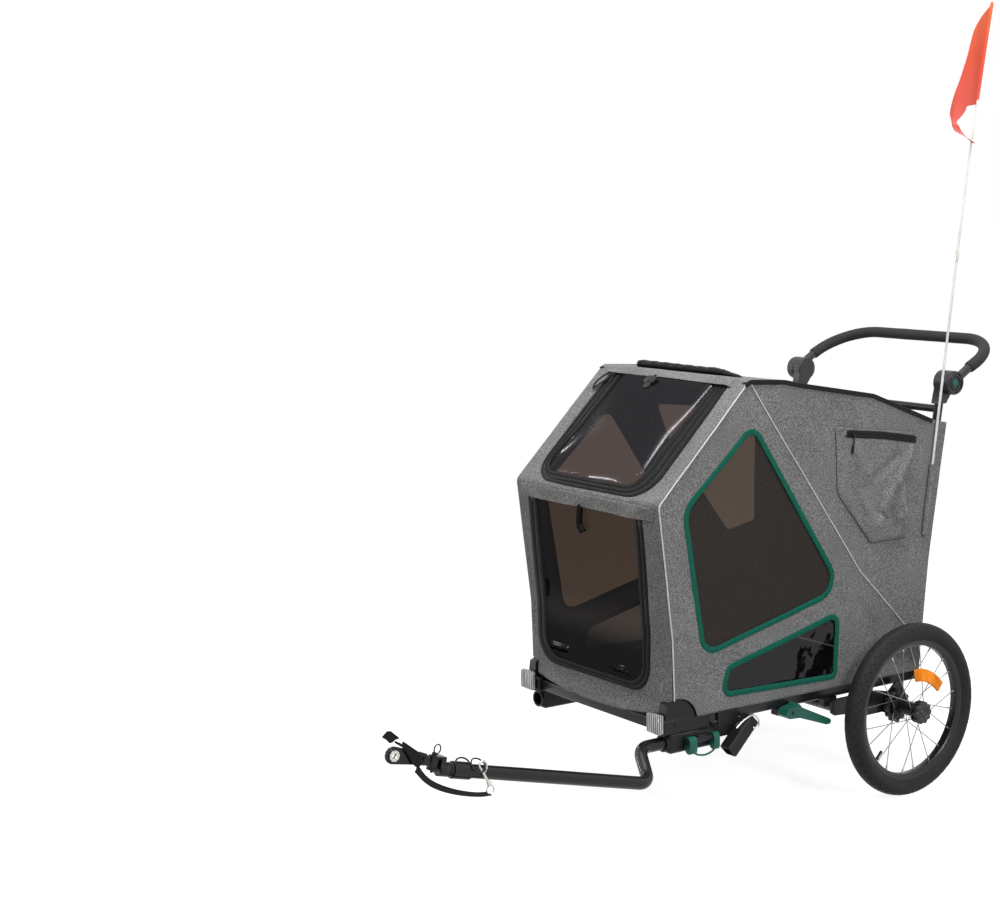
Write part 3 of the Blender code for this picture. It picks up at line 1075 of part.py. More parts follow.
knuckle = cylinder("hitch_knuckle", hp(YAW_S, 0, 0.0020), hp(YAW_S, 0, 0.0203), 0.0103, BLACK_STEEL, 16)
body = in_frame(box("body", (YAW_S + 0.002, PITCH_S + 0.002), (-0.0075, 0.0035), (0.0045, 0.0195)), hframe)
eye = cylinder("eye", hp(PITCH_S, -0.0080, PITCH_U), hp(PITCH_S, 0.0042, PITCH_U), 0.0105, BLACK_STEEL, 16)
bolt = cylinder("bolt", hp(PITCH_S, -0.0120, PITCH_U), hp(PITCH_S, 0.0165, PITCH_U), 0.0040, BLACK_STEEL, 12)
head = cylinder("head", hp(PITCH_S, -0.0125, PITCH_U), hp(PITCH_S, -0.0078, PITCH_U), 0.0065, BLACK_STEEL, 6)
knuckle = union(knuckle, body, eye, bolt, head)
knuckle = cut(knuckle, cylinder("hole", hp(YAW_S, 0, -0.01), hp(YAW_S, 0, 0.04), PIN_R + 0.0004, sides=12))
knuckle.name = "hitch_knuckle"
pivot(knuckle, hp(YAW_S, 0, 0.011))

pitch = hp(PITCH_S, 0, PITCH_U)
nose = Vector((0, NOSE_PLATE_Y, NOSE_PLATE_Z))
axis2 = Vector((nose.y - pitch.y, nose.z - pitch.z)).normalized()
nrm2 = Vector((-axis2.y, axis2.x))
outline = []
for k in range(13):
    t = -90 + 180 * k / 12
    v = axis2 * math.cos(math.radians(t)) + nrm2 * math.sin(math.radians(t))
    outline.append((nose.y + NOSE_PLATE_R * v.x, nose.z + NOSE_PLATE_R * v.y))
for k in range(9):
    t = 90 + 180 * k / 8
    v = axis2 * math.cos(math.radians(t)) + nrm2 * math.sin(math.radians(t))
    outline.append((pitch.y + 0.0115 * v.x, pitch.z + 0.0115 * v.y))
px0 = DRAW_OUT_X + 0.0048
hitch = plate("hitch_plate", [outline, circle(0.0044, 12, pitch.y, pitch.z), circle(AXLE_HOLE_R, 16, nose.y, nose.z)], PLATE_T, side_frame(px0 + PLATE_T / 2), BLACK_STEEL)
pivot(hitch, (DRAW_OUT_X, pitch.y, pitch.z))
nut = plate("hitch_nut", [ring_teeth(9, 0.0112, 0.0100), circle(AXLE_HOLE_R - 0.0002, 16)], 0.0042,
            Matrix.Translation((0, nose.y, nose.z)) @ side_frame(px0 + PLATE_T + GAP + 0.0021), BRIGHT)
pivot(nut, (px0 + PLATE_T, nose.y, nose.z))

pin = cylinder("hitch_pin", hp(YAW_S, 0, -0.0085), hp(YAW_S, 0, 0.0285), PIN_R, BRIGHT, 12)
head = cylinder("head", hp(YAW_S, 0, 0.0259), hp(YAW_S, 0, 0.0310), PIN_R + 0.0026, BLACK_STEEL, 12)
ring_pts = [hp(YAW_S - 0.004 + 0.0075 * math.cos(t), 0.0, 0.0375 + 0.0095 * math.sin(t)) for t in [math.radians(-90 + 30 * k) for k in range(12)]]
ring = tube("ring", ring_pts, 0.0015, BLACK_STEEL, 1, cyclic=True)
pin = union(pin, head, ring)
pin.name = "hitch_pin"
pivot(pin, hp(YAW_S, 0, 0.011))

# Safety strap: its stitched end, the webbing, a snap hook and the ring on the drawbar

tab_x = px0 + PLATE_T + GAP + 0.0012
tab = [(-1.4298, 0.3773), (-1.4225, 0.3850), (-1.4108, 0.3868), (-1.3902, 0.3706), (-1.3860, 0.3650), (-1.3480, 0.3372), (-1.3420, 0.3180), (-1.3560, 0.3080),
       (-1.3660, 0.3190), (-1.3930, 0.3560), (-1.4030, 0.3570), (-1.4180, 0.3640)]
plate("strap_tab", [tab], 0.0024, side_frame(tab_x + 0.0004), BINDING)

route = [(-1.3575, 0.3060), (-1.3500, 0.2960), (-1.3390, 0.2830), (-1.3220, 0.2690), (-1.2980, 0.2555), (-1.2694, 0.2435), (-1.2400, 0.2340),
         (-1.2130, 0.2276), (-1.1900, 0.2249)]


def resample(pts, n):
    """Points evenly spaced along a smooth curve through the given points."""
    out = []
    for i in range(len(pts) - 1):
        p0 = Vector(pts[max(i - 1, 0)])
        p1, p2 = Vector(pts[i]), Vector(pts[i + 1])
        p3 = Vector(pts[min(i + 2, len(pts) - 1)])
        for k in range(12):
            t = k / 12
            out.append(0.5 * ((2 * p1) + (p2 - p0) * t + (2 * p0 - 5 * p1 + 4 * p2 - p3) * t * t + (3 * p1 - p0 - 3 * p2 + p3) * t ** 3))
    out.append(Vector(pts[-1]))
    run = [0.0]
    for a, b in zip(out, out[1:]):
        run.append(run[-1] + (b - a).length)
    res, j = [], 0
    for k in range(n):
        want = run[-1] * k / (n - 1)
        while j < len(run) - 2 and run[j + 1] < want:
            j += 1
        f = (want - run[j]) / max(run[j + 1] - run[j], 1e-9)
        res.append(out[j].lerp(out[j + 1], min(max(f, 0), 1)))
    return res


STRAP_X = tab_x + 0.0004
line = resample([(STRAP_X, *p) for p in route], 16)
bm = bmesh.new()
rings = []
for i, p in enumerate(line):
    d = (line[min(i + 1, 15)] - line[max(i - 1, 0)]).normalized()
    turn = math.radians(STRAP_TWIST) * i / 15
    side_v = d.cross(Vector((1, 0, 0))).normalized()
    wv = (side_v * math.cos(turn) + Vector((1, 0, 0)) * math.sin(turn)).normalized()
    tv = d.cross(wv).normalized()
    rings.append([bm.verts.new(p + wv * a * STRAP_W / 2 + tv * b * STRAP_T / 2) for a, b in ((-1, -1), (1, -1), (1, 1), (-1, 1))])
for r0, r1 in zip(rings, rings[1:]):
    for k in range(4):
        bm.faces.new((r0[k], r0[(k + 1) % 4], r1[(k + 1) % 4], r1[k]))
bm.faces.new(rings[0][::-1])
bm.faces.new(rings[-1])
bmesh.ops.recalc_face_normals(bm, faces=bm.faces)
mesh = bpy.data.meshes.new("safety_strap")
bm.to_mesh(mesh)
bm.free()
link("safety_strap", mesh, BINDING)

ring_s = -RING_BACK
ring_c = hp(ring_s, 0.006, 0.003)
ring_pts = [ring_c + (Vector((1, 0, 0)) * math.cos(t) + N * math.sin(t)) * STRAP_RING_R for t in [2 * math.pi * k / 16 for k in range(16)]]
ring = tube("strap_ring", ring_pts, 0.0018, BLACK_STEEL, 1, cyclic=True)
tether = tube("tether", smooth_path([hp(ring_s, 0.004, 0.003 + STRAP_RING_R - 0.0003), hp(ring_s + 0.012, 0.002, 0.0235), hp(-0.020, 0, 0.0235), hp(0.002, 0, sl_r + 0.0022)], 0.02, 4),
              0.0013, BINDING, 1)
ring = union(ring, tether)
ring.name = "strap_ring"

hook_x = 0.0185
wire_u = 0.003 + math.sqrt(STRAP_RING_R ** 2 - (hook_x - 0.006) ** 2)
HOOK_R = 0.0085
hc_ = hp(ring_s, hook_x, wire_u - HOOK_R + HOOK_LIFT)
ring_pts = [hc_ + (T * math.cos(t) + N * math.sin(t)) * HOOK_R for t in [2 * math.pi * k / 12 for k in range(12)]]
snap = tube("snap_hook", ring_pts, 0.0017, BRIGHT, 1, cyclic=True)
tail = Vector((hc_.x, -1.1905, 0.2330))
dd = (tail - hc_).normalized()
snap = union(snap, tube("shank", [hc_ + dd * HOOK_R, hc_ + dd * 0.026], 0.0030, BRIGHT, 2), tube("neck", [hc_ + dd * 0.024, tail - dd * 0.0060], 0.0018, BRIGHT, 1))
side_v = Vector((1, 0, 0))
low_c = tail
eye_pts = [low_c + (dd * math.cos(t) * 0.0062 + dd.cross(side_v) * math.sin(t) * 0.0080) for t in [2 * math.pi * k / 10 for k in range(10)]]
snap = union(snap, tube("eye", eye_pts, 0.0016, BRIGHT, 1, cyclic=True))
snap = union(snap, tube("thumb", [hc_ + dd * 0.019, hc_ + dd * 0.019 + dd.cross(side_v) * -0.0065], 0.0014, BRIGHT, 1))
snap.name = "snap_hook"

# Pennant pole, its fabric sleeve and the pennant


def on_pole(z):
    """Middle of the pole at a height: a straight lower half and a slightly bent top."""
    k = (POLE_MID[0] - POLE_FOOT[0]) / (POLE_MID[1] - POLE_FOOT[1])
    if z <= POLE_MID[1]:
        return POLE_FOOT[0] + k * (z - POLE_FOOT[1])
    t = (z - POLE_MID[1]) / (POLE_TOP[1] - POLE_MID[1])
    slope_end = 2 * (POLE_TOP[0] - POLE_MID[0]) - k * (POLE_TOP[1] - POLE_MID[1])
    h = POLE_TOP[1] - POLE_MID[1]
    return POLE_MID[0] + k * h * t + (slope_end - k * h) * t * t / 2


zs = [POLE_FOOT[1], POLE_MID[1]] + [POLE_MID[1] + (POLE_TOP[1] - POLE_MID[1]) * k / 6 for k in range(1, 7)]
pole = tube("flag_pole", [(POLE_X, on_pole(z), z) for z in zs], POLE_R, POLE_WHITE, 2)
ferr = cylinder("ferrule", (POLE_X, on_pole(POLE_MID[1] - 0.012), POLE_MID[1] - 0.012), (POLE_X, on_pole(POLE_MID[1] + 0.012), POLE_MID[1] + 0.012), POLE_R + 0.0012, BRIGHT, 12)
tip = cylinder("tip", (POLE_X, on_pole(POLE_TOP[1] - 0.006), POLE_TOP[1] - 0.006), (POLE_X, on_pole(POLE_TOP[1] + 0.004), POLE_TOP[1] + 0.004), POLE_R + 0.0010, POLE_WHITE, 12)
pole = union(pole, ferr, tip)
pole.name = "flag_pole"
pivot(pole, (POLE_X, *POLE_FOOT))

k = (POLE_MID[0] - POLE_FOOT[0]) / (POLE_MID[1] - POLE_FOOT[1])
pd = Vector((0, k, 1)).normalized()
z0, z1 = POLE_FOOT[1] - 0.006, SLEEVE_TOP
sl = cylinder("pole_sleeve", (POLE_X, on_pole(z0), z0), (POLE_X, on_pole(z1), z1), POLE_SLEEVE_R, FABRIC, 16)
a = Vector((POLE_X, POLE_FOOT[0], POLE_FOOT[1])) - pd * 0.0006
sl = cut(sl, cylinder("bore", a, a + pd * 0.4, POLE_R + POLE_CLEAR, sides=16))
sl.name = "pole_sleeve"

FLAG = [(0.2660, 1.8190), (0.2182, 1.7687), (0.1450, 1.5587), (0.1495, 1.5371), (0.1697, 1.5503), (0.1933, 1.5723), (0.1995, 1.5870),
        (0.2155, 1.5045), (0.2178, 1.5400)]
edge = [(on_pole(z) - POLE_R - FLAG_GAP, z) for z in (1.6033, 1.66, 1.72, 1.77, 1.816)]
cu = bpy.data.curves.new("flag", "CURVE")
cu.dimensions = "2D"
cu.fill_mode = "FRONT"
s = cu.splines.new("POLY")
loop = rounded(FLAG, [0.0, 0.02, 0.006, 0.0, 0.02, 0.0, 0.0, 0.0, 0.0], 2) + edge
s.points.add(len(loop) - 1)
for p, q in zip(s.points, loop):
    p.co = (q[0], q[1], 0, 1)
s.use_cyclic_u = True
flag = bpy.data.objects.new("flag", cu)
PARTS.objects.link(flag)
flag.matrix_world = side_frame(POLE_X)
bpy.context.view_layer.update()
flag = realise(flag, "flag", FLAG_ORANGE)
bm = bmesh.new()
bm.from_mesh(flag.data)
pole_dir = Vector((0, 0.16, 1.0)).normalized()
across = Vector((0, -1.0, 0.16)).normalized()
root = Vector((POLE_X, POLE_TOP[0], POLE_TOP[1]))
for k in range(1, 8):
    geom = bm.verts[:] + bm.edges[:] + bm.faces[:]
    bmesh.ops.bisect_plane(bm, geom=geom, plane_co=root + across * FLAG_W * k / 8, plane_no=across)
for k in range(1, 5):
    geom = bm.verts[:] + bm.edges[:] + bm.faces[:]
    bmesh.ops.bisect_plane(bm, geom=geom, plane_co=root - pole_dir * 0.32 * k / 5, plane_no=pole_dir)
for v in bm.verts:
    w = (v.co - root).dot(across) / FLAG_W
    h = -(v.co - root).dot(pole_dir) / 0.32
    if w > 0.04:
        v.co.x += FLAG_WAVE * math.sin(2 * math.pi * (1.5 * (w - 0.04) + 0.1 * h)) * min(1.0, 2.5 * (w - 0.04)) * (0.35 + h)
bm.to_mesh(flag.data)
bm.free()
m = flag.modifiers.new("cloth", "SOLIDIFY")
m.thickness = FLAG_T
m.offset = 0.0
flag = realise(flag, "flag", FLAG_ORANGE)
pivot(flag, (POLE_X, *POLE_FOOT))

# The origin is the middle of the footprint, so everything moves along Y

for o in PARTS.objects:
    o.location.y += AXLE_AT_Y
    me = o.data
    me.shade_smooth()
    me.set_sharp_from_angle(angle=math.radians(34))
bpy.context.view_layer.update()
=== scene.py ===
# %% [markdown]
# # A pet trailer for a bicycle, dressed for its picture
#
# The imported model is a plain, exact frame: tubes, castings, wheels and slabs for the
# cloth. This lesson builds the looks around it. Hard pieces get finer surfaces and
# their finishes, and the cloth cabin is made again as thin sheets with seams, zips
# and windows. Everything is in metres. Lengths along the trailer are measured from
# the wheel axle, and each mesh is moved by the same step when it is made.

# %% Load the frame
import math

import bmesh
import bpy
import numpy as np
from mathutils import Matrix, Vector


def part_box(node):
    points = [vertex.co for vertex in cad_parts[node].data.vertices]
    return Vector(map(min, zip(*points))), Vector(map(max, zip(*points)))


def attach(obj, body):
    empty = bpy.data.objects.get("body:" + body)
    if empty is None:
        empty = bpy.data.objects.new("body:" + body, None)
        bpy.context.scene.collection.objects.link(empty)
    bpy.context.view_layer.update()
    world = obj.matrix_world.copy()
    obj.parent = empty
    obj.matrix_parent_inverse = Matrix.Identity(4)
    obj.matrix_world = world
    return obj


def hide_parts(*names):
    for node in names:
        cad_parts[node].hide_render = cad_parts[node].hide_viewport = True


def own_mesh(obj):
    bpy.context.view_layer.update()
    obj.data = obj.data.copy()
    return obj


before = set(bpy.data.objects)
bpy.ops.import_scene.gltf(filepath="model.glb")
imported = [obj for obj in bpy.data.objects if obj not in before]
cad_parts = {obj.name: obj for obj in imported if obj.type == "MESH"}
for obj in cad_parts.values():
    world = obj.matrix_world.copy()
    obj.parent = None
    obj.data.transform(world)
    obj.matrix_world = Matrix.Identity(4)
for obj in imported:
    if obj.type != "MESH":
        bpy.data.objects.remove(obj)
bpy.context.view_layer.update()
AXLE_Y = 0.531

# %% [markdown]
# ## Camera
#
# A photograph is matched by its viewpoint before anything else. The viewpoint was
# worked out from the wheels, the rails and the roof line, so here it is only set:
# a long lens, a little above the cabin, looking at its front left corner.

# %% Place the camera
EYE = Vector((3.1302, -3.1702 + AXLE_Y, 1.3531))
TURN, LIFT = math.radians(54.52), math.radians(7.85)
SENSOR_MM, LENS_MM = 36.0, 65.893
back = Vector((math.sin(TURN) * math.cos(LIFT), -math.cos(TURN) * math.cos(LIFT), math.sin(LIFT)))
lens = bpy.data.cameras.new("photo_view")
lens.sensor_width, lens.lens = SENSOR_MM, LENS_MM
camera = bpy.data.objects.new("photo_view", lens)
bpy.context.scene.collection.objects.link(camera)
camera.location = EYE
camera.rotation_mode = "QUATERNION"
camera.rotation_quaternion = back.to_track_quat("Z", "Y")
bpy.context.scene.camera = camera

# %% [markdown]
# ## Helpers for surfaces
#
# Nearly every piece is a grid of points worked out at once: rows along the piece and
# columns around it or across it. Four neighbours make a face. One helper joins the
# grid, one turns points into a mesh, and the rest are formulas for common shapes.


# %% Grids of points
def grid_faces(rows, cols, wrap_rows=False, wrap_cols=False):
    """Four-cornered faces between neighbouring rows and columns of a grid."""
    r, c = np.meshgrid(np.arange(rows if wrap_rows else rows - 1),
                       np.arange(cols if wrap_cols else cols - 1), indexing="ij")
    r2, c2 = (r + 1) % rows, (c + 1) % cols
    return np.stack([r * cols + c, r2 * cols + c, r2 * cols + c2, r * cols + c2], -1).reshape(-1, 4)


def stacked(*parts):
    """Whole arrays of coordinates, spread to one size, as one array of points."""
    return np.stack(np.broadcast_arrays(*parts), -1)


def tube_faces(rows, cols, first=True):
    """Rows that close on themselves, with one face over the last row and, unless
    'first' is false, one over the first."""
    last = [list(range(rows * cols - 1, (rows - 1) * cols - 1, -1))]
    return grid_faces(rows, cols, False, True).tolist() + ([list(range(cols))] if first else []) + last


def slab_faces(rows, cols):
    """Two equal grids, the front one first, joined by a strip round their rim."""
    faces, n = grid_faces(rows, cols), rows * cols
    i = np.arange(n).reshape(rows, cols)
    rim = np.concatenate([i[:-1, 0], i[-1, :-1], i[:0:-1, -1], i[0, :0:-1]])
    after = np.roll(rim, -1)
    sides = np.stack([rim, after, after + n, rim + n], -1)
    return np.concatenate([faces, faces[:, ::-1] + n, sides])


def as_list(faces):
    """Faces as plain lists, which meshes are built from."""
    return faces.tolist() if hasattr(faces, "tolist") else faces


def merge(*parts):
    """Several (points, faces) pairs as one pair."""
    points, faces, start = [], [], 0
    for p, f in parts:
        p = np.asarray(p, float).reshape(-1, 3)
        points.append(p)
        faces += [[i + start for i in q] for q in as_list(f)]
        start += len(p)
    return np.concatenate(points), faces


def mirror(shape):
    """The same surface on the trailer's right side, turned so that it still faces out."""
    points, faces = shape
    return np.asarray(points).reshape(-1, 3) * (-1, 1, 1), [q[::-1] for q in as_list(faces)]


# %% Pieces from grids
# Names of the pieces so far, and the distance under which two points become one
MADE, WELD = [], 2e-6


def make(name, shape, finish, body, stands_for=(), slot=None, sharp=35, flip=False, close=False):
    """One piece: its mesh from points and faces, its finish, and the body it rides on."""
    points, faces = shape[0], as_list(shape[1])
    points = np.asarray(points, float).reshape(-1, 3) + (0, AXLE_Y, 0)
    mesh = bpy.data.meshes.new(name)
    mesh.from_pydata(points.tolist(), [], [q[::-1] for q in faces] if flip else faces)
    if close:
        bm = bmesh.new()
        bm.from_mesh(mesh)
        bmesh.ops.remove_doubles(bm, verts=bm.verts, dist=WELD)
        bmesh.ops.recalc_face_normals(bm, faces=bm.faces)
        bm.to_mesh(mesh)
        bm.free()
    mesh.validate()
    mesh.shade_smooth()
    if sharp:
        mesh.set_sharp_from_angle(angle=math.radians(sharp))
    mesh.materials.append(finish)
    obj = bpy.data.objects.new(name, mesh)
    bpy.context.scene.collection.objects.link(obj)
    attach(obj, body)
    if stands_for:
        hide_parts(*([stands_for] if isinstance(stands_for, str) else stands_for))
    MADE.append(name)
    return obj


def both(name, shape, finish, bodies, nodes=(), slot=None, **more):
    """The same piece on the left side and, mirrored, on the right one."""
    for side, one, body in zip("LR", (shape, mirror(shape)), bodies):
        make(f"{name}_{side}", one, finish, body, [f"{n}_{side}" for n in nodes], slot, **more)


CLOTH_THICK, INWARDS = 0.0014, -1.0


def sheet(name, shape, finish, body, node, slot="fabric", thick=CLOTH_THICK, offset=INWARDS, **more):
    """A piece made as one layer of faces and given its thickness."""
    obj = make(name, shape, finish, body, node, slot, sharp=0, **more)
    m = obj.modifiers.new("thickness", "SOLIDIFY")
    m.thickness, m.offset = thick, offset
    return obj


# %% Lines, turned shapes and tubes
def unit(v):
    """Directions: the same arrows with a length of one."""
    return v / np.maximum(np.linalg.norm(v, axis=-1, keepdims=True), 1e-12)


def bend(corners, radii, steps=8, closed=False):
    """Straight runs joined by arcs: at a corner of half angle a, an arc of radius r
    starts r / tan(a) before it and its centre lies r / sin(a) inside it."""
    p = np.asarray(corners, float)
    if p.shape[1] == 2:
        return bend(np.pad(p, ((0, 0), (0, 1))), radii, steps, closed)[:, :2]
    n = len(p)
    radii = np.broadcast_to(radii, n) if closed else np.concatenate([[0], np.broadcast_to(radii, n - 2), [0]])
    out = []
    for i in range(n):
        if radii[i] <= 0:
            out.append(p[i:i + 1])
            continue
        u, v = unit(p[i - 1] - p[i]), unit(p[(i + 1) % n] - p[i])
        half = math.acos(np.clip(u @ v, -1, 1)) / 2
        if half > math.pi / 2 - 0.01:
            out.append(p[i:i + 1])
            continue
        middle = p[i] + unit(u + v) * radii[i] / math.sin(half)
        a, b = p[i] + u * radii[i] / math.tan(half) - middle, p[i] + v * radii[i] / math.tan(half) - middle
        e1 = unit(a)
        e2 = unit(b - e1 * (b @ e1))
        t = np.linspace(0, math.pi - 2 * half, steps + 1)[:, None]
        out.append(middle + radii[i] * (e1 * np.cos(t) + e2 * np.sin(t)))
    return np.concatenate(out)


def even(line, count, closed=False):
    """The same line with its points spread evenly along its length."""
    line = np.asarray(line, float)
    if closed:
        line = np.concatenate([line, line[:1]])
    run = np.concatenate([[0], np.cumsum(np.linalg.norm(np.diff(line, axis=0), axis=1))])
    want = np.linspace(0, run[-1], count + 1)[:-1] if closed else np.linspace(0, run[-1], count)
    return np.stack([np.interp(want, run, line[:, k]) for k in range(line.shape[1])], -1)


def through(points):
    """A smooth line through points: each span is the cubic that has the mean
    direction of its neighbours at both ends, in twelve steps."""
    p = np.asarray(points, float)
    q = np.concatenate([2 * p[:1] - p[1:2], p, 2 * p[-1:] - p[-2:-1]])
    t = np.linspace(0, 1, 12, endpoint=False)[None, :, None]
    a, b, c, d = (q[k:len(q) - 3 + k][:, None, :] for k in range(4))
    s = 0.5 * (2 * b + (c - a) * t + (2 * a - 5 * b + 4 * c - d) * t ** 2 + (3 * b - a - 3 * c + d) * t ** 3)
    return np.concatenate([s.reshape(-1, p.shape[1]), p[-1:]])


def flow(points, count):
    """The same line with its points spread evenly."""
    return even(through(points), count)


def axes_along(line, up=(0, 0, 1), closed=False):
    """Two directions across a line at each point: one level with 'up', one square to both."""
    step = np.roll(line, -1, 0) - np.roll(line, 1, 0) if closed else np.gradient(line, axis=0)
    t = unit(step)
    a = unit(np.cross(t, np.asarray(up, float)))
    return a, np.cross(a, t)


def carry(line, section, up=(0, 0, 1), closed=False):
    """A closed section (across, out) carried along a line. 'section' is one outline,
    or one outline for each point of the line."""
    line = np.asarray(line, float)
    section = np.broadcast_to(np.asarray(section, float), (len(line),) + np.shape(section)[-2:])
    a, b = axes_along(line, up, closed)
    points = line[:, None] + section[..., :1] * a[:, None] + section[..., 1:] * b[:, None]
    n, m = points.shape[:2]
    return points, grid_faces(n, m, True, True) if closed else tube_faces(n, m)


def circle(count):
    """So many angles evenly round a full turn."""
    return np.arange(count) * 2 * math.pi / count


def tube(line, radius, sides=16, **more):
    """A round section carried along a line; the radius may differ at each point."""
    t = circle(sides)
    radius = np.broadcast_to(radius, len(line))
    return carry(line, radius[:, None, None] * np.stack([np.cos(t), np.sin(t)], -1), **more)


def held(v):
    """Kept between nothing and one."""
    return np.clip(v, 0, 1)


def signed_power(v, power):
    """A power of the size of a number, with the number's sign."""
    return np.sign(v) * np.abs(v) ** power


def flat_oval(width, height, count, side_power, top_power):
    """A flat closed section with round edges: a superellipse, width by height."""
    a = circle(count)
    return width / 2 * signed_power(np.cos(a), side_power), height / 2 * signed_power(np.sin(a), top_power)


def round_axle(x, radius, turn):
    """Points at x along the left wheel's axle, a radius from it, at an angle round it."""
    return stacked(x, radius * np.cos(turn), radius * np.sin(turn))


def turn_round(profile, centre, sides=96, closed=True):
    """A profile of (along the axle, radius) pairs turned about an axle through 'centre'."""
    p = np.asarray(profile, float)
    points = round_axle(p[None, :, 0], p[None, :, 1], circle(sides)[:, None])
    return (points + centre), grid_faces(sides, len(p), True, closed)


# %% [markdown]
# ## Finishes
#
# A finish is a small graph of nodes: a colour that varies, a roughness, and a bump
# that gives weave, grain or moulding texture. All patterns read the object's own
# coordinates in metres, so a scale of 1000 means one cell for each millimetre.


# %% Building blocks for finishes
def feed(tree, target, value):
    """Links another node's output to a socket, or sets the socket's own value."""
    if isinstance(value, bpy.types.NodeSocket):
        tree.links.new(value, target)
    else:
        target.default_value = value


def add_node(tree, kind, inputs=None, **settings):
    """A node of a kind, with its settings, and its inputs by name or by number."""
    n = tree.nodes.new("ShaderNode" + kind)
    for key, value in settings.items():
        setattr(n, key, value)
    for key, value in (inputs or {}).items():
        feed(tree, n.inputs[key], value)
    return n


def opaque(colour):
    """A colour with the full fourth share that the nodes want."""
    return (*colour[:3], 1.0)


def times(colour, by, more=0.0):
    """A colour made brighter or darker."""
    return tuple(min(1.0, c * by + more) for c in colour)


class Finish:
    """A material under construction, with short names for the nodes it needs."""

    def __init__(self, name, colour=(0.5, 0.5, 0.5), rough=0.5, metal=0.0, spec=None, **sockets):
        self.mat = bpy.data.materials.new(name)
        self.mat.use_nodes = True
        self.tree = self.mat.node_tree
        self.tree.nodes.clear()
        self.shader = self.node("BsdfPrincipled")
        self.out = self.node("OutputMaterial", {"Surface": self.shader.outputs[0]})
        self.put("Base Color", opaque(colour))
        self.put("Roughness", rough)
        self.put("Metallic", metal)
        if spec is not None:
            self.put("Specular IOR Level", spec)
        for key, value in sockets.items():
            self.put(key.replace("_", " "), value)
        self.where = self.node("TexCoord").outputs["Object"]

    def put(self, socket, value):
        feed(self.tree, self.shader.inputs[socket], value)

    def node(self, kind, inputs=None, **settings):
        return add_node(self.tree, kind, inputs, **settings)

    def at(self, scale=(1, 1, 1), move=(0, 0, 0)):
        """Object coordinates, moved and stretched."""
        return self.node("Mapping", {"Vector": self.where, "Location": move, "Scale": scale}).outputs[0]

    def height(self):
        return self.node("SeparateXYZ", {"Vector": self.where}).outputs["Z"]

    def noise(self, scale, where=None, detail=2.0, rough=0.5):
        return self.node("TexNoise", {"Vector": where or self.where, "Scale": scale, "Detail": detail,
                                      "Roughness": rough}).outputs["Fac"]

    def wave(self, scale, where=None, direction="X", distortion=0.0):
        return self.node("TexWave", {"Vector": where or self.where, "Scale": scale, "Distortion": distortion},
                         bands_direction=direction).outputs["Fac"]

    def ramp(self, value, stops):
        n = self.node("ValToRGB", {"Fac": value})
        bar = n.color_ramp.elements
        while len(bar) < len(stops):
            bar.new(0.5)
        for e, (place, colour) in zip(bar, stops):
            e.position, e.color = place, opaque(colour)
        return n.outputs["Color"]

    def mix(self, amount, a, b, how="MIX"):
        a, b = (v if isinstance(v, bpy.types.NodeSocket) else opaque(v) for v in (a, b))
        return self.node("Mix", data_type="RGBA", blend_type=how, inputs={0: amount, 6: a, 7: b}).outputs[2]

    def sum(self, a, b, how="ADD"):
        return self.node("Math", {0: a, 1: b}, operation=how).outputs[0]

    def scaled(self, a, b):
        return self.sum(a, b, "MULTIPLY")

    def bump(self, height, distance, strength=1.0):
        bumped = self.node("Bump", {"Height": height, "Distance": distance, "Strength": strength})
        self.put("Normal", bumped.outputs[0])
        return self


def grey(v):
    """A colour with three equal shares."""
    return (v, v, v)


# %% [markdown]
# ### Heather cloth
#
# The cabin is woven from mixed light and dark yarn. Up close that is a salt and
# pepper of short flecks that follow the two yarn directions, with a plain weave
# under it. Two stretched noises give the flecks, and fine waves give the weave.


# %% Heather cloth, webbing and thread
def heather(name, light, dark, warm=(1.0, 1.0, 1.0), seed=0.0):
    """Flecks = two stretched noises plus a round one, cut into dark, middle and light
    yarn, times a slow cloud. Bump = two crossing waves plus the flecks."""
    f = Finish(name, rough=0.86, spec=0.25, Sheen_Weight=0.12, Sheen_Roughness=0.5)
    upright = f.noise(1.0, f.at((800, 800, 300), move=(seed, 0, 0)), 2.0, 0.6)
    level = f.noise(1.0, f.at((240, 240, 800), move=(0, seed, 3)), 2.0, 0.6)
    grain = f.noise(420, f.at(move=(seed, seed, 0)), 1.0, 0.6)
    mixed = f.sum(f.sum(upright, level), f.scaled(grain, 1.1))
    flecks = f.ramp(f.scaled(mixed, 1 / 3.1), [(0.4, grey(dark)), (0.5, grey((light + dark) * 0.42)),
                                               (0.6, grey(light))])
    cloud = f.ramp(f.noise(9, detail=4.0, rough=0.6), [(0.3, grey(0.86)), (0.7, grey(1.08))])
    f.put("Base Color", f.mix(1.0, f.mix(1.0, flecks, cloud, "MULTIPLY"), warm, "MULTIPLY"))
    weave = f.sum(f.wave(620, f.at((1, 1, 0.001)), "DIAGONAL"), f.wave(520, direction="Z"))
    return f.bump(f.sum(f.scaled(weave, 0.25), f.scaled(mixed, 0.6)), 0.0004, 0.75).mat


def webbing(name, colour, pitch, rough, fleck=0.25):
    """Tape and webbing: flecked yarn, with two crossing rows of ribs."""
    f = Finish(name, colour, rough, spec=0.12)
    n = f.noise(pitch)
    f.put("Base Color", f.ramp(n, [(0.35, times(colour, 1 - fleck)),
                                   (0.65, times(colour, 1 + fleck, 0.004))]))
    ribs = f.sum(f.wave(pitch * 0.35, direction="DIAGONAL"), f.wave(pitch * 0.35, direction="Z"))
    return f.bump(f.sum(ribs, n), 0.0003, 0.8).mat


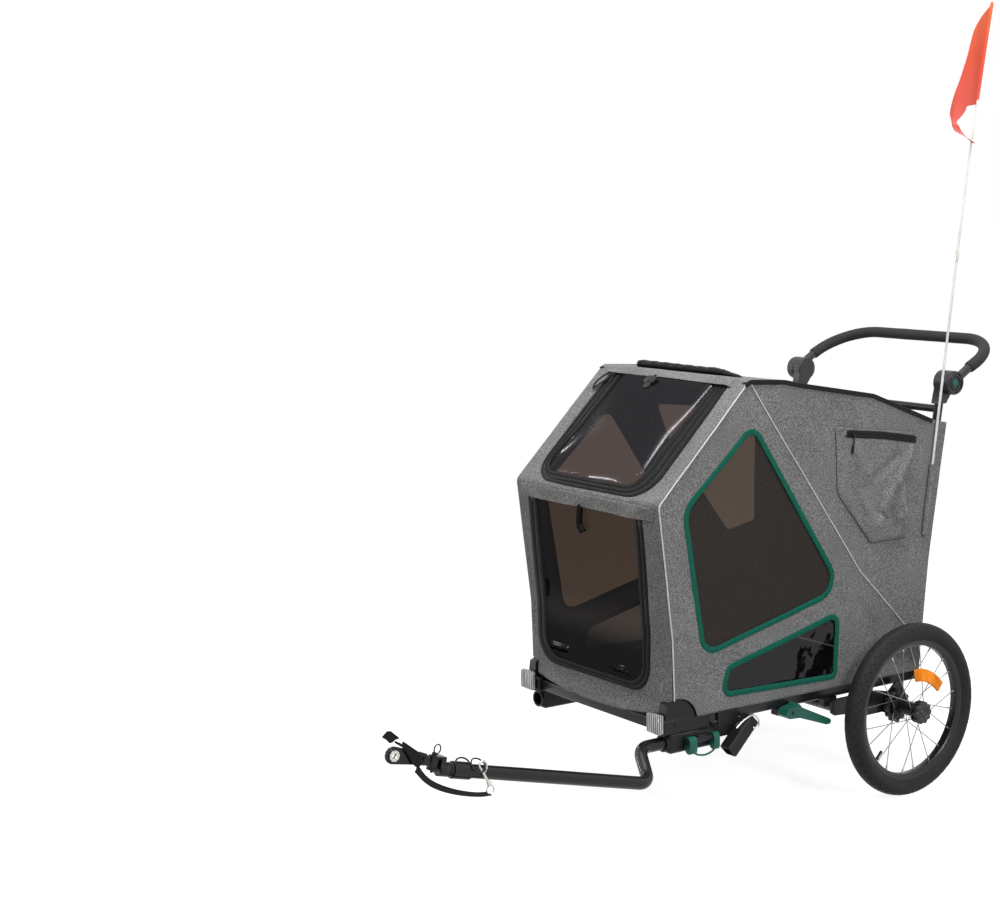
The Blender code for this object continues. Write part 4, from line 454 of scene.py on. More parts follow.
CLOTH = heather("heather_cloth", 0.4, 0.065)
CLOTH_LIGHT = heather("heather_cloth_front", 0.4, 0.065, (1.0, 0.985, 0.98), 4.0)
GREEN_TAPE = webbing("green_binding", (0.008, 0.125, 0.085), 500, 0.8)
BLACK_TAPE = webbing("black_binding", (0.0042, 0.0037, 0.0038), 600, 0.45)
ZIP_TAPE = webbing("zip_tape", (0.014, 0.014, 0.014), 900, 0.6)
STRAP_CLOTH = webbing("strap_webbing", (0.012, 0.012, 0.013), 500, 0.6)
MAT_CLOTH = webbing("mat_cloth", (0.018, 0.018, 0.019), 400, 0.7)
PIPING = webbing("reflective_piping", (0.9, 0.89, 0.86), 1200, 0.35, 0.06)


# %% [markdown]
# ### See-through sheets
#
# The side windows are a fine net behind a smoky film. A net is mostly holes, so it
# lets part of the light straight through: a transparent shader with a brown tint,
# mixed with a dark gloss that gives the sheet its reflections.


# %% Films and nets
# The paler body colour of a band on the lower window's film: a painted sheen.
PAINTED_SHEEN = (0.026, 0.023, 0.021)


def see_through(name, tint, body, gloss=0.02, rough=0.08, net=0.0, net_pitch=1000.0, ripple=0.0, shade=None):
    """Light straight through with a tint, plus a matt body, plus a small fixed share of
    mirrored light, so that the sheet stays dark at flat angles too. With 'shade' the
    tint is darker below a height, a painted shade, and the body is paler in a band
    there, a painted sheen."""
    f = Finish(name, body, 0.6, spec=0.0)
    f.tree.links.remove(f.out.inputs["Surface"].links[0])
    mirrored = f.node("BsdfGlossy", {"Color": (gloss, gloss, gloss * 1.06, 1.0), "Roughness": rough})
    clear = f.node("BsdfTransparent", {"Color": opaque(tint)})
    if net:
        colour = f.mix(f.scaled(f.wave(net_pitch, direction="Z"), net), tint, times(tint, 0.45))
        # Painted shade below a height: the tint is dimmed there, and the body is paler in a band, a painted
        # sheen.
        if shade:
            low, high, dim = shade
            up = f.height()
            part, band = (f.node("MapRange", {"Value": up, "From Min": a, "From Max": b}).outputs[0]
                          for a, b in ((low, high), (low - 0.04, high + 0.05)))
            colour = f.mix(part, times(tint, dim), colour)
            f.put("Base Color", f.ramp(band, [(0.25, body), (0.55, PAINTED_SHEEN), (0.95, body)]))
        feed(f.tree, clear.inputs["Color"], colour)
    dull = f.node("AddShader", {0: clear.outputs[0], 1: f.shader.outputs[0]})
    glossy = f.node("AddShader", {0: dull.outputs[0], 1: mirrored.outputs[0]})
    feed(f.tree, f.out.inputs["Surface"], glossy.outputs[0])
    if ripple:
        f.bump(f.noise(18, detail=1.5), ripple)
        feed(f.tree, mirrored.inputs["Normal"], f.shader.inputs["Normal"].links[0].from_socket)
    return f.mat


SIDE_NET = see_through("side_window_net", (0.26, 0.215, 0.18), (0.044, 0.038, 0.034), 0.003, 0.3, 0.45, 85)
LOW_FILM = see_through("low_window_film", (0.19, 0.17, 0.17), (0.004, 0.0035, 0.0035), 0.03, 0.07,
                       ripple=0.01)
# The lower window's film has painted shade below 0.4 m and a painted sheen in a band about 0.45 m high.
FRONT_FILM = see_through("front_window_film", (0.19, 0.15, 0.115), (0.003, 0.0025, 0.0025), 0.01, 0.11, 0.45,
                         75, 0.0, (0.4, 0.47, 0.08))
SLOPE_FILM = see_through("slope_window_film", (0.25, 0.205, 0.19), (0.0075, 0.0062, 0.0075), 0.02, 0.13)


# %% [markdown]
# ### Hard finishes
#
# Powder-coated steel has a fine orange peel, moulded plastic a faint grain, foam a
# soft open skin, rubber a dull sheen. Each is a colour, a roughness that varies a
# little, and a bump at the right scale.


# %% Paint, plastic, rubber and metal
def hard(name, colour, rough, metal=0.0, grain=400, depth=0.00006, spec=0.5):
    """Paint, plastic or metal: roughness and colour vary in slow blotches, and a fine
    noise gives the grain."""
    f = Finish(name, colour, rough, metal, spec)
    blotch = f.noise(14)
    f.put("Roughness", f.sum(rough * 0.875, f.scaled(blotch, rough * 0.25)))
    f.put("Base Color", f.ramp(blotch, [(0.3, times(colour, 0.88)), (0.7, times(colour, 1.12))]))
    return f.bump(f.noise(grain, detail=3.0), depth).mat


STEEL_PAINT = hard("black_powder_coat", (0.011, 0.0105, 0.012), 0.24, grain=900, depth=0.00004, spec=0.34)
PLASTIC = hard("black_moulded_plastic", (0.012, 0.012, 0.0125), 0.42, grain=1400, depth=0.00006, spec=0.25)
GREY_PLASTIC = hard("dark_grey_plastic", (0.028, 0.027, 0.031), 0.34, grain=1400, spec=0.4)
GREEN_PLASTIC = hard("green_plastic", (0.01, 0.115, 0.082), 0.36, grain=1200, spec=0.35)
FOAM = hard("handle_foam", (0.036, 0.033, 0.035), 0.72, grain=520, depth=0.00022, spec=0.2)
PLATED = hard("plated_steel", (0.62, 0.6, 0.56), 0.22, 1.0, grain=300, depth=0.00002)
RIM_BLACK = hard("black_rim", (0.01, 0.0095, 0.0105), 0.26, grain=700, depth=0.00002, spec=0.42)
SPOKE_STEEL = hard("spoke_steel", (0.3, 0.3, 0.3), 0.3, 1.0, grain=300, depth=0.00001)
POLE_FINISH = hard("fibre_rod_white", (0.8, 0.79, 0.74), 0.45, grain=600, depth=0.00003)
TRAY_BOARD = hard("floor_board", (0.02, 0.02, 0.021), 0.6, grain=300)


def rubber():
    """Black where the tread is cut, a painted shade in the grooves, and dusty on the
    raised parts: the mesh carries how deep the cut is as the attribute 'groove'."""
    f = Finish("tyre_rubber", (0.02, 0.019, 0.02), 0.66, spec=0.22)
    dust = f.noise(40, detail=4.0, rough=0.7)
    raised = f.ramp(dust, [(0.3, (0.016, 0.015, 0.016)), (0.75, (0.03, 0.028, 0.029))])
    # Painted shade: the colour darkens with the depth of the cut, for the shade in the grooves.
    cut = f.node("Attribute", attribute_name="groove").outputs["Fac"]
    f.put("Base Color", f.mix(f.scaled(cut, 0.6), raised, grey(0.005)))
    f.put("Roughness", f.ramp(dust, [(0.3, grey(0.58)), (0.8, grey(0.75))]))
    return f.bump(f.noise(1500), 0.00012).mat


def amber():
    """Ribbed orange plastic with a painted glow, a little light of its own, for what
    it throws back.
    """
    f = Finish("amber_reflector", (0.95, 0.27, 0.006), 0.25, spec=0.2, Emission_Strength=0.18,
               Emission_Color=(1.0, 0.31, 0.01, 1.0))
    bands = f.noise(60, f.at((1, 1, 0.15)), 1.0)
    f.put("Base Color", f.ramp(bands, [(0.35, (0.58, 0.14, 0.003)), (0.6, (0.86, 0.27, 0.01))]))
    return f.mat


def clear_lens():
    """Upright prisms behind clear plastic: bright and dark stripes 6 mm apart, painted
    reflections of the prisms in the colour.
    """
    f = Finish("clear_reflector", (0.45, 0.46, 0.49), 0.18, 0.35, Coat_Weight=0.4)
    ribs = f.wave(100, f.at((1, 1, 0.03)), "DIAGONAL", 0.5)
    # Painted reflections: the colour runs from nearly black to bright along the prisms.
    f.put("Base Color", f.ramp(f.scaled(f.scaled(ribs, 0.7), f.noise(70, f.at((1, 1, 0.3)), 1.0)),
                               [(0.02, (0.1, 0.1, 0.11)), (0.22, (0.3, 0.31, 0.33)),
                                (0.42, (0.8, 0.81, 0.84))]))
    return f.bump(ribs, 0.0008, 0.6).mat


def pennant_cloth():
    """Nylon that lets light through, as painted light: a faint glow, and a colour by
    height that is painted lighter orange at the sunny top and pinker in the thin tail.
    """
    f = Finish("pennant_nylon", (0.8, 0.12, 0.07), 0.6, spec=0.2, Emission_Strength=0.08,
               Emission_Color=(0.9, 0.12, 0.05, 1.0))
    # Painted light: the colour by height is lighter orange at the top and pinker in the tail.
    f.put("Base Color", f.ramp(f.scaled(f.sum(f.height(), 1.5, "SUBTRACT"), 3.1),
                               [(0.0, (0.84, 0.2, 0.19)), (0.3, (0.8, 0.125, 0.095)),
                                (0.62, (0.8, 0.11, 0.06)), (1.0, (0.84, 0.185, 0.075))]))
    weave = f.sum(f.wave(700, direction="Z"), f.wave(700, direction="Y"))
    return f.bump(weave, 0.0002, 0.6).mat


RUBBER = rubber()
AMBER = amber()
LENS = clear_lens()
PENNANT = pennant_cloth()
print("finishes:", len(bpy.data.materials))

# %% [markdown]
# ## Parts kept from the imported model
#
# Many hard parts already have the right shape: castings, hinges, hitch pieces. They
# need only a smooth skin, so each gets a copy whose loose triangles are merged, whose
# flat areas are joined again and whose sharp edges get a fine bevel. The bevel
# catches a line of light, as the radius of a real moulding does.


# %% Smoothed copies
def refined(node, finish, body, bevel=0.0006):
    """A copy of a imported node: welded, its flat areas joined, its edges bevelled."""
    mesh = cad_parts[node].data.copy()
    bm = bmesh.new()
    bm.from_mesh(mesh)
    bmesh.ops.remove_doubles(bm, verts=bm.verts, dist=WELD)
    bmesh.ops.dissolve_limit(bm, angle_limit=math.radians(0.6), verts=bm.verts, edges=bm.edges)
    bm.to_mesh(mesh)
    bm.free()
    mesh.shade_smooth()
    mesh.set_sharp_from_angle(angle=math.radians(34))
    mesh.materials.clear()
    mesh.materials.append(finish)
    obj = bpy.data.objects.new(node + "_finish", mesh)
    bpy.context.scene.collection.objects.link(obj)
    if bevel:
        m = obj.modifiers.new("edge", "BEVEL")
        m.width, m.segments = bevel, 2
        m.limit_method, m.angle_limit = "ANGLE", math.radians(42)
        m.harden_normals = m.use_clamp_overlap = True
    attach(obj, body)
    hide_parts(node)
    MADE.append(obj.name)
    return obj


for side, hand in zip("LR", ("left", "right")):
    refined("corner_casting_" + side, PLASTIC, "chassis")
    refined("drawbar_receiver_" + side, PLASTIC, "chassis")
    refined("front_reflector_" + side, LENS, "chassis", 0.0012)
    refined("hinge_housing_" + side, GREY_PLASTIC, "rear_posts", 0.0008)
    refined("hinge_button_" + side, GREEN_PLASTIC, "handle_button_" + hand)
for row in (("base_frame", STEEL_PAINT, "chassis", 0.0012),
            ("front_crossbar", STEEL_PAINT, "chassis", 0.0012), ("axle_beam", STEEL_PAINT, "chassis", 0.0005),
            ("floor_tray", TRAY_BOARD, "chassis", 0.001), ("brake_bracket", PLASTIC, "chassis"),
            ("brake_pedal", GREEN_PLASTIC, "pedal", 0.0009), ("accessory_socket", PLASTIC, "chassis", 0.0008),
            ("drawbar_sleeve", STEEL_PAINT, "drawbar"), ("swivel_stem", STEEL_PAINT, "swivel"),
            ("hitch_knuckle", STEEL_PAINT, "knuckle"), ("hitch_plate", STEEL_PAINT, "hitch", 0.0009),
            ("hitch_nut", PLATED, "hitch", 0.0003), ("hitch_pin", STEEL_PAINT, "hitch_pin", 0.0)):
    refined(*row)
print("smoothed copies:", len(MADE))

# %% [markdown]
# ## Wheels
#
# Each wheel is a black box-section rim, twenty crossed steel spokes, a hub with two
# flanges, and on its inner side a toothed disc that the parking brake's pin drops
# into. Turned shapes are profiles swept round the axle. Spokes are thin rods whose
# feet lie on the flange circle and are turned forwards and backwards in turn.

# %% Wheel sizes
TRACK, WHEEL_Z = 0.3193, 0.203
TYRE_R, TYRE_HALF, BEAD_R = 0.203, 0.023, 0.161
RIM_HALF, WELL_R = 0.0135, 0.1511
FLANGE_R, HUB_IN, HUB_OUT = 0.026, -0.0445, 0.034
LACE, SPOKES = math.radians(38), 20
WHEEL_C = np.array([TRACK, 0.0, WHEEL_Z])
WHEELS, CAPS, BASE = ("wheel_left", "wheel_right"), ("cap_left", "cap_right"), ("chassis", "chassis")


# %% [markdown]
# ### Tyre
#
# The tyre is a ring swept from a round section. Its tread is cut into the same
# surface: the depth at a point depends on how far round and how far from the crown it
# lies, so that bars slant outwards over the shoulders and a zig-zag runs between
# them and the smooth middle.


# %% Tyre with its tread
def tyre_surface():
    """Section: an arc of angle a from the crown, half as wide as the tyre, pulled in
    at the beads. Depth: bars repeat every 1/104 turn, slanted by the distance from the
    crown, and a zig-zag groove swings about 0.76 of the half width."""
    around, across, tread, crown = 900, 46, 0.0015, 0.0215
    t = np.arange(around)[:, None] / around
    a = np.linspace(-1, 1, across)[None, :]
    angle = a * math.radians(128)
    bead = held((np.abs(a) - 0.78) / 0.22)
    half = TYRE_HALF * np.sin(np.clip(angle, -1.742, 1.742)) * (1 - 0.53 * bead ** 1.3)
    radius = TYRE_R - crown + crown * np.cos(np.clip(angle, -1.742, 1.742))
    radius = radius - (radius - BEAD_R - 0.0006) * bead ** 0.9
    reach = np.abs(half) / TYRE_HALF
    swing = 0.76 + 0.17 * (2 * np.abs(((t * 52 + 0.2) % 1.0) - 0.5) * 2 - 1)
    bars = (t * 104 + 1.2 * reach) % 1.0
    bar_cut = held(1 - np.abs(bars - 0.5) / 0.2) ** 0.6
    shoulder = held((reach - swing) / 0.05) * held((1.02 - reach) / 0.05) * (np.abs(a) < 0.64)
    zig = held(1.4 - np.abs(reach - swing) / 0.05) * (np.abs(a) < 0.62)
    middle_cut = held(1 - np.abs(reach - 0.14) / 0.035) * 0.6 * (np.abs(a) < 0.3)
    depth = tread * np.maximum(np.maximum(bar_cut * shoulder * 0.5, zig), middle_cut)
    ribs = 0.0005 * np.exp(-((np.abs(a) - 0.83) / 0.02) ** 2)
    out_x, out_r = np.sin(angle), np.cos(angle) * (bead < 0.01)
    points = round_axle(half - depth * out_x + ribs * np.sign(a), radius - depth * out_r,
                        2 * math.pi * t) + WHEEL_C
    return points, grid_faces(around, across, True, True), (depth / tread).reshape(-1)


tyre_points, tyre_faces, groove = tyre_surface()
both("tyre_tread", (tyre_points, tyre_faces), RUBBER, WHEELS, ["tyre"], "tyre", sharp=40)
# The depth of the cut is stored as 'groove'; the rubber uses it for painted shade in the grooves.
for side in "LR":
    mesh = bpy.data.objects["tyre_tread_" + side].data
    mesh.attributes.new("groove", "FLOAT", "POINT").data.foreach_set("value", groove.astype(np.float32))


# %% [markdown]
# ### Rim, spokes and hub
#
# The rim's section has two hooked walls and a rounded bed. Each spoke is a straight
# rod from the flange circle to a bright nipple at the rim.


# %% Rods between two points
def rods(starts, ends, radius, sides=10, radius_end=None):
    """Many straight rods at once: each a ring of points about both of its ends."""
    p, q = np.asarray(starts, float), np.asarray(ends, float)
    d = unit(q - p)
    side = unit(np.cross(d, np.where(np.abs(d[:, :1]) < 0.9, (1.0, 0, 0), (0, 1.0, 0))))[:, None]
    over = np.cross(d, side[:, 0])[:, None]
    t = circle(sides)[None, :, None]
    ringed = side * np.cos(t) + over * np.sin(t)
    points = np.stack([p[:, None] + ringed * radius, q[:, None] + ringed * (radius_end or radius)], 1)
    first = np.arange(len(p))[:, None] * 2 * sides
    low, high = first + np.arange(sides), first + sides + np.arange(sides)
    quads = np.stack([low, np.roll(low, -1, 1), np.roll(high, -1, 1), high], -1).reshape(-1, 4)
    return points.reshape(-1, 3), quads.tolist() + low[:, ::-1].tolist() + high.tolist()


def rim_surface():
    """Two walls 27 mm apart, hooked at the top, and a bed that narrows to 15 mm."""
    w = RIM_HALF
    outline = [(-w, BEAD_R + 0.005), (-w + 0.001, BEAD_R + 0.0058), (-w + 0.0021, BEAD_R + 0.005),
               (-w + 0.0023, BEAD_R - 0.0006), (w - 0.0023, BEAD_R - 0.0006), (w - 0.0021, BEAD_R + 0.005),
               (w - 0.001, BEAD_R + 0.0058), (w, BEAD_R + 0.005), (w * 0.97, BEAD_R - 0.003),
               (w * 0.72, WELL_R + 0.0012), (w * 0.55, WELL_R - 0.0002), (-w * 0.55, WELL_R - 0.0002),
               (-w * 0.72, WELL_R + 0.0012), (-w * 0.97, BEAD_R - 0.003)]
    return turn_round(outline, WHEEL_C, 180)


def spoke_ends():
    """Feet on the flange circle, heads on the rim: foot angle = head angle, turned by
    the lacing angle forwards or backwards."""
    i = np.arange(SPOKES)
    outer = i % 2 == 0
    lead = np.where((i // 2) % 2 == 0, 1.0, -1.0)
    x_hub = np.where(outer, HUB_OUT - 0.00825, HUB_IN + 0.01675) + 0.0022 * lead * np.where(outer, 1, -1)
    head = 2 * math.pi * (i + 0.5) / SPOKES
    foot = head - lead * LACE
    r0, r1 = FLANGE_R - 0.004, WELL_R + 0.001
    x_rim = np.where(outer, 0.003, -0.003)
    return round_axle(x_hub, r0, foot) + WHEEL_C, round_axle(x_rim, r1, head) + WHEEL_C


def hub_surface():
    """Barrel and two flanges, each a step in the profile, round the axle."""
    a, b, f, s = HUB_IN, HUB_OUT, FLANGE_R, 0.0155
    outline = [(a, 0.0063), (a, 0.0175), (a + 0.001, 0.0185), (a + 0.014, s), (a + 0.0148, f - 0.0012),
               (a + 0.0158, f), (a + 0.0182, f), (a + 0.0192, f - 0.0012), (a + 0.0205, s), (b - 0.0115, s),
               (b - 0.0102, f - 0.0012), (b - 0.0092, f), (b - 0.0068, f), (b - 0.0058, f - 0.0012),
               (b - 0.005, 0.0135), (b + 0.0025, 0.0135), (b + 0.0035, 0.0125), (b + 0.0035, 0.0063)]
    return turn_round(outline, WHEEL_C, 72)


def toothed_disc():
    """Radius swings between 34 and 39 mm twelve times round, with flat tips. The disc
    is 12 mm deep and its outer face is dished between a rim and a boss."""
    t = circle(288)
    r = 0.0365 + 0.0025 * np.clip(np.cos(12 * t) * 2.2, -1, 1)
    layers = [(0.0, r - 0.0007), (0.0007, r), (0.01, r), (0.0112, r - 0.001), (0.0116, 0.0315),
              (0.0108, 0.03), (0.007, 0.0285), (0.007, 0.0235), (0.0122, 0.0225), (0.0122, 0.0165),
              (0.0, 0.0165)]
    depth, radius = [x for x, _ in layers], [r_k + 0 * t for _, r_k in layers]
    points = round_axle(HUB_IN + np.array(depth), np.stack(radius, 1), t[:, None]) + WHEEL_C
    return points, grid_faces(len(t), len(layers), True, True)


# %% Build rim, spokes, nipples, hub and disc
spoke_p, spoke_q = spoke_ends()
spoke_d = unit(spoke_q - spoke_p)
both("rim", rim_surface(), RIM_BLACK, WHEELS, ["spoked_wheel"], "spoked", close=True)
nipples = rods(spoke_q - spoke_d * 0.012, spoke_q, 0.0017, 8, 0.0023)
for name, shape, finish, sharp in (("spokes", rods(spoke_p, spoke_q, 0.00105, 12), SPOKE_STEEL, 35),
                                   ("nipples", nipples, PLATED, 35), ("hub", hub_surface(), PLASTIC, 35),
                                   ("parking_disc", toothed_disc(), GREY_PLASTIC, 30)):
    both(name, shape, finish, WHEELS, slot="spoked", sharp=sharp, close=True)
print("spoke length:", round(float(np.linalg.norm(spoke_q - spoke_p, axis=1).mean()), 4))


# %% [markdown]
# ### Press cap, valve and reflector
#
# The cap that frees the wheel has ten lobes for the fingers and a dished middle. The
# valve is a rubber stub at the rim, and the amber reflector is a curved plate whose
# face is ribbed like a roller blind, clipped over two spokes.


# %% Cap, valve and reflector
def lobed_cap():
    """A dome profile whose radius is trimmed by ten scallops that fade out inwards."""
    b = HUB_OUT
    rows = np.array([(b - 0.0015, 0.0142), (b - 0.0015, 0.025), (b - 0.0008, 0.0262), (b + 0.008, 0.0265),
                     (b + 0.0098, 0.0258), (b + 0.0112, 0.024), (b + 0.012, 0.0205), (b + 0.0124, 0.0165),
                     (b + 0.012, 0.0135), (b + 0.01, 0.0118), (b + 0.0092, 0.009), (b + 0.0104, 0.0075),
                     (b + 0.0106, 0.004), (b + 0.0106, 0.0002)])
    t = circle(200)
    fade = held((rows[:, 1] - 0.0135) / 0.01) ** 1.5
    trim = held(0.5 - 0.8 * np.cos(10 * t))[:, None] * 0.0034 * fade[None]
    points = round_axle(rows[:, 0], rows[None, :, 1] - trim, t[:, None]) + WHEEL_C
    inner = [(b - 0.0015, 0.0142), (b + 0.007, 0.0142), (b + 0.007, 0.0002)]
    return merge((points, grid_faces(len(t), len(rows), True, False)),
                 turn_round(inner, WHEEL_C, len(t), closed=False))


def reflector_surface():
    """The middle line is a parabola through three points of the wheel's plane, given
    as (along, outwards) from the axle at 62 degrees. The plate is 29 mm tall, its
    ends are cut square, and its outer face carries upright ribs."""
    mid = math.radians(62)
    u, v = np.meshgrid(np.linspace(-1, 1, 181), np.linspace(-1, 1, 21), indexing="ij")
    one_end, middle, other_end = 0.5 * u * (u - 1), 1 - u * u, 0.5 * u * (u + 1)
    along = one_end * 0.0475 + middle * 0.0005 - other_end * 0.05
    outward = one_end * 0.07 + middle * 0.085 + other_end * 0.0765
    slope = np.gradient(outward[:, 0]) / np.gradient(along[:, 0])
    lean_t, lean_r = (-slope / np.hypot(1, slope))[:, None], (1 / np.hypot(1, slope))[:, None]
    corner = held((np.abs(u) - 0.93) / 0.07)
    tall = 0.0145 * v * (1 - 0.22 * corner ** 2)
    along, outward = along + lean_t * tall, outward + lean_r * tall
    edge = held((1 - np.maximum(np.abs(u), np.abs(v))) / 0.08) ** 0.5
    ribs = np.abs(((u * 11) % 1.0) - 0.5) * 2 * (np.abs(v) < 0.84) * (np.abs(u) < 0.94)
    height = 0.0026 + 0.0022 * edge + 0.0014 * ribs * edge
    tilt = math.atan2(HUB_OUT - 0.00825 - 0.003, WELL_R + 0.004 - FLANGE_R + 0.004)
    base_x = HUB_OUT - 0.00825 - (outward - FLANGE_R) * math.tan(tilt) + 0.0011 + 0.0003
    y, z = outward * math.cos(mid) - along * math.sin(mid), outward * math.sin(mid) + along * math.cos(mid)
    front, rear = (np.stack([x, y, z], -1).reshape(-1, 3) + WHEEL_C for x in (base_x + height, base_x))
    return np.concatenate([front, rear]), slab_faces(*u.shape)


valve_way = round_axle(0.0, 1.0, math.radians(223.6))
VALVE_RODS = ((-0.02, 0.002, 0.003, 0.0034), (-0.027, -0.019, 0.0034, 0.0036))
valve_shape = merge(*(rods(*([WHEEL_C + valve_way * (WELL_R + out)] for out in (a, b)), thin, 16, thick)
                      for a, b, thin, thick in VALVE_RODS))
both("press_cap", lobed_cap(), GREY_PLASTIC, CAPS, ["axle_cap"], "black_plastic", close=True)
both("valve", valve_shape, RUBBER, WHEELS, slot="tyre", close=True)
both("amber_plate", reflector_surface(), AMBER, WHEELS, ["wheel_reflector"], "amber", close=True, sharp=25)
print("wheel pieces done:", len(MADE))

# %% [markdown]
# ## Tubes that show
#
# The drawbar, the hoop, the two rear posts and the handle's foam are swept circles:
# a centre line with rounded bends, and a ring of points at each step.

# %% Drawbar, posts, hoop and handle grip
RECEIVER_IN = np.array([0.2235, -0.547, 0.2135])
DRAW_LOW, DRAW_END = np.array([0.3, -0.77, 0.162]), np.array([0.3, -1.262, 0.282])
draw_line = bend([RECEIVER_IN, (0.2235, -0.735, 0.2135), DRAW_LOW, DRAW_END], 0.036, 14)
make("drawbar_paint", tube(even(draw_line, 120), 0.014, 32, up=(1, 0, 0.01)), STEEL_PAINT, "drawbar",
     "drawbar_tube", "black_steel", close=True)

clip_line = flow([(0.292, -0.5174, 0.2378), (0.292, -0.5056, 0.2465), (0.292, -0.4899, 0.2545),
                  (0.292, -0.469, 0.2591), (0.292, -0.4529, 0.2457), (0.291, -0.4519, 0.2309),
                  (0.287, -0.464, 0.228)], 70)
clip_pin = rods([(0.2665, -0.4624, 0.2064)], [(0.2665, -0.4906, 0.2346)], 0.003, 20)
clip_head = rods([(0.2665, -0.4884, 0.2324)], [(0.2665, -0.4912, 0.2352)], 0.0052, 24)
clip_wire = merge(tube(clip_line, 0.0019, 14, up=(1, 0, 0)), clip_pin, clip_head)
make("socket_clip_wire", clip_wire, PLATED, "socket_pin", "socket_lock_pin", "bright", close=True)

POST_X, POST_FOOT, POST_LEAN = 0.2323, np.array([0.074, 0.288]), 0.1518


def on_post(z):
    """Where the leaning post is at a height: its foot plus the lean for each metre up."""
    return POST_FOOT[0] + POST_LEAN * (z - POST_FOOT[1])


def post_shape(sign):
    """A straight tube up the leaning line, with an eye across its foot."""
    foot, top = 0.2905, 0.9145
    line = [(sign * POST_X, on_post(z), z) for z in np.linspace(foot, top, 6)]
    eye_a, eye_b = sign * (POST_X - 0.0113), sign * (POST_X + 0.0103)
    eye = rods([(eye_a, *POST_FOOT)], [(eye_b, *POST_FOOT)], 0.0135, 28)
    return merge(tube(line, 0.0105, 28, up=(1, 0, 0)), eye)


cross = tube([(x, on_post(0.885), 0.885) for x in np.linspace(-POST_X, POST_X, 5)], 0.009, 24)
make("rear_posts_paint", merge(post_shape(1), post_shape(-1), cross), STEEL_PAINT, "rear_posts", "rear_frame",
     "black_steel")

HOOP_X, HOOP_PIVOT = 0.209, (-0.64, 0.262)
HOOP_SIDE = [(-0.6545, 0.4485), (-0.6949, 0.731), (-0.4585, 0.9709)]

# %% [markdown]
# The front hoop is one bent tube with flattened eyes at its feet, where it turns on
# the corner castings. A cross rod ties its two sides behind the front fold, where
# the cloth turns over it.

# %% Front hoop
hoop_corners = [(HOOP_X, *HOOP_PIVOT)] + [(HOOP_X, *p) for p in HOOP_SIDE]
hoop_corners += [(-x, y, z) for x, y, z in hoop_corners[::-1]]
hoop_path = even(bend(hoop_corners, [0.06, 0.035, 0.03, 0.03, 0.035, 0.06], 8), 220)
hoop_eyes = rods([(s * 0.199, *HOOP_PIVOT) for s in (1, -1)], [(s * 0.2195, *HOOP_PIVOT) for s in (1, -1)],
                 0.0135, 28)
fold_y, fold_z = HOOP_SIDE[1][0] + 0.006, HOOP_SIDE[1][1] + 0.0025
fold_rod = tube([(x, fold_y, fold_z) for x in np.linspace(-HOOP_X, HOOP_X, 5)], 0.0085, 20)
make("hoop_paint", merge(tube(hoop_path, 0.01, 24, up=(0, 1, 0.001)), hoop_eyes, fold_rod), STEEL_PAINT,
     "hoop", "front_hoop", "black_steel")

# %% [markdown]
# ### Foam grip
#
# The push handle's foam is a soft sleeve over a bent bar. Foam is never quite round,
# so the radius wavers by a few tenths of a millimetre, and its ends are tucked in.
# The bar inside it is left out where the foam hides it.

# %% Foam grip
HINGE = np.array([0.0, 0.1846, 0.9475])
HANDLE_X, RISE = 0.2561, math.radians(30.7)
ARM = np.array([0.0, math.cos(RISE), math.sin(RISE)])


def grip_shape():
    """Radius = 13.6 mm, with a small waver along the bar, falling away over the last
    4 mm at both ends."""
    start = HINGE + ARM * 0.0639
    far = start + np.array([0.0, math.cos(RISE - 0.09), math.sin(RISE - 0.09)]) * 0.1342
    side = np.array([HANDLE_X, 0, 0])
    line = even(bend([start + side, far + side, far - side, start - side], 0.112, 18), 260)
    run = np.linspace(0, 1, len(line))
    length = float(np.linalg.norm(np.diff(line, axis=0), axis=1).sum())
    near_end = np.minimum(run, 1 - run) * length
    tuck = 0.0136 - 0.0016 * np.exp(-near_end / 0.0012)
    return tube(line, tuck + 0.00022 * np.sin(run * 41) * np.sin(run * 17 + 1), 36, up=(0, 0.5, -0.85))


def arm_sleeves():
    """A moulded sleeve on each arm between hub and foam: 21 mm thick, with a bead at
    its lower end and a step where the foam begins."""
    run = np.array([0.02, 0.0235, 0.0238, 0.0262, 0.0266, 0.06, 0.0606, 0.0636])
    thick = np.array([0.0098, 0.0104, 0.0112, 0.0112, 0.0104, 0.0102, 0.0108, 0.0106])
    return merge(*(tube(HINGE + ARM * run[:, None] + (x, 0, 0), thick, 32, up=(1, 0, 0))
                   for x in (HANDLE_X, -HANDLE_X)))


def hub_rims():
    """Two raised circles on the outer face of each hub: closed profiles turned about
    the hinge."""
    x = np.array([0.2655, 0.267, 0.267, 0.2655])
    return merge(*(turn_round(np.stack([x * sign, [low, low + 0.0006, high - 0.0006, high]], -1), HINGE, 72)
                   for sign in (1, -1) for low, high in ((0.0228, 0.0268), (0.015, 0.0166))))


bar = refined("handle_bar", GREY_PLASTIC, "push_handle").data
bm = bmesh.new()
bm.from_mesh(bar)
bmesh.ops.bisect_plane(bm, geom=bm.verts[:] + bm.edges[:] + bm.faces[:],
                       plane_co=HINGE + ARM * 0.07 + (0, AXLE_Y, 0), plane_no=ARM, clear_outer=True)
bm.to_mesh(bar)
bm.free()
make("foam_grip", grip_shape(), FOAM, "push_handle", "handle_grip", "foam")
for name, shape in (("arm_sleeves", arm_sleeves()), ("hub_rims", hub_rims())):
    make(name, shape, GREY_PLASTIC, "push_handle", slot="black_plastic", close=True)

# %% [markdown]
# ## The cloth cabin: side walls
#
# Each side wall is one flat piece of heather cloth, hemmed at the bottom, cut away
# over the corner casting and over two windows. It is made as a patch between its four
# edges, so rows of faces run along the edges. Its depth is a sum of shallow folds:
# each fold is a ridge along a line, whose height falls off as a bell to both sides.

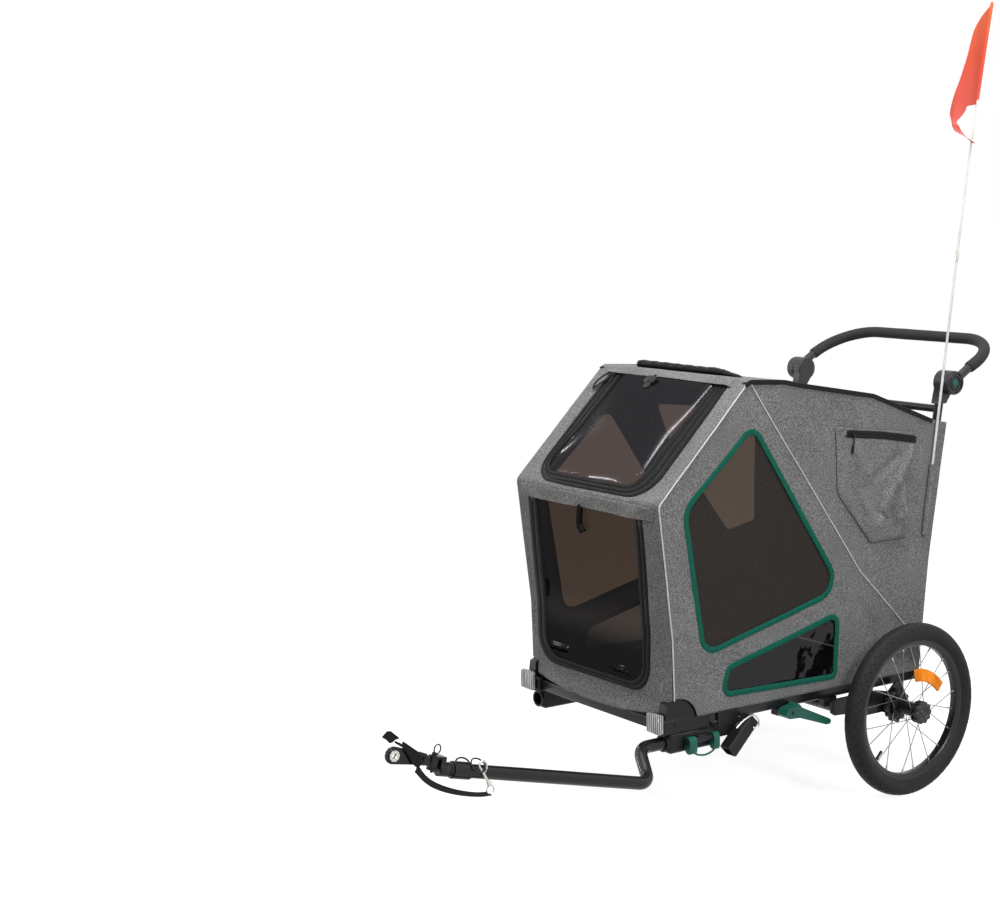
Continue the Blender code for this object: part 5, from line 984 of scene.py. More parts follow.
# %% Outline of the side wall
SKIN_X = 0.25
NOSE, PEAK = np.array([-0.7126, 0.7361]), np.array([-0.4606, 0.987])
KNEE, FOOT = np.array([-0.67, 0.4465]), np.array([-0.6622, 0.3116])
EAR, ARCH_R, SKIRT, REAR_HEM = np.array([-0.65, 0.256]), 0.0572, 0.2665, 0.2703
ROOF = [PEAK, (-0.3533, 0.9815), (-0.3075, 0.972), (-0.0744, 0.935), (0.129, 0.863), (0.1775, 0.854)]
REAR = [(0.107, SKIRT), (0.128, 0.531), (0.1585, 0.734), (0.1775, 0.854)]
ARCH_A = math.asin((SKIRT - EAR[1]) / ARCH_R)
ARCH_B = math.atan2(FOOT[1] - EAR[1], FOOT[0] - EAR[0])


def bottom_edge(count):
    """From the foot back over the casting on an arc, then straight along the rail."""
    t = np.linspace(ARCH_B, ARCH_A, 14)
    arc = EAR + ARCH_R * np.stack([np.cos(t), np.sin(t)], -1)
    return even(np.concatenate([[FOOT], arc[1:], [(0.107, SKIRT)]]), count)


def coons(bottom, right, top, left):
    """A patch from four edges: the blend of bottom and top, plus the blend of left and
    right, less the blend of the four corners. Bottom and top run the same way."""
    n, m = len(bottom), len(left)
    u, v = np.linspace(0, 1, n)[:, None, None], np.linspace(0, 1, m)[None, :, None]
    edges = (1 - v) * bottom[:, None] + v * top[:, None] + (1 - u) * left[None] + u * right[None]
    return edges - (1 - u) * ((1 - v) * bottom[0] + v * top[0]) - u * ((1 - v) * bottom[-1] + v * top[-1])


def rounded_outline(corners, radii, count=120):
    """A closed outline with rounded corners and evenly spaced points."""
    return even(bend(corners, radii, 10, closed=True), count, closed=True)


def inside(points, outline):
    """Even-odd rule: a point is inside if a line from it crosses the outline an odd
    number of times."""
    a, b = outline, np.roll(outline, -1, 0)
    px, py = points[:, :1], points[:, 1:]
    span = (a[None, :, 1] > py) != (b[None, :, 1] > py)
    rise = np.where(np.abs(b[:, 1] - a[:, 1]) < 1e-12, 1e-12, b[:, 1] - a[:, 1])
    cross_x = a[None, :, 0] + (py - a[None, :, 1]) * (b[:, 0] - a[:, 0])[None] / rise[None]
    return (span & (px < cross_x)).sum(1) % 2 == 1


def drop_loose(points, faces):
    """Removes points that no face uses, and numbers the rest anew."""
    used = np.unique(faces)
    new = np.full(len(points), -1)
    new[used] = np.arange(len(used))
    return points[used], new[faces]


def punch(flat, faces, *outlines):
    """Cuts holes: faces that lie wholly inside an outline go, and the corners that the
    others have inside it move to the outline's nearest point. Then the points that no
    face uses go."""
    flat, faces = flat.copy(), np.asarray(faces)
    for outline in outlines:
        hit = inside(flat, outline)
        faces = faces[~hit[faces].all(1)]
        move = np.unique(faces[hit[faces]])
        gap = np.linalg.norm(flat[move][:, None] - outline[None], axis=2)
        flat[move] = outline[gap.argmin(1)]
    return drop_loose(flat, faces)


def folds(flat, ridges):
    """Sum of bell-shaped ridges: height x exp(-(distance / width)^2) about a segment,
    fading over the last part of the segment."""
    out = np.zeros(len(flat))
    for (ay, az), (by, bz), height, width in ridges:
        a, d = np.array([ay, az]), np.array([by - ay, bz - az])
        t = np.clip(((flat - a) @ d) / (d @ d), -0.15, 1.15)
        off = np.linalg.norm(flat - a - t[:, None] * d, axis=1)
        out += height * np.exp(-(off / width) ** 2) * held(np.minimum(t + 0.15, 1.15 - t) / 0.3)
    return out


def ripple(flat, size, seed=0.0):
    """A gentle unevenness: a few sine waves in different directions."""
    y, z = flat.T
    waves = ((23, 9, 1, 0.5), (-11, 31, 2, 0.3), (47, 38, 1, 0.2))
    return size * sum(part * np.sin(a * y + b * z + k * seed) for a, b, k, part in waves)


# %% Windows of the side wall
WINDOW = rounded_outline([(-0.4432, 0.8992), (-0.6454, 0.7216), (-0.5824, 0.3904), (-0.1498, 0.4914)],
                         [0.036, 0.06, 0.046, 0.052], 260)
LOW_WINDOW = rounded_outline([(-0.5312, 0.2959), (-0.5094, 0.3664), (-0.1643, 0.4466), (-0.1681, 0.2857)],
                             [0.026, 0.026, 0.026, 0.02], 200)
REAR_WINDOW = rounded_outline([(-0.315, 0.9), (-0.262, 0.782), (-0.06, 0.534), (0.05, 0.556), (0.046, 0.862)],
                              [0.02, 0.08, 0.03, 0.02, 0.02], 180)


def beside(outline):
    """Directions across a closed outline, at each of its points."""
    t = unit(np.roll(outline, -1, 0) - np.roll(outline, 1, 0))
    return np.stack([-t[:, 1], t[:, 0]], -1)


def inset(outline, by):
    """The outline moved inwards along its own normals."""
    area = np.sum(outline[:, 0] * np.roll(outline[:, 1], -1) - np.roll(outline[:, 0], -1) * outline[:, 1])
    return outline + beside(outline) * by * np.sign(area)


SIDE_RIDGES = [((-0.655, 0.34), (-0.61, 0.52), 0.0016, 0.01),
               ((-0.63, 0.33), (-0.575, 0.385), -0.0018, 0.012),
               ((-0.668, 0.58), (-0.63, 0.63), 0.0012, 0.008), ((-0.672, 0.6), (-0.64, 0.66), -0.0012, 0.008),
               ((-0.665, 0.52), (-0.62, 0.5), 0.0011, 0.007),
               ((-0.662, 0.44), (-0.605, 0.43), -0.0012, 0.009), ((-0.46, 0.95), (-0.5, 0.88), 0.0012, 0.012),
               ((-0.43, 0.95), (-0.3, 0.75), -0.001, 0.012), ((-0.12, 0.5), (0.03, 0.33), 0.0012, 0.014),
               ((-0.09, 0.45), (-0.02, 0.3), -0.0016, 0.016), ((0.075, 0.8), (0.07, 0.52), -0.0012, 0.01),
               ((0.02, 0.56), (0.09, 0.48), 0.001, 0.018), ((-0.3, 0.93), (-0.22, 0.8), -0.0009, 0.02),
               ((-0.5, 0.4), (-0.2, 0.47), 0.001, 0.01)]


def side_depth(flat, seed=0.0):
    """How far the cloth stands out: folds and an even unevenness, held flat near the
    skirt and near the pole's sleeve."""
    d = folds(flat, SIDE_RIDGES) + ripple(flat, 0.0009, seed) - 0.0008
    hold = held((flat[:, 1] - SKIRT) / 0.05)
    sleeve = held((np.abs(flat[:, 0] - 0.117) - 0.01) / 0.02) + (flat[:, 1] < 0.58) * 1.0
    return d * hold * held(sleeve)


def side_cloth(holes, seed):
    """The patch between the four edges, with its windows punched out."""
    n, m = 190, 170
    front_edge = even([FOOT, KNEE, NOSE, PEAK], m)
    patch = coons(bottom_edge(n), even(REAR, m), even(ROOF, n), front_edge).reshape(-1, 2)
    patch, faces = punch(patch, grid_faces(n, m), *holes)
    return np.concatenate([(SKIN_X + side_depth(patch, seed))[:, None], patch], 1), faces


cuts = [inset(outline, 0.008) for outline in (WINDOW, LOW_WINDOW, REAR_WINDOW)]
left_wall, right_wall = side_cloth(cuts[:2], 0.0), mirror(side_cloth(cuts, 2.0))
for side, shape in (("L", left_wall), ("R", right_wall)):
    sheet("side_cloth_" + side, shape, CLOTH, "chassis", "cover_side_" + side)
print("side cloth faces:", len(left_wall[1]))


# %% [markdown]
# ### Window nets and their green binding
#
# A net is sewn behind each opening, and a folded green tape covers the raw edge. The
# tape is a closed strip: a low, rounded section carried round the window's outline,
# with tiny ripples where it turns the corners.


# %% Nets and bindings
NET_BEHIND = 0.0034


def shrink(outline, share, middle=None):
    """Rings of points that shrink from the outline to its middle: one ring for each
    share of the way that is left."""
    middle = outline.mean(0) if middle is None else middle
    return middle + (outline - middle)[None] * share[..., None]


def disc_patch(outline, rings, bulge, seed, ripple_size):
    """A net or film behind the wall's cloth, pushed out by the bulge times one minus
    the square of the distance from the middle."""
    s = np.linspace(1, 0.02, rings)[:, None]
    flat = shrink(inset(outline, 0.001), s)
    uneven = ripple(flat.reshape(-1, 2), ripple_size, seed).reshape(flat.shape[:2])
    depth = SKIN_X - NET_BEHIND + bulge * (1 - s ** 2) + uneven
    points = np.concatenate([depth[..., None], flat], -1).reshape(-1, 3)
    return points, tube_faces(*flat.shape[:2], first=False)


def tape(outline):
    """A rounded strip whose middle line lies half its width inside the outline."""
    width, height, pucker = 0.0135, 0.002, 0.00025
    line = inset(outline, width / 2)
    across, out = flat_oval(width, 2 * height, 12, 0.6, 0.75)
    run = np.arange(len(line))[:, None]
    flat = line[:, None] + beside(line)[:, None] * (across[None] * (1 + 0.04 * np.sin(run * 1.9)))[..., None]
    base = SKIN_X + side_depth(line)[:, None]
    x = base + out[None] + pucker * np.sin(run * 2.6 + across[None] * 900) * (out[None] > 0)
    return np.concatenate([x[..., None], flat], -1), grid_faces(len(line), len(out), True, True)


def net(outline):
    """The fine net of a window: nearly flat, with shallow ripples."""
    return disc_patch(outline, 16, -0.0015, 1.0, 0.0008)


both("window_net", net(WINDOW), SIDE_NET, BASE, ["side_mesh"], "mesh", sharp=0)
both("low_window_film", disc_patch(LOW_WINDOW, 24, -0.001, 3.0, 0.0014), LOW_FILM, BASE, slot="film", sharp=0)
make("rear_window_net", mirror(net(REAR_WINDOW)), SIDE_NET, "chassis", "rear_mesh_R", "mesh", sharp=0)
both("window_binding", tape(WINDOW), GREEN_TAPE, BASE, slot="green", close=True)
both("low_window_binding", tape(LOW_WINDOW), GREEN_TAPE, BASE, slot="green", close=True)
make("rear_window_binding", mirror(tape(REAR_WINDOW)), GREEN_TAPE, "chassis", slot="green", close=True)
print("window pieces:", sum("window" in n for n in MADE))


# %% [markdown]
# ### Piping
#
# A thin reflective cord is sewn into the seam along the front edge, and another runs
# down the wall from the peak. Both rise and fall with the folds of the wall.


# %% Piping on the seams
def cord_on_wall(line, radius, lift):
    """A thin round cord that follows the side wall's folds, a step above them."""
    line = even(line, 160)
    x = SKIN_X + side_depth(line) + lift
    return tube(np.concatenate([x[:, None], line], 1), radius, 10, up=(1, 0, 0.02))


DIAGONAL = [(-0.4545, 0.98), (-0.4, 0.9085), (-0.25, 0.717), (-0.1037, 0.53), (0.0544, 0.3825),
            (0.0935, 0.276)]
front_cord = bend([FOOT, KNEE, NOSE, PEAK], [0.05, 0.016], 8)
front_cord = np.vstack([front_cord[front_cord[:, 1] < 0.974], NOSE + 0.948 * (PEAK - NOSE)])
both("front_piping", cord_on_wall(front_cord + (0.001, 0.0), 0.0016, 0.0022), PIPING, BASE, slot="fabric",
     close=True)
both("slant_piping", cord_on_wall(bend(DIAGONAL, 0.05, 6), 0.0014, 0.0012), PIPING, BASE, slot="fabric",
     close=True)

# %% [markdown]
# ## The cloth cabin: front shell
#
# The front is one piece of cloth that runs from the skirt, up over the front fold and
# along the slope to the peak. It lifts with the front hoop. Its surface is the side
# view's line swept across the cabin: a point is given by how far across it lies and
# how far along the line, and a height above the cloth. The windows use the same map.

# %% Map of the front shell
SHELL_HALF = 0.2492
shell_corners = np.array([(-0.6822, 0.25), (-0.664, 0.3), KNEE, NOSE, PEAK, (-0.42, 0.9885)])
shell_line = even(bend(shell_corners, [0.05, 0.12, 0.014, 0.01], 12), 900)
shell_run = np.concatenate([[0], np.cumsum(np.linalg.norm(np.diff(shell_line, axis=0), axis=1))])
shell_dir = unit(np.gradient(shell_line, axis=0))
S_END = float(shell_run[-1] - 0.03)
front_rows = shell_run < shell_run[np.abs(shell_line - NOSE).sum(1).argmin()]


def s_at_height(z):
    """Distance along the line at a height, for the upright part below the fold."""
    return np.interp(z, shell_line[front_rows, 1], shell_run[front_rows])


S_NOSE = float(shell_run[~front_rows][0])


def bow(x, s):
    """The upright front is blown out a little between its side seams: 9 mm, times an
    arch from hem to fold, times one minus the fourth power of the distance across."""
    arch = np.sin(math.pi * held(s / S_NOSE) ** 0.8)
    return 0.009 * arch * (1 - held(np.abs(x) / SHELL_HALF) ** 4)


def on_shell(x, s, h=0.0):
    """Point = side view line at s, moved out along its normal by h, at x across."""
    x, s, h = np.broadcast_arrays(x, s, h + bow(x, s))
    y, z, dy, dz = (np.interp(s, shell_run, row) for row in (*shell_line.T, *shell_dir.T))
    return np.stack([x, y - dz * h, z + dy * h], -1)


SHELL_RIDGES = [((-0.235, S_NOSE - 0.035), (0.235, S_NOSE - 0.045), 0.0016, 0.01),
                ((0.13, S_NOSE - 0.045), (0.245, S_NOSE + 0.015), 0.0022, 0.012),
                ((0.16, S_NOSE), (0.245, S_NOSE - 0.05), -0.0022, 0.01),
                ((-0.245, S_NOSE - 0.01), (-0.15, S_NOSE - 0.035), 0.002, 0.01),
                ((-0.08, S_NOSE - 0.04), (0.03, S_NOSE - 0.012), 0.0014, 0.012),
                ((0.03, S_NOSE - 0.01), (0.12, S_NOSE - 0.04), -0.0014, 0.012),
                ((0.228, 0.1), (0.232, 0.3), -0.002, 0.011), ((-0.23, 0.08), (-0.232, 0.32), -0.002, 0.012),
                ((0.214, 0.04), (0.245, 0.12), 0.002, 0.012), ((-0.215, 0.04), (-0.245, 0.14), 0.002, 0.012),
                ((-0.2, 0.025), (0.16, 0.018), 0.0016, 0.008), ((-0.1, 0.012), (0.1, 0.03), -0.0012, 0.008),
                ((-0.225, S_NOSE + 0.05), (-0.2, S_NOSE + 0.28), -0.002, 0.013),
                ((0.228, S_NOSE + 0.06), (0.205, S_NOSE + 0.3), -0.0018, 0.012),
                ((-0.19, S_NOSE + 0.352), (0.2, S_NOSE + 0.354), 0.0012, 0.007),
                ((-0.14, S_NOSE + 0.362), (0.05, S_NOSE + 0.345), -0.0012, 0.009)]


def shell_height(x, s):
    """Folds and unevenness of the front cloth; none at its two side seams."""
    flat = np.stack([x, s], -1).reshape(-1, 2)
    h = folds(flat, SHELL_RIDGES) + ripple(flat, 0.0009, 1.3)
    return (h * held((SHELL_HALF - np.abs(flat[:, 0])) / 0.016)).reshape(np.shape(x))


def hem_height(x):
    """The lower edge: lowest in the middle, where the cloth hangs over the cross bar,
    and rising on an arc over each corner casting."""
    a = np.abs(x)
    over = held((a - 0.2177) / 0.0315)
    return np.where(a < 0.2177, 0.259 + 0.0193 * np.minimum(a / 0.2177, 1) ** 2.2,
                    0.2783 + 0.0334 * over ** 0.6)


# %% Windows in the front shell
# A flap's border lies between two outlines, and a third one between them is where the
# shell's cloth is cut. All share their upper edge, which the cloth's hem covers, so
# the black border shows at the sides and below only.


def bearing(outline):
    """Direction of each point from the outline's middle, with its box made square."""
    low, high = outline.min(0), outline.max(0)
    q = (outline - (low + high) / 2) / ((high - low) / 2)
    return np.arctan2(q[:, 1], q[:, 0])


def in_step(outline, other):
    """The outline's points at the bearings that the other outline's points have."""
    b = bearing(outline)
    order = np.argsort(b)
    return np.stack([np.interp(bearing(other), b[order], outline[order, k], period=2 * math.pi)
                     for k in (0, 1)], -1)


def flap_outline(left, right, bottom, radius, heights, belly):
    """Sides through three points each, from the hem to the lower corners."""
    top, middle = heights
    one, other = ([(x[0], top), (x[1], middle), (x[2], bottom)] for x in (left, right))
    return rounded_outline(one + other[::-1], [0.002, belly, radius, radius, belly, 0.002], 400)


def low_outline(left, right, bottom, radius):
    """In heights above the floor, below the fold."""
    xz = flap_outline(left, right, bottom, radius, (0.7078, 0.5), 0.9)
    return np.stack([xz[:, 0], s_at_height(xz[:, 1])], -1)


def slope_outline(left, right, bottom, radius):
    """In distances up the slope from the fold."""
    return flap_outline(left, right, bottom, radius, (0.3445, 0.17), 0.3) + (0, S_NOSE)


low_frame = low_outline((-0.211, -0.22, -0.224), (0.199, 0.194, 0.182), 0.311, 0.066)
low_inner = in_step(low_outline((-0.176, -0.178, -0.185), (0.172, 0.166, 0.159), 0.331, 0.05), low_frame)
slope_frame = slope_outline((-0.203, -0.205, -0.2055), (0.203, 0.205, 0.2055), 0.006, 0.072)
slope_inner = in_step(slope_outline((-0.156, -0.162, -0.186), (0.162, 0.144, 0.144), 0.036, 0.04),
                      slope_frame)


def shell_cloth():
    """Rows follow the side view line from the hem to just past the peak."""
    n, m = 150, 250
    x = np.linspace(-SHELL_HALF, SHELL_HALF, n)[:, None]
    x = SHELL_HALF * np.sin(x / SHELL_HALF * math.pi / 2 * 0.98) / math.sin(math.pi / 2 * 0.98)
    start = s_at_height(hem_height(x))
    s = start + (S_END - start) * np.linspace(0, 1, m)[None, :]
    flat = np.stack([np.broadcast_to(x, s.shape), s], -1).reshape(-1, 2)
    flat, faces = punch(flat, grid_faces(n, m), (low_frame + low_inner) / 2, (slope_frame + slope_inner) / 2)
    x, s = flat.T
    return on_shell(x, s, shell_height(x, s)), faces


sheet("front_shell", shell_cloth(), CLOTH_LIGHT, "hoop", ["cover_front", "cover_slope"], offset=1.0)
print("front line length:", round(S_END, 3), "fold at", round(S_NOSE, 3))


# %% [markdown]
# ### Front windows
#
# Each front window is a flap: a glossy film in a padded black border. The border is a
# ring of faces between two outlines whose height follows a section with two or three
# soft rolls, like tape folded over piping. The film bulges, because it was sewn in a
# little slack, and that is what makes its highlights.


# %% Borders and films
def two_skins(place, flat, over, under, closed=False):
    """A grid laid out twice by 'place': once at the height 'over', and once turned back
    below it at the height 'under', joined at its edges."""
    x, s = flat[..., 0], flat[..., 1]
    points = np.concatenate([place(x, s, over + 0 * x), place(x[:, ::-1], s[:, ::-1], under + 0 * x)], 1)
    return points, grid_faces(*points.shape[:2], closed, True)


def border_ring(outer, inner, count):
    """Between the outlines the height follows so many round rolls side by side, 2.6 mm
    high on a base of 1 mm."""
    lift, tape_base, top = 0.0006, 0.001, 0.0026
    share = np.linspace(0, 1, 14 * count + 1)
    ends = held(np.minimum(share, 1 - share) * 30)
    height = tape_base + top * np.abs(np.sin(math.pi * count * share)) ** 0.7 * ends
    fine = np.linspace(0, 1, 46)
    flat = outer[:, None] + (inner - outer)[:, None] * fine[None, :, None]
    return two_skins(on_shell, flat, lift + np.interp(fine, share, height)[None], lift, True)


def film_shape(outline, bulge, ripple_size, seed, creases=(), sag=0.0):
    """Rings shrink to the middle; height = bulge x (1 - distance^2)^0.72 plus a slow
    ripple that fades at the border, plus the creases."""
    outline = inset(outline, -0.002)
    s = 1 - 0.99 * np.linspace(0, 1, 70)[:, None] ** 1.8
    flat = shrink(outline, s)
    points = flat.reshape(-1, 2)
    wave, lines = (v.reshape(flat.shape[:2]) for v in (ripple(points * 0.8, ripple_size, seed),
                                                       folds(points, creases)))
    low = held((outline.mean(0)[1] - flat[..., 1]) / 0.2)
    h = 0.0012 + (bulge + wave + sag * low) * (1 - s ** 2) ** 0.72 + lines * held((1 - s) / 0.05)
    return on_shell(flat[..., 0], flat[..., 1], h), tube_faces(*flat.shape[:2], first=False)


low_s = [float(s_at_height(z)) for z in (0.358, 0.362, 0.352, 0.342)]
LOW_CREASES = [((-0.17, low_s[0]), (-0.08, low_s[1]), 0.0052, 0.008),
               ((0.07, low_s[2]), (0.118, low_s[2] + 0.002), 0.005, 0.0075),
               ((0.118, low_s[2]), (0.133, low_s[3]), 0.0044, 0.007)]
SLOPE_CREASES = [((a, S_NOSE + b), (c, S_NOSE + d), height, width) for a, b, c, d, height, width in (
    (-0.18, 0.122, -0.157, 0.139, 0.0028, 0.006), (-0.162, 0.053, -0.147, 0.076, 0.0034, 0.006),
    (-0.158, 0.033, -0.036, 0.039, 0.003, 0.006), (0.082, 0.032, 0.138, 0.033, 0.0032, 0.006),
    (0.134, 0.053, 0.137, 0.072, 0.003, 0.005), (0.159, 0.061, 0.16, 0.077, 0.0026, 0.005))]
low_film = film_shape(low_inner, 0.007, 0.004, 0.7, LOW_CREASES, 0.012)
slope_film = film_shape(slope_inner, 0.021, 0.0034, 2.1, SLOPE_CREASES)
for flap, node, border, film, finish in (
        ("front_flap", "window_lower", border_ring(low_frame, low_inner, 2), low_film, FRONT_FILM),
        ("slope_flap", "window_slope", border_ring(slope_frame, slope_inner, 3), slope_film, SLOPE_FILM)):
    make(flap + "_border", border, BLACK_TAPE, flap, node, "binding", close=True)
    make(flap + "_film", film, finish, flap, slot="film", sharp=0)
print("front windows made")


# %% [markdown]
# ### Hem over the lower window, straps and loops
#
# The cloth under the front fold ends in a hem that laps over the top of the lower
# window. Small straps hang there, to tie the rolled flap up. A narrow loop and a
# side-release buckle stand at the top of the sloped window.


# %% Hem, straps and buckles
def flat_strap(points, width, thickness, up, count=60):
    """A rounded flat section carried along a line of shell points (x, s, height)."""
    p = flow(np.asarray(points, float), count)
    line = on_shell(p[:, 0], p[:, 1], p[:, 2])
    return carry(line, np.stack(flat_oval(width, thickness, 14, 0.35, 0.6), -1), up=up)


def rounded_block(size, at_x, at_s, height):
    """A pebble-like block: a superellipse section at each level, laid on the shell."""
    u, v = np.meshgrid(circle(40), np.linspace(-math.pi / 2, math.pi / 2, 13), indexing="ij")
    power = 0.4
    level = np.abs(np.cos(v)) ** power
    x = size[0] / 2 * signed_power(np.cos(u), power) * level
    s = size[1] / 2 * signed_power(np.sin(u), power) * level
    h = size[2] / 2 * signed_power(np.sin(v), power)
    return on_shell(at_x + x, at_s + s, height + h), grid_faces(*u.shape, True, False)


def lap(s_low, tall, half, out):
    """A fold of the shell's cloth over a window's upper edge: its height falls from
    'out' at its free edge to nothing, and to nothing at its two ends."""
    n, m = 130, 12
    x, v = np.linspace(-half, half, n)[:, None], np.linspace(0, 1, m)[None, :]
    s = s_low + tall * v + 0.0008 * np.sin(x * 23 + 1) * (1 - v)
    ends = held((half - np.abs(x)) / 0.012) ** 0.5
    h = 0.0004 + out * ends * (1 - v) ** 0.5
    flat = stacked(x, s)
    h = h + shell_height(flat[..., 0], s)
    return two_skins(on_shell, flat, h, np.maximum(h[:, ::-1] - 0.0016, -0.0004))


S_HEM = float(s_at_height(0.705))
make("window_hem", lap(S_HEM - 0.0015, 0.03, 0.236, 0.0062), CLOTH_LIGHT, "hoop", slot="fabric", close=True)
low_pull = [(-0.008, S_HEM + 0.004, 0.007), (-0.009, S_HEM - 0.018, 0.0105), (-0.01, S_HEM - 0.04, 0.0115),
            (-0.004, S_HEM - 0.058, 0.0085)]
make("front_flap_strap", merge(flat_strap(low_pull, 0.018, 0.002, (1, 0, 0)),
                               rounded_block((0.024, 0.016, 0.006), -0.006, S_HEM - 0.046, 0.0125)),
     STRAP_CLOTH, "front_flap", slot="binding", close=True)
left_hook = [(-0.171, S_HEM - 0.195, 0.005), (-0.164, S_HEM - 0.212, 0.0075), (-0.17, S_HEM - 0.236, 0.005)]
make("front_flap_hook", flat_strap(left_hook, 0.006, 0.0014, (1, 0, 0)), STRAP_CLOTH, "front_flap",
     slot="binding", close=True)
S_TOP = S_NOSE + 0.331
make("slope_hem", lap(S_TOP - 0.0008, 0.028, 0.214, 0.0088), CLOTH_LIGHT, "hoop", slot="fabric", close=True)
loop_tie = [(-0.176, S_TOP - 0.004, 0.006), (-0.196, S_TOP - 0.012, 0.012), (-0.214, S_TOP - 0.036, 0.01),
            (-0.212, S_TOP - 0.052, 0.0065), (-0.201, S_TOP - 0.04, 0.0075), (-0.183, S_TOP - 0.014, 0.0085)]
make("slope_flap_loop", flat_strap(loop_tie, 0.0075, 0.0013, (0, -1, 1), 90), STRAP_CLOTH, "slope_flap",
     slot="binding", close=True)
slope_pull = [(-0.03, S_TOP + 0.001, 0.0062), (-0.03, S_TOP - 0.012, 0.0125), (-0.028, S_TOP - 0.026, 0.015)]
make("slope_flap_buckle", merge(flat_strap(slope_pull, 0.014, 0.0014, (1, 0, 0)),
                                rounded_block((0.032, 0.022, 0.0075), -0.029, S_TOP - 0.017, 0.0165),
                                rounded_block((0.018, 0.016, 0.0055), -0.027, S_TOP - 0.034, 0.0165)),
     PLASTIC, "slope_flap", slot="black_plastic", close=True)


# %% [markdown]
# ### Roof, sun cover roll and rear wall
#
# The roof is the side view's upper line swept across, a little sunk between the hoop
# and the rear frame. Black zips run down both of its long edges. The rolled sun cover
# lies across the front of it, tied down, so its roll is flattened and uneven.

# %% Roof and its zips
roof_line = even(bend([(-0.4555, 0.9872), *ROOF[1:-1], (0.177, 0.854)], [0.05, 0.05, 0.1, 0.03], 8), 150)


def roof_cloth():
    """Height sinks by up to 6 mm in the middle, times a sine along and a cosine across."""
    n, m = 90, 150
    x = np.linspace(-SHELL_HALF, SHELL_HALF, n)[:, None]
    along = np.linspace(0, 1, m)[None, :]
    over = np.cos(math.pi * x / (2 * SHELL_HALF))
    flat = stacked(x, along * 0.65).reshape(-1, 2)
    wave = ripple(flat, 0.0012, 4.0).reshape(n, m) * over
    z = roof_line[None, :, 1] - 0.006 * np.sin(math.pi * along) * over ** 0.8 + wave
    points = stacked(x, roof_line[None, :, 0], z)
    post = (np.abs(points[..., 0]) > 0.2178) & (points[..., 1] > 0.136)
    faces = grid_faces(n, m)
    return drop_loose(points.reshape(-1, 3), faces[~post.reshape(-1)[faces].any(1)])


sheet("roof_cloth", roof_cloth(), CLOTH, "chassis", "cover_roof", flip=True)


def edge_zip(sign):
    """A dark tape that lies over the corner of roof and wall, in an L-shaped section."""
    line = roof_line[(roof_line[:, 1] > 0.8635) & (roof_line[:, 0] < 0.128)]
    line = np.concatenate([[(-0.47, 0.9805)], line])
    path = np.stack([np.full(len(line), sign * 0.25), line[:, 0], line[:, 1]], -1)
    section = [(-0.012, 0.0012), (0.0008, 0.0016), (0.0022, 0.0004), (0.002, -0.0085), (0.0006, -0.0085),
               (0.0002, -0.0004), (-0.012, -0.0002)]
    return carry(even(path, 140), np.array(section) * (sign, 1))


for sign, side in ((1, "L"), (-1, "R")):
    make("roof_zip_" + side, edge_zip(sign), ZIP_TAPE, "chassis", slot="binding", close=True)


# %% Rolled sun cover
def roll_shape():
    """Section: a flattened circle with an overlapped edge; size falls from the full
    roll to a tucked point on the left, as the photograph shows it."""
    n = 150
    x = np.linspace(-0.1675, 0.1835, n)
    key = [-0.1675, -0.163, -0.15, -0.05, 0.05, 0.105, 0.125, 0.15, 0.172, 0.1835]
    tall = np.interp(x, key, [0.0058, 0.0082, 0.0086, 0.0084, 0.008, 0.0084, 0.007, 0.0048, 0.003, 0.0012])
    wide = np.interp(x, key, [0.007, 0.01, 0.0112, 0.011, 0.011, 0.0112, 0.0105, 0.009, 0.007, 0.004])
    tall = tall * (1 + 0.03 * np.sin(x * 160) + 0.02 * np.sin(x * 410 + 1))
    a = circle(28)[None]
    overlap = 1 + 0.1 * np.exp(-((a - 2.2) / 0.25) ** 2)
    y = -0.42 + wide[:, None] * np.cos(a) * overlap
    base = np.interp(-0.42, roof_line[:, 0], roof_line[:, 1]) + 0.0008
    z = base + tall[:, None] * (1 + np.sin(a) * overlap)
    return stacked(x[:, None], y, z), tube_faces(*y.shape)


make("sun_cover_roll", roll_shape(), BLACK_TAPE, "chassis", "roof_roll", "binding", close=True)


# %% Rear wall and its door
REAR_LINE = even(REAR, 120)
rear_dir = unit(np.gradient(REAR_LINE, axis=0))


def on_rear(x, z, h=0.0):
    """A point of the rear wall at a height, moved out along its normal by h."""
    y, dy, dz = (np.interp(z, REAR_LINE[:, 1], row) for row in (REAR_LINE[:, 0], *rear_dir.T))
    return np.stack([x + 0 * z, y + dz * h, z - dy * h], -1)


DOOR = rounded_outline([(-0.19, 0.8), (-0.19, 0.33), (0.19, 0.33), (0.19, 0.8)], 0.05, 240)
REAR_RIDGES = [((-0.24, 0.36), (-0.2, 0.6), 0.0016, 0.014), ((0.24, 0.36), (0.205, 0.62), -0.0018, 0.014),
               ((-0.18, 0.29), (0.18, 0.3), 0.0014, 0.01), ((-0.15, 0.83), (0.15, 0.825), -0.0014, 0.01)]


def rear_cloth():
    """Rows and columns up the rear line, with folds that end at the side seams, and
    the door's opening cut out."""
    n, m = 110, 130
    x, z = np.meshgrid(np.linspace(-SHELL_HALF, SHELL_HALF, n), np.linspace(REAR_HEM, 0.8535, m),
                       indexing="ij")
    flat, faces = punch(np.stack([x, z], -1).reshape(-1, 2), grid_faces(n, m), inset(DOOR, 0.012))
    h = (folds(flat, REAR_RIDGES) + ripple(flat, 0.001, 5.0)) * held((SHELL_HALF - np.abs(flat[:, 0])) / 0.02)
    return on_rear(flat[:, 0], flat[:, 1], h - 0.001), faces


sheet("rear_cloth", rear_cloth(), CLOTH, "chassis", "cover_rear", flip=True)


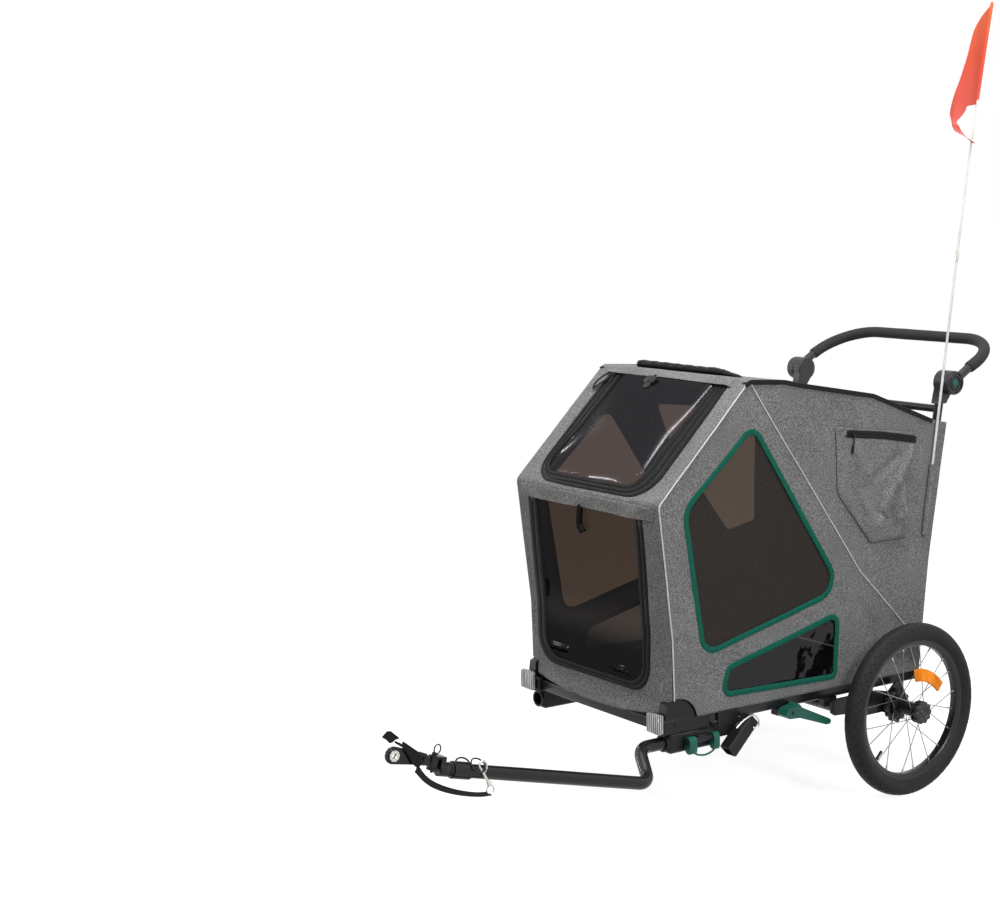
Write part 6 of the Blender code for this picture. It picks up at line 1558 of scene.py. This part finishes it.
def door_cloth():
    """Rings shrink from the door's outline; the height is a slack dome with ripples."""
    s = np.linspace(1, 0.02, 30)[:, None]
    flat = shrink(DOOR, s)
    wave = ripple(flat.reshape(-1, 2), 0.0016, 6.0).reshape(flat.shape[:2])
    p = on_rear(flat[..., 0], flat[..., 1], 0.0012 + (1 - s ** 2) ** 0.6 * (0.004 + wave))
    return p, tube_faces(*flat.shape[:2], first=False)


def door_zip():
    """A tape round the door with a raised row of teeth in its middle."""
    half_width = np.array([-0.009, -0.008, -0.0025, -0.0015])
    half_lift = np.array([0.0008, 0.0016, 0.0018, 0.0034])
    width = np.concatenate([half_width, -half_width[::-1]])
    lift = np.concatenate([half_lift, half_lift[::-1]])
    return two_skins(on_rear, DOOR[:, None] + beside(DOOR)[:, None] * width[None, :, None], lift[None],
                     0.0004, True)


sheet("rear_door_cloth", door_cloth(), CLOTH, "back_door", "rear_door", thick=0.0012, flip=True)
make("rear_door_zip", door_zip(), ZIP_TAPE, "back_door", slot="binding", close=True)
print("cabin cloth done:", len(MADE))

# %% [markdown]
# ## Pocket
#
# A cargo pocket is sewn flat to the left wall along its front edge and stands out at
# its lower rear corner, where things inside have stretched it. Its depth is a soft
# step at the rim plus folds that fan out from the zip's rear end.

# %% Pocket cloth, zip and pull
POCKET = rounded_outline([(-0.196, 0.87), (-0.184, 0.717), (-0.072, 0.592), (0.04, 0.594), (0.046, 0.603),
                          (0.041, 0.708), (0.071, 0.813), (0.062, 0.838)],
                         [0.008, 0.04, 0.022, 0.006, 0.006, 0.06, 0.012, 0.008], 260)
POCKET_RIDGES = [((0.056, 0.8), (-0.03, 0.69), 0.0034, 0.011), ((-0.026, 0.7), (-0.052, 0.625), 0.003, 0.01),
                 ((0.062, 0.775), (0.015, 0.705), -0.0032, 0.008),
                 ((0.02, 0.69), (0.03, 0.62), 0.0032, 0.009),
                 ((-0.008, 0.675), (0.002, 0.612), -0.0036, 0.009),
                 ((-0.15, 0.835), (-0.08, 0.74), 0.0018, 0.016),
                 ((-0.165, 0.76), (-0.1, 0.65), -0.0014, 0.014), ((-0.11, 0.7), (-0.06, 0.62), 0.0018, 0.012),
                 ((0.01, 0.79), (-0.08, 0.735), -0.0022, 0.011),
                 ((0.012, 0.64), (0.036, 0.664), 0.0026, 0.006),
                 ((-0.06, 0.668), (-0.02, 0.64), -0.002, 0.007), ((0.0, 0.735), (0.034, 0.7), 0.0022, 0.008),
                 ((-0.188, 0.8665), (-0.12, 0.862), 0.004, 0.005),
                 ((-0.12, 0.862), (0.058, 0.838), 0.0032, 0.0045),
                 ((-0.184, 0.85), (-0.168, 0.864), -0.0026, 0.005),
                 ((-0.172, 0.848), (-0.16, 0.858), 0.0022, 0.004)]


def pocket_depth(flat):
    """The cloth rises from the rim as 1 - exp(-distance / 5 mm), to a body that is
    deeper at the lower rear, plus its folds."""
    distance = np.linalg.norm(flat[:, None] - POCKET[None, ::2], axis=2).min(1)
    rear_low = held((flat[:, 0] + 0.16) / 0.2) * held((0.82 - flat[:, 1]) / 0.14)
    rise = 1 - np.exp(-distance / 0.005)
    d = 0.0008 + rise * (0.0036 + 0.0062 * rear_low + 2.4 * folds(flat, POCKET_RIDGES)
                         + ripple(flat * 1.8, 0.0009, 2.0))
    return np.clip(d, 0.0006, 0.02)


def pocket_cloth():
    """Rings that shrink towards a point in the pocket's middle, closer at its rim."""
    s = 1 - 0.99 * np.linspace(0, 1, 56)[:, None] ** 1.2
    flat = shrink(POCKET, s, np.array([-0.055, 0.725])).reshape(-1, 2)
    points = np.concatenate([(SKIN_X + pocket_depth(flat))[:, None], flat], 1)
    return points, tube_faces(56, len(POCKET), first=False)


sheet("pocket_cloth", pocket_cloth(), CLOTH, "chassis", "pocket", thick=0.0008)


def pocket_zip():
    """A dark strip 17 mm tall below the flap: it follows the pocket's cloth, and a
    groove runs along its middle where the teeth meet."""
    n, m = 110, 13
    u, v = np.linspace(0, 1, n)[:, None], np.linspace(-1, 1, m)[None, :]
    y = np.interp(u, [0, 0.04, 0.5, 1], [-0.168, -0.16, -0.045, 0.068]) + 0 * v
    half = np.interp(u, [0, 0.02, 0.06, 0.97, 1], [0.004, 0.0078, 0.0086, 0.0088, 0.007])
    z = np.interp(u, [0, 0.5, 1], [0.852, 0.8395, 0.8215]) + v * half
    ground = pocket_depth(np.stack([y, z], -1).reshape(-1, 2)).reshape(n, m)
    lift = ground + 0.0016 + 0.0014 * (1 - v ** 2) - 0.0012 * np.exp(-(v / 0.12) ** 2)
    top = np.stack([SKIN_X + lift, y, z], -1)
    points = np.concatenate([top, top[:, ::-1] - (0.0024, 0, 0)], 1)
    return points, tube_faces(n, 2 * m)


make("pocket_zip", pocket_zip(), ZIP_TAPE, "chassis", slot="binding", close=True)


def zip_pull():
    """A metal slider, and under it a cord loop ending in a moulded tab."""
    x = SKIN_X + float(pocket_depth(np.array([(-0.148, 0.838)]))[0]) + 0.005
    slider = rods([(x, -0.15, 0.852)], [(x, -0.144, 0.843)], 0.0036, 12)
    cord = flow([(x + 0.001, -0.146, 0.844), (x + 0.0016, -0.1462, 0.834), (x + 0.001, -0.148, 0.824)], 24)
    tab = flow([(x + 0.001, -0.148, 0.826), (x + 0.001, -0.149, 0.816), (x + 0.0008, -0.1496, 0.805)], 16)
    thick = np.interp(np.linspace(0, 1, 16), [0, 0.15, 0.8, 1], [0.0015, 0.003, 0.0029, 0.0016])
    return merge(slider, tube(cord, 0.0016, 10, up=(1, 0, 0)), tube(tab, thick, 12, up=(1, 0, 0)))


make("pocket_pull", zip_pull(), PLASTIC, "chassis", slot="black_plastic", close=True)

# %% [markdown]
# ## Floor mat
#
# The mat is a thin quilt that lies between the rails: closed, crowned between its
# seams and flat below. Its height is a pad edge times a quilting of shallow channels.


# %% Quilted mat
def mat_shape():
    """Height = thickness x edge^0.5 x (1 - 0.3 x |cos|^18 of the quilting lines), plus
    a slight unevenness."""
    low, high = (np.array(corner) - (0, AXLE_Y, 0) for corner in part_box("floor_mat"))
    (cx, cy, _), (hx, hy, _), z0, z1 = (low + high) / 2, (high - low) / 2, low[2], high[2]
    n, m = 90, 150
    u, v = np.linspace(-1, 1, n)[:, None], np.linspace(-1, 1, m)[None, :]
    x, y = cx + u * hx, cy + v * hy
    edge = held(np.minimum((1 - np.abs(u)) * hx, (1 - np.abs(v)) * hy) / 0.01) ** 0.5
    seams = np.maximum(np.abs(np.cos(x * math.pi / 0.095)) ** 18, np.abs(np.cos(y * math.pi / 0.11)) ** 18)
    top_z = z0 + 0.001 + (z1 - z0 - 0.001) * edge * (1 - 0.3 * seams) + 0.0004 * np.sin(31 * x + 17 * y)
    skins = [stacked(x, y, z).reshape(-1, 3) for z in (np.minimum(top_z, z1), z0)]
    return np.concatenate(skins), slab_faces(n, m)


quilt = make("quilted_mat", mat_shape(), MAT_CLOTH, "chassis", "floor_mat", "mat", close=True, sharp=0)

# %% [markdown]
# ## Hitch details and the safety strap
#
# The strap is flat webbing. Its stitched end is folded round the hitch plate, and its
# free length hangs in a curve below the hitch to a snap hook on the drawbar. The
# webbing's section is a flat, rounded bar that twists by 56 degrees on its way.

# %% Safety strap
def in_plane(points, x=0.3185):
    """Points of the side view, all at one distance across the trailer."""
    return np.array([(x, y, z) for y, z in points])


STRAP_X, STRAP_W = 0.3156, 0.019
ROUTE = [(-1.3575, 0.306), (-1.35, 0.296), (-1.339, 0.283), (-1.322, 0.269), (-1.298, 0.2555),
         (-1.2694, 0.2435), (-1.24, 0.234), (-1.213, 0.2276), (-1.19, 0.2249)]
strap_line = flow(in_plane(ROUTE, STRAP_X), 90)


def webbing_along(line, width, thickness, first, last):
    """Section: a flat bar with round edges, turned from the first angle to the last."""
    t = unit(np.gradient(line, axis=0))
    side = unit(np.cross(t, (1.0, 0, 0)))
    turn = np.radians(first + (last - first) * np.linspace(0, 1, len(line)) ** 0.7)[:, None]
    wide = side * np.cos(turn) + np.array([1.0, 0, 0]) * np.sin(turn)
    thick = np.cross(t, wide)
    across, out = flat_oval(width, thickness, 18, 0.25, 0.6)
    rib = 1 + 0.1 * np.sin(np.arange(len(line)) * 2.3)[:, None]
    points = line[:, None] + wide[:, None] * across[None, :, None]
    points = points + thick[:, None] * (out[None] * rib)[..., None]
    return points, tube_faces(*points.shape[:2])


webbing_shape = webbing_along(strap_line, STRAP_W, 0.0022, 28, 84)
strap = make("strap_webbing", webbing_shape, STRAP_CLOTH, "drawbar", "safety_strap", "binding", close=True)
strap_length = float(np.linalg.norm(np.diff(strap_line, axis=0), axis=1).sum())


def snap_hook():
    """The spine runs up, curls over the ring and comes back to itself. Below it are
    the swivel's collar with its knob and the eye that the webbing passes through."""
    spine = flow(in_plane([(-1.1925, 0.246), (-1.201, 0.2625), (-1.2095, 0.2765), (-1.2148, 0.285),
                           (-1.2132, 0.2915), (-1.2065, 0.2938), (-1.1995, 0.289), (-1.1975, 0.281),
                           (-1.2008, 0.2735), (-1.2052, 0.2694)]), 110)
    thick = np.interp(np.linspace(0, 1, 110), [0, 0.05, 0.42, 0.5, 0.95, 1],
                      [0.003, 0.0027, 0.0026, 0.0022, 0.0019, 0.0016])
    collar = rods(in_plane([(-1.195, 0.251)]), in_plane([(-1.1912, 0.2425)]), 0.0036, 20, 0.0044)
    knob = rods([(0.3185, -1.1905, 0.2472)], [(0.3185, -1.185, 0.249)], 0.0016, 12, 0.0026)
    eye = round_axle(0.3185, 0.0085, circle(48)) + (0, -1.1893, 0.2335)
    return merge(tube(spine, thick, 14, up=(1, 0, 0)), collar, knob,
                 tube(eye, 0.0017, 12, up=(1, 0, 0), closed=True))


def ring_and_tether():
    """A steel ring that lies against the drawbar's sleeve, and the cord that keeps it."""
    bar = np.array([0.0, -0.9715, 0.237])
    out = unit(np.array([0.63, 0.18, 0.75]))
    out = unit(out - bar * (out @ bar))
    level = np.cross(out, bar)
    t = circle(64)[:, None]
    centre = np.array([0.3, -1.2165, 0.2709]) + out * 0.0196
    ring_line = centre + 0.0165 * (bar * np.cos(t) + level * np.sin(t))
    cord = flow([(0.303, -1.26, 0.3), (0.3035, -1.256, 0.304), (0.304, -1.248, 0.305),
                 (0.305, -1.238, 0.301), (0.308, -1.2315, 0.2945)], 50)
    return merge(tube(ring_line, 0.0016, 12, up=tuple(out), closed=True),
                 tube(cord, 0.0018, 12, up=(1, 0, 0)))


end_hook = make("snap_hook_steel", snap_hook(), PLATED, "drawbar", "snap_hook", "bright", close=True)
make("strap_ring_wire", ring_and_tether(), STEEL_PAINT, "drawbar", "strap_ring", "black_steel", close=True)
print("strap length:", round(strap_length, 3))

LOCK_AT = np.array([0.2556, 0.2165])
EAR_CORNERS = [(0.0104, 0.0), (0.0074, 0.0074), (0.0, 0.0104), (-0.0074, 0.0074), (-0.0104, 0.0),
               (-0.0088, -0.009), (-0.005, -0.023), (0.002, -0.027), (0.009, -0.0255), (0.0105, -0.014)]


def lock_ear(y0, y1):
    """A plate hooked round the shaft: every outline point has a partner on the bore at
    the same angle, and the section between them has small bevels."""
    outline = even(flow(EAR_CORNERS + EAR_CORNERS[:1], 120), 97)[:-1]
    bore = 0.0067 * unit(outline)
    small = outline * (1 - 0.0009 / np.linalg.norm(outline, axis=1, keepdims=True))
    rows = [(bore, y0), (small, y0), (outline, y0 + 0.0009), (outline, y1 - 0.0009), (small, y1), (bore, y1)]
    points = [np.insert(LOCK_AT + q, 1, y, axis=1) for q, y in rows]
    return np.concatenate(points), grid_faces(len(rows), len(outline), True, True)


bail = flow([(0.259, -0.613, 0.193), (0.26, -0.6, 0.185), (0.2605, -0.58, 0.1815), (0.26, -0.56, 0.185),
             (0.259, -0.548, 0.193)], 60)
make("lock_handle_plastic", merge(lock_ear(-0.627, -0.606), lock_ear(-0.557, -0.541),
                                  tube(bail, 0.0022, 14, up=(1, 0, 0))), GREEN_PLASTIC, "lock_handle",
     "drawbar_lock_handle", "green", close=True)

TABS = [[(-1.4345, 0.38), (-1.4229, 0.3895), (-1.4143, 0.3886), (-1.3955, 0.3724), (-1.3968, 0.3699),
         (-1.403, 0.3702), (-1.411, 0.3655), (-1.4169, 0.365), (-1.4246, 0.3732)],
        [(-1.408, 0.37), (-1.392, 0.361), (-1.386, 0.354), (-1.39, 0.353), (-1.406, 0.364)],
        [(-1.3885, 0.3652), (-1.354, 0.3385), (-1.344, 0.326), (-1.342, 0.314), (-1.356, 0.306),
         (-1.366, 0.315), (-1.38, 0.34), (-1.3925, 0.356)]]


def tab_shape(corners, step):
    """Stitched webbing: rings shrink from the outline; the face sinks along a row of
    stitches that runs beside its edges."""
    s = np.linspace(1, 0.02, 18)[:, None]
    flat = shrink(rounded_outline(corners, 0.0018, 120), s)
    lift = 0.0012 * held((1 - s) / 0.08) ** 0.5 - 0.0005 * np.exp(-((s - 0.72) / 0.04) ** 2)
    top, under = (stacked(STRAP_X + step + side * lift, *np.moveaxis(flat, -1, 0)) for side in (1, -1))
    faces = tube_faces(*flat.shape[:2], first=False)
    return merge((top, faces), (under, [q[::-1] for q in faces]))


tabs = merge(*(tab_shape(corners, 0.0006 * k) for k, corners in enumerate(TABS)))
make("strap_tab_cloth", tabs, STRAP_CLOTH, "hitch", "strap_tab", "binding", close=True)

# %% [markdown]
# ## Pennant
#
# The pole is a thin pale rod in two lengths with a metal joint, in a cloth sleeve on
# the rear post. The pennant is a triangle of light nylon that hangs in deep folds
# from the top of the pole. It is a sheet of two parameters: the distance from the
# pole and the height. Away from the pole it drops, narrows and swings in waves.

# %% Pole and sleeve
POLE_X = 0.2572
POLE_FOOT, POLE_MID, POLE_TOP = np.array([0.103, 0.6]), np.array([0.184, 1.2435]), np.array([0.2751, 1.8228])
POLE_K = float((POLE_MID - POLE_FOOT)[0] / (POLE_MID - POLE_FOOT)[1])


def on_pole(z):
    """Straight up to the joint, then a parabola that starts at the same slope."""
    h = POLE_TOP[1] - POLE_MID[1]
    t = np.clip((z - POLE_MID[1]) / h, 0, 2)
    end_slope = 2 * (POLE_TOP[0] - POLE_MID[0]) - POLE_K * h
    upper = POLE_MID[0] + POLE_K * h * t + (end_slope - POLE_K * h) * t * t / 2
    return np.where(z <= POLE_MID[1], POLE_FOOT[0] + POLE_K * (z - POLE_FOOT[1]), upper)


def pole_part(z0, z1, radius, count, sides=18):
    """A round rod along the pole's line between two heights."""
    z = np.linspace(z0, z1, count)
    return tube(np.stack([np.full(count, POLE_X), on_pole(z), z], -1), radius, sides, up=(1, 0, 0))


rod_radius = np.interp(np.arange(80), [0, 40, 50, 79], [0.003, 0.0029, 0.0024, 0.002])
rod = pole_part(POLE_FOOT[1], POLE_TOP[1] + 0.001, rod_radius, 80)
make("pole_rod", rod, POLE_FINISH, "pennant", "flag_pole", "pole", close=True)
joint = pole_part(POLE_MID[1] - 0.012, POLE_MID[1] + 0.012, 0.0042, 10)
make("pole_joint", joint, PLATED, "pennant", slot="bright", close=True)


def sleeve_shape():
    """A cloth tube, a little oval and wrinkled, open at the top round the pole."""
    z, a = np.linspace(0.5945, 0.76, 60)[:, None], circle(28)[None]
    r = 0.0066 + 0.00035 * np.sin(z * 190) * np.cos(a - 1.0) + 0.0001 * np.sin(a * 3 + 40 * z)
    outer, hole = (stacked(POLE_X + size * np.cos(a), on_pole(z) + size * np.sin(a), z)
                   for size in (r, 0.004))
    points = np.concatenate([outer, hole[::-1]])
    return points, grid_faces(*points.shape[:2], True, True)


make("pole_sleeve_cloth", sleeve_shape(), CLOTH, "rear_posts", "pole_sleeve", "fabric", close=True)

# %% Pennant cloth
# The sheet hangs between two lines, both from the top to the tip: the near one follows
# the pole, then the lower hem, then the upper side of the tail; the far one follows
# the outer edge and the tail's lower side.
NEAR = [(0.2735, 1.819), (0.2678, 1.7864), (0.2569, 1.7179), (0.2466, 1.6492), (0.2393, 1.6034),
        (0.233, 1.593), (0.1995, 1.587), (0.1935, 1.5768), (0.1769, 1.5571), (0.1716, 1.5467),
        (0.1834, 1.5323), (0.2031, 1.518), (0.2245, 1.5047)]
FAR = [(0.2725, 1.8192), (0.252, 1.8033), (0.2322, 1.7841), (0.2162, 1.7607), (0.2073, 1.7333),
       (0.1986, 1.7013), (0.1866, 1.6692), (0.173, 1.6326), (0.1589, 1.5938), (0.1451, 1.5573),
       (0.1504, 1.5337), (0.1823, 1.5202), (0.224, 1.5034)]


def pennant_sheet():
    """Point = near line + share x (far line - near line), swung sideways by waves that
    grow with the distance from the pole. The tail turns back over itself."""
    near, far = through(NEAR), through(FAR)
    n, m = len(near), 60
    key, share = np.linspace(0, 12, n)[:, None], np.linspace(0, 1, m)[None, :]
    flat = near[:, None] + (far - near)[:, None] * share[..., None]
    w = held((on_pole(flat[..., 1]) - flat[..., 0]) / 0.135)
    down = held((1.8228 - flat[..., 1]) / 0.32)
    wave = 0.0085 * np.sin(2 * math.pi * (1.25 * w + 0.1 * down)) * held(2.5 * w) * (0.3 + 0.8 * down)
    small = 0.0022 * np.sin(2 * math.pi * (3.4 * w + 1.3 * down)) * held(2.0 * w) * down
    tail = np.clip(key - 8.6, 0, 1.4) / 1.4
    turn_back = 0.004 * np.exp(-((key - 9.3) / 0.5) ** 2)
    x = POLE_X + (wave + small) * (1 - 0.8 * tail) + tail * (0.01 * (share - 0.2)) + turn_back
    return np.stack([x, flat[..., 0], flat[..., 1]], -1)


pennant = pennant_sheet()
flag_shape = (pennant, grid_faces(*pennant.shape[:2]))
flag = sheet("pennant_cloth", flag_shape, PENNANT, "pennant", "flag", "pennant", thick=0.0008, offset=0.0)
HEM_LOW, HEM_HIGH = 1.604, 1.8272
hem_radius = np.interp(np.linspace(HEM_LOW, HEM_HIGH, 60), [HEM_LOW, 1.818, 1.824, HEM_HIGH],
                       [0.0038, 0.0038, 0.0034, 0.0016])
hem_shape = pole_part(HEM_LOW, HEM_HIGH, hem_radius, 60, 16)
hem = make("pennant_hem", hem_shape, PENNANT, "pennant", slot="pennant", close=True)
across, down = np.diff(pennant, axis=1)[:-1], np.diff(pennant, axis=0)[:, :-1]
pennant_area = float(np.linalg.norm(np.cross(across, down), axis=-1).sum())
print("pennant area:", round(pennant_area, 4))
print("pennant done:", len(MADE))

# %% [markdown]
# ## Fold of the frame
#
# When the frame folds flat, the hoop and the posts turn down onto the base and the
# cloth crumples between them. The cloth that is sewn to the base can't follow one
# joint; here each such piece only gets a mesh of its own.

# %% Cloth pieces that get meshes of their own
FOLDING = [name + side for name in ("side_cloth", "window_net", "low_window_film", "window_binding",
                                    "low_window_binding", "front_piping", "slant_piping", "roof_zip")
           for side in ("_L", "_R")]
FOLDING += ["rear_door_cloth", "rear_door_zip", "rear_window_net", "rear_window_binding", "roof_cloth",
            "sun_cover_roll", "rear_cloth", "pocket_cloth", "pocket_zip", "pocket_pull"]
for piece in FOLDING:
    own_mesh(bpy.data.objects[piece])
print("folding pieces:", len(FOLDING))

# %% [markdown]
# ## Floor, backdrop and light
#
# The object stands on a white sweep, as in a catalogue picture. The camera sees it
# nearly white and still with a soft shadow, and mirrors and glass see plain white.
# A large lamp hangs above and another stands on the left, in an even, weak world.
# The small ones give the films the highlights that the photograph shows.

# %% Sweep
PAPER_LIFT, WORLD_LEVEL, FAR = 0.88, 0.29, 30
WHITE = (1, 1, 1, 1)
sweep_mesh = bpy.data.meshes.new("sweep")
sweep_mesh.from_pydata([(-FAR, -FAR, 0), (FAR, -FAR, 0), (FAR, FAR, 0), (-FAR, FAR, 0)], [], [(0, 1, 2, 3)])
sweep = bpy.data.objects.new("sweep", sweep_mesh)
bpy.context.scene.collection.objects.link(sweep)
paper = bpy.data.materials.new("white_paper")
paper.use_nodes = True
tree = paper.node_tree
tree.nodes.clear()
rays = add_node(tree, "LightPath").outputs
mirror_or_glass = add_node(tree, "Math", {0: rays["Is Glossy Ray"], 1: rays["Is Transmission Ray"]},
                           operation="MAXIMUM")
lift = add_node(tree, "Math", {0: rays["Is Camera Ray"], 1: PAPER_LIFT}, operation="MULTIPLY")
diffuse = add_node(tree, "BsdfDiffuse", {"Color": (0.42, 0.42, 0.42, 1.0)})
glow = add_node(tree, "Emission", {"Color": WHITE, "Strength": lift.outputs[0]})
lifted = add_node(tree, "AddShader", {0: diffuse.outputs[0], 1: glow.outputs[0]})
plain = add_node(tree, "Emission", {"Color": WHITE})
chooser = add_node(tree, "MixShader", {0: mirror_or_glass.outputs[0], 1: lifted.outputs[0],
                                       2: plain.outputs[0]})
add_node(tree, "OutputMaterial", {"Surface": chooser.outputs[0]})
sweep_mesh.materials.append(paper)

# %% World and lamps
world = bpy.data.worlds.new("studio")
bpy.context.scene.world = world
world.use_nodes = True
tree = world.node_tree
tree.nodes.clear()
rays = add_node(tree, "LightPath").outputs
seen = add_node(tree, "Math", {0: rays["Is Camera Ray"], 1: rays["Is Transmission Ray"]}, operation="MAXIMUM")
seen = add_node(tree, "Math", {0: seen.outputs[0], 1: rays["Is Glossy Ray"]}, operation="MAXIMUM")
level = add_node(tree, "MapRange", {"Value": seen.outputs[0], "To Min": WORLD_LEVEL, "To Max": 1.0})
sky = add_node(tree, "Background", {"Color": WHITE, "Strength": level.outputs[0]})
add_node(tree, "OutputWorld", {"Surface": sky.outputs[0]})


def soft_lamp(name, place, target, size, power):
    """A rectangular lamp at a place, turned to a target, with its size and its watts."""
    lamp = bpy.data.lights.new(name, "AREA")
    lamp.shape = "RECTANGLE"
    lamp.size, lamp.size_y = size
    lamp.energy = power
    obj = bpy.data.objects.new(name, lamp)
    bpy.context.scene.collection.objects.link(obj)
    obj.location = place
    obj.rotation_mode = "QUATERNION"
    obj.rotation_quaternion = (Vector(place) - Vector(target)).to_track_quat("Z", "Y")


for row in (("high_box", (0.6, -0.2, 3.6), (0, 0, 0.5), (1.7, 1.7), 74),
            ("side_box", (3.6, -0.2, 2.6), (0, -0.1, 0.7), (0.7, 1.3), 60),
            ("front_strip", (-2.5, -1.7, 1.95), (0, -0.15, 0.77), (0.3, 0.12), 7),
            ("low_glint", (-2.67, -1.51, 0.54), (-0.1, -0.15, 0.35), (0.35, 0.12), 6),
            ("low_strip", (-2.0, -2.3, 0.52), (0.11, -0.15, 0.35), (0.35, 0.12), 6),
            ("overhead_glint", (-0.6, -1.1, 3.35), (0.15, 0, 0.9), (0.12, 0.3), 6),
            ("far_glint", (-2.95, 0.025, 2.09), (-0.16, -0.13, 0.79), (0.32, 0.25), 10)):
    soft_lamp(*row)
bpy.context.scene.view_settings.view_transform = "Standard"

# %% Count the pieces
print("pieces:", len(MADE))
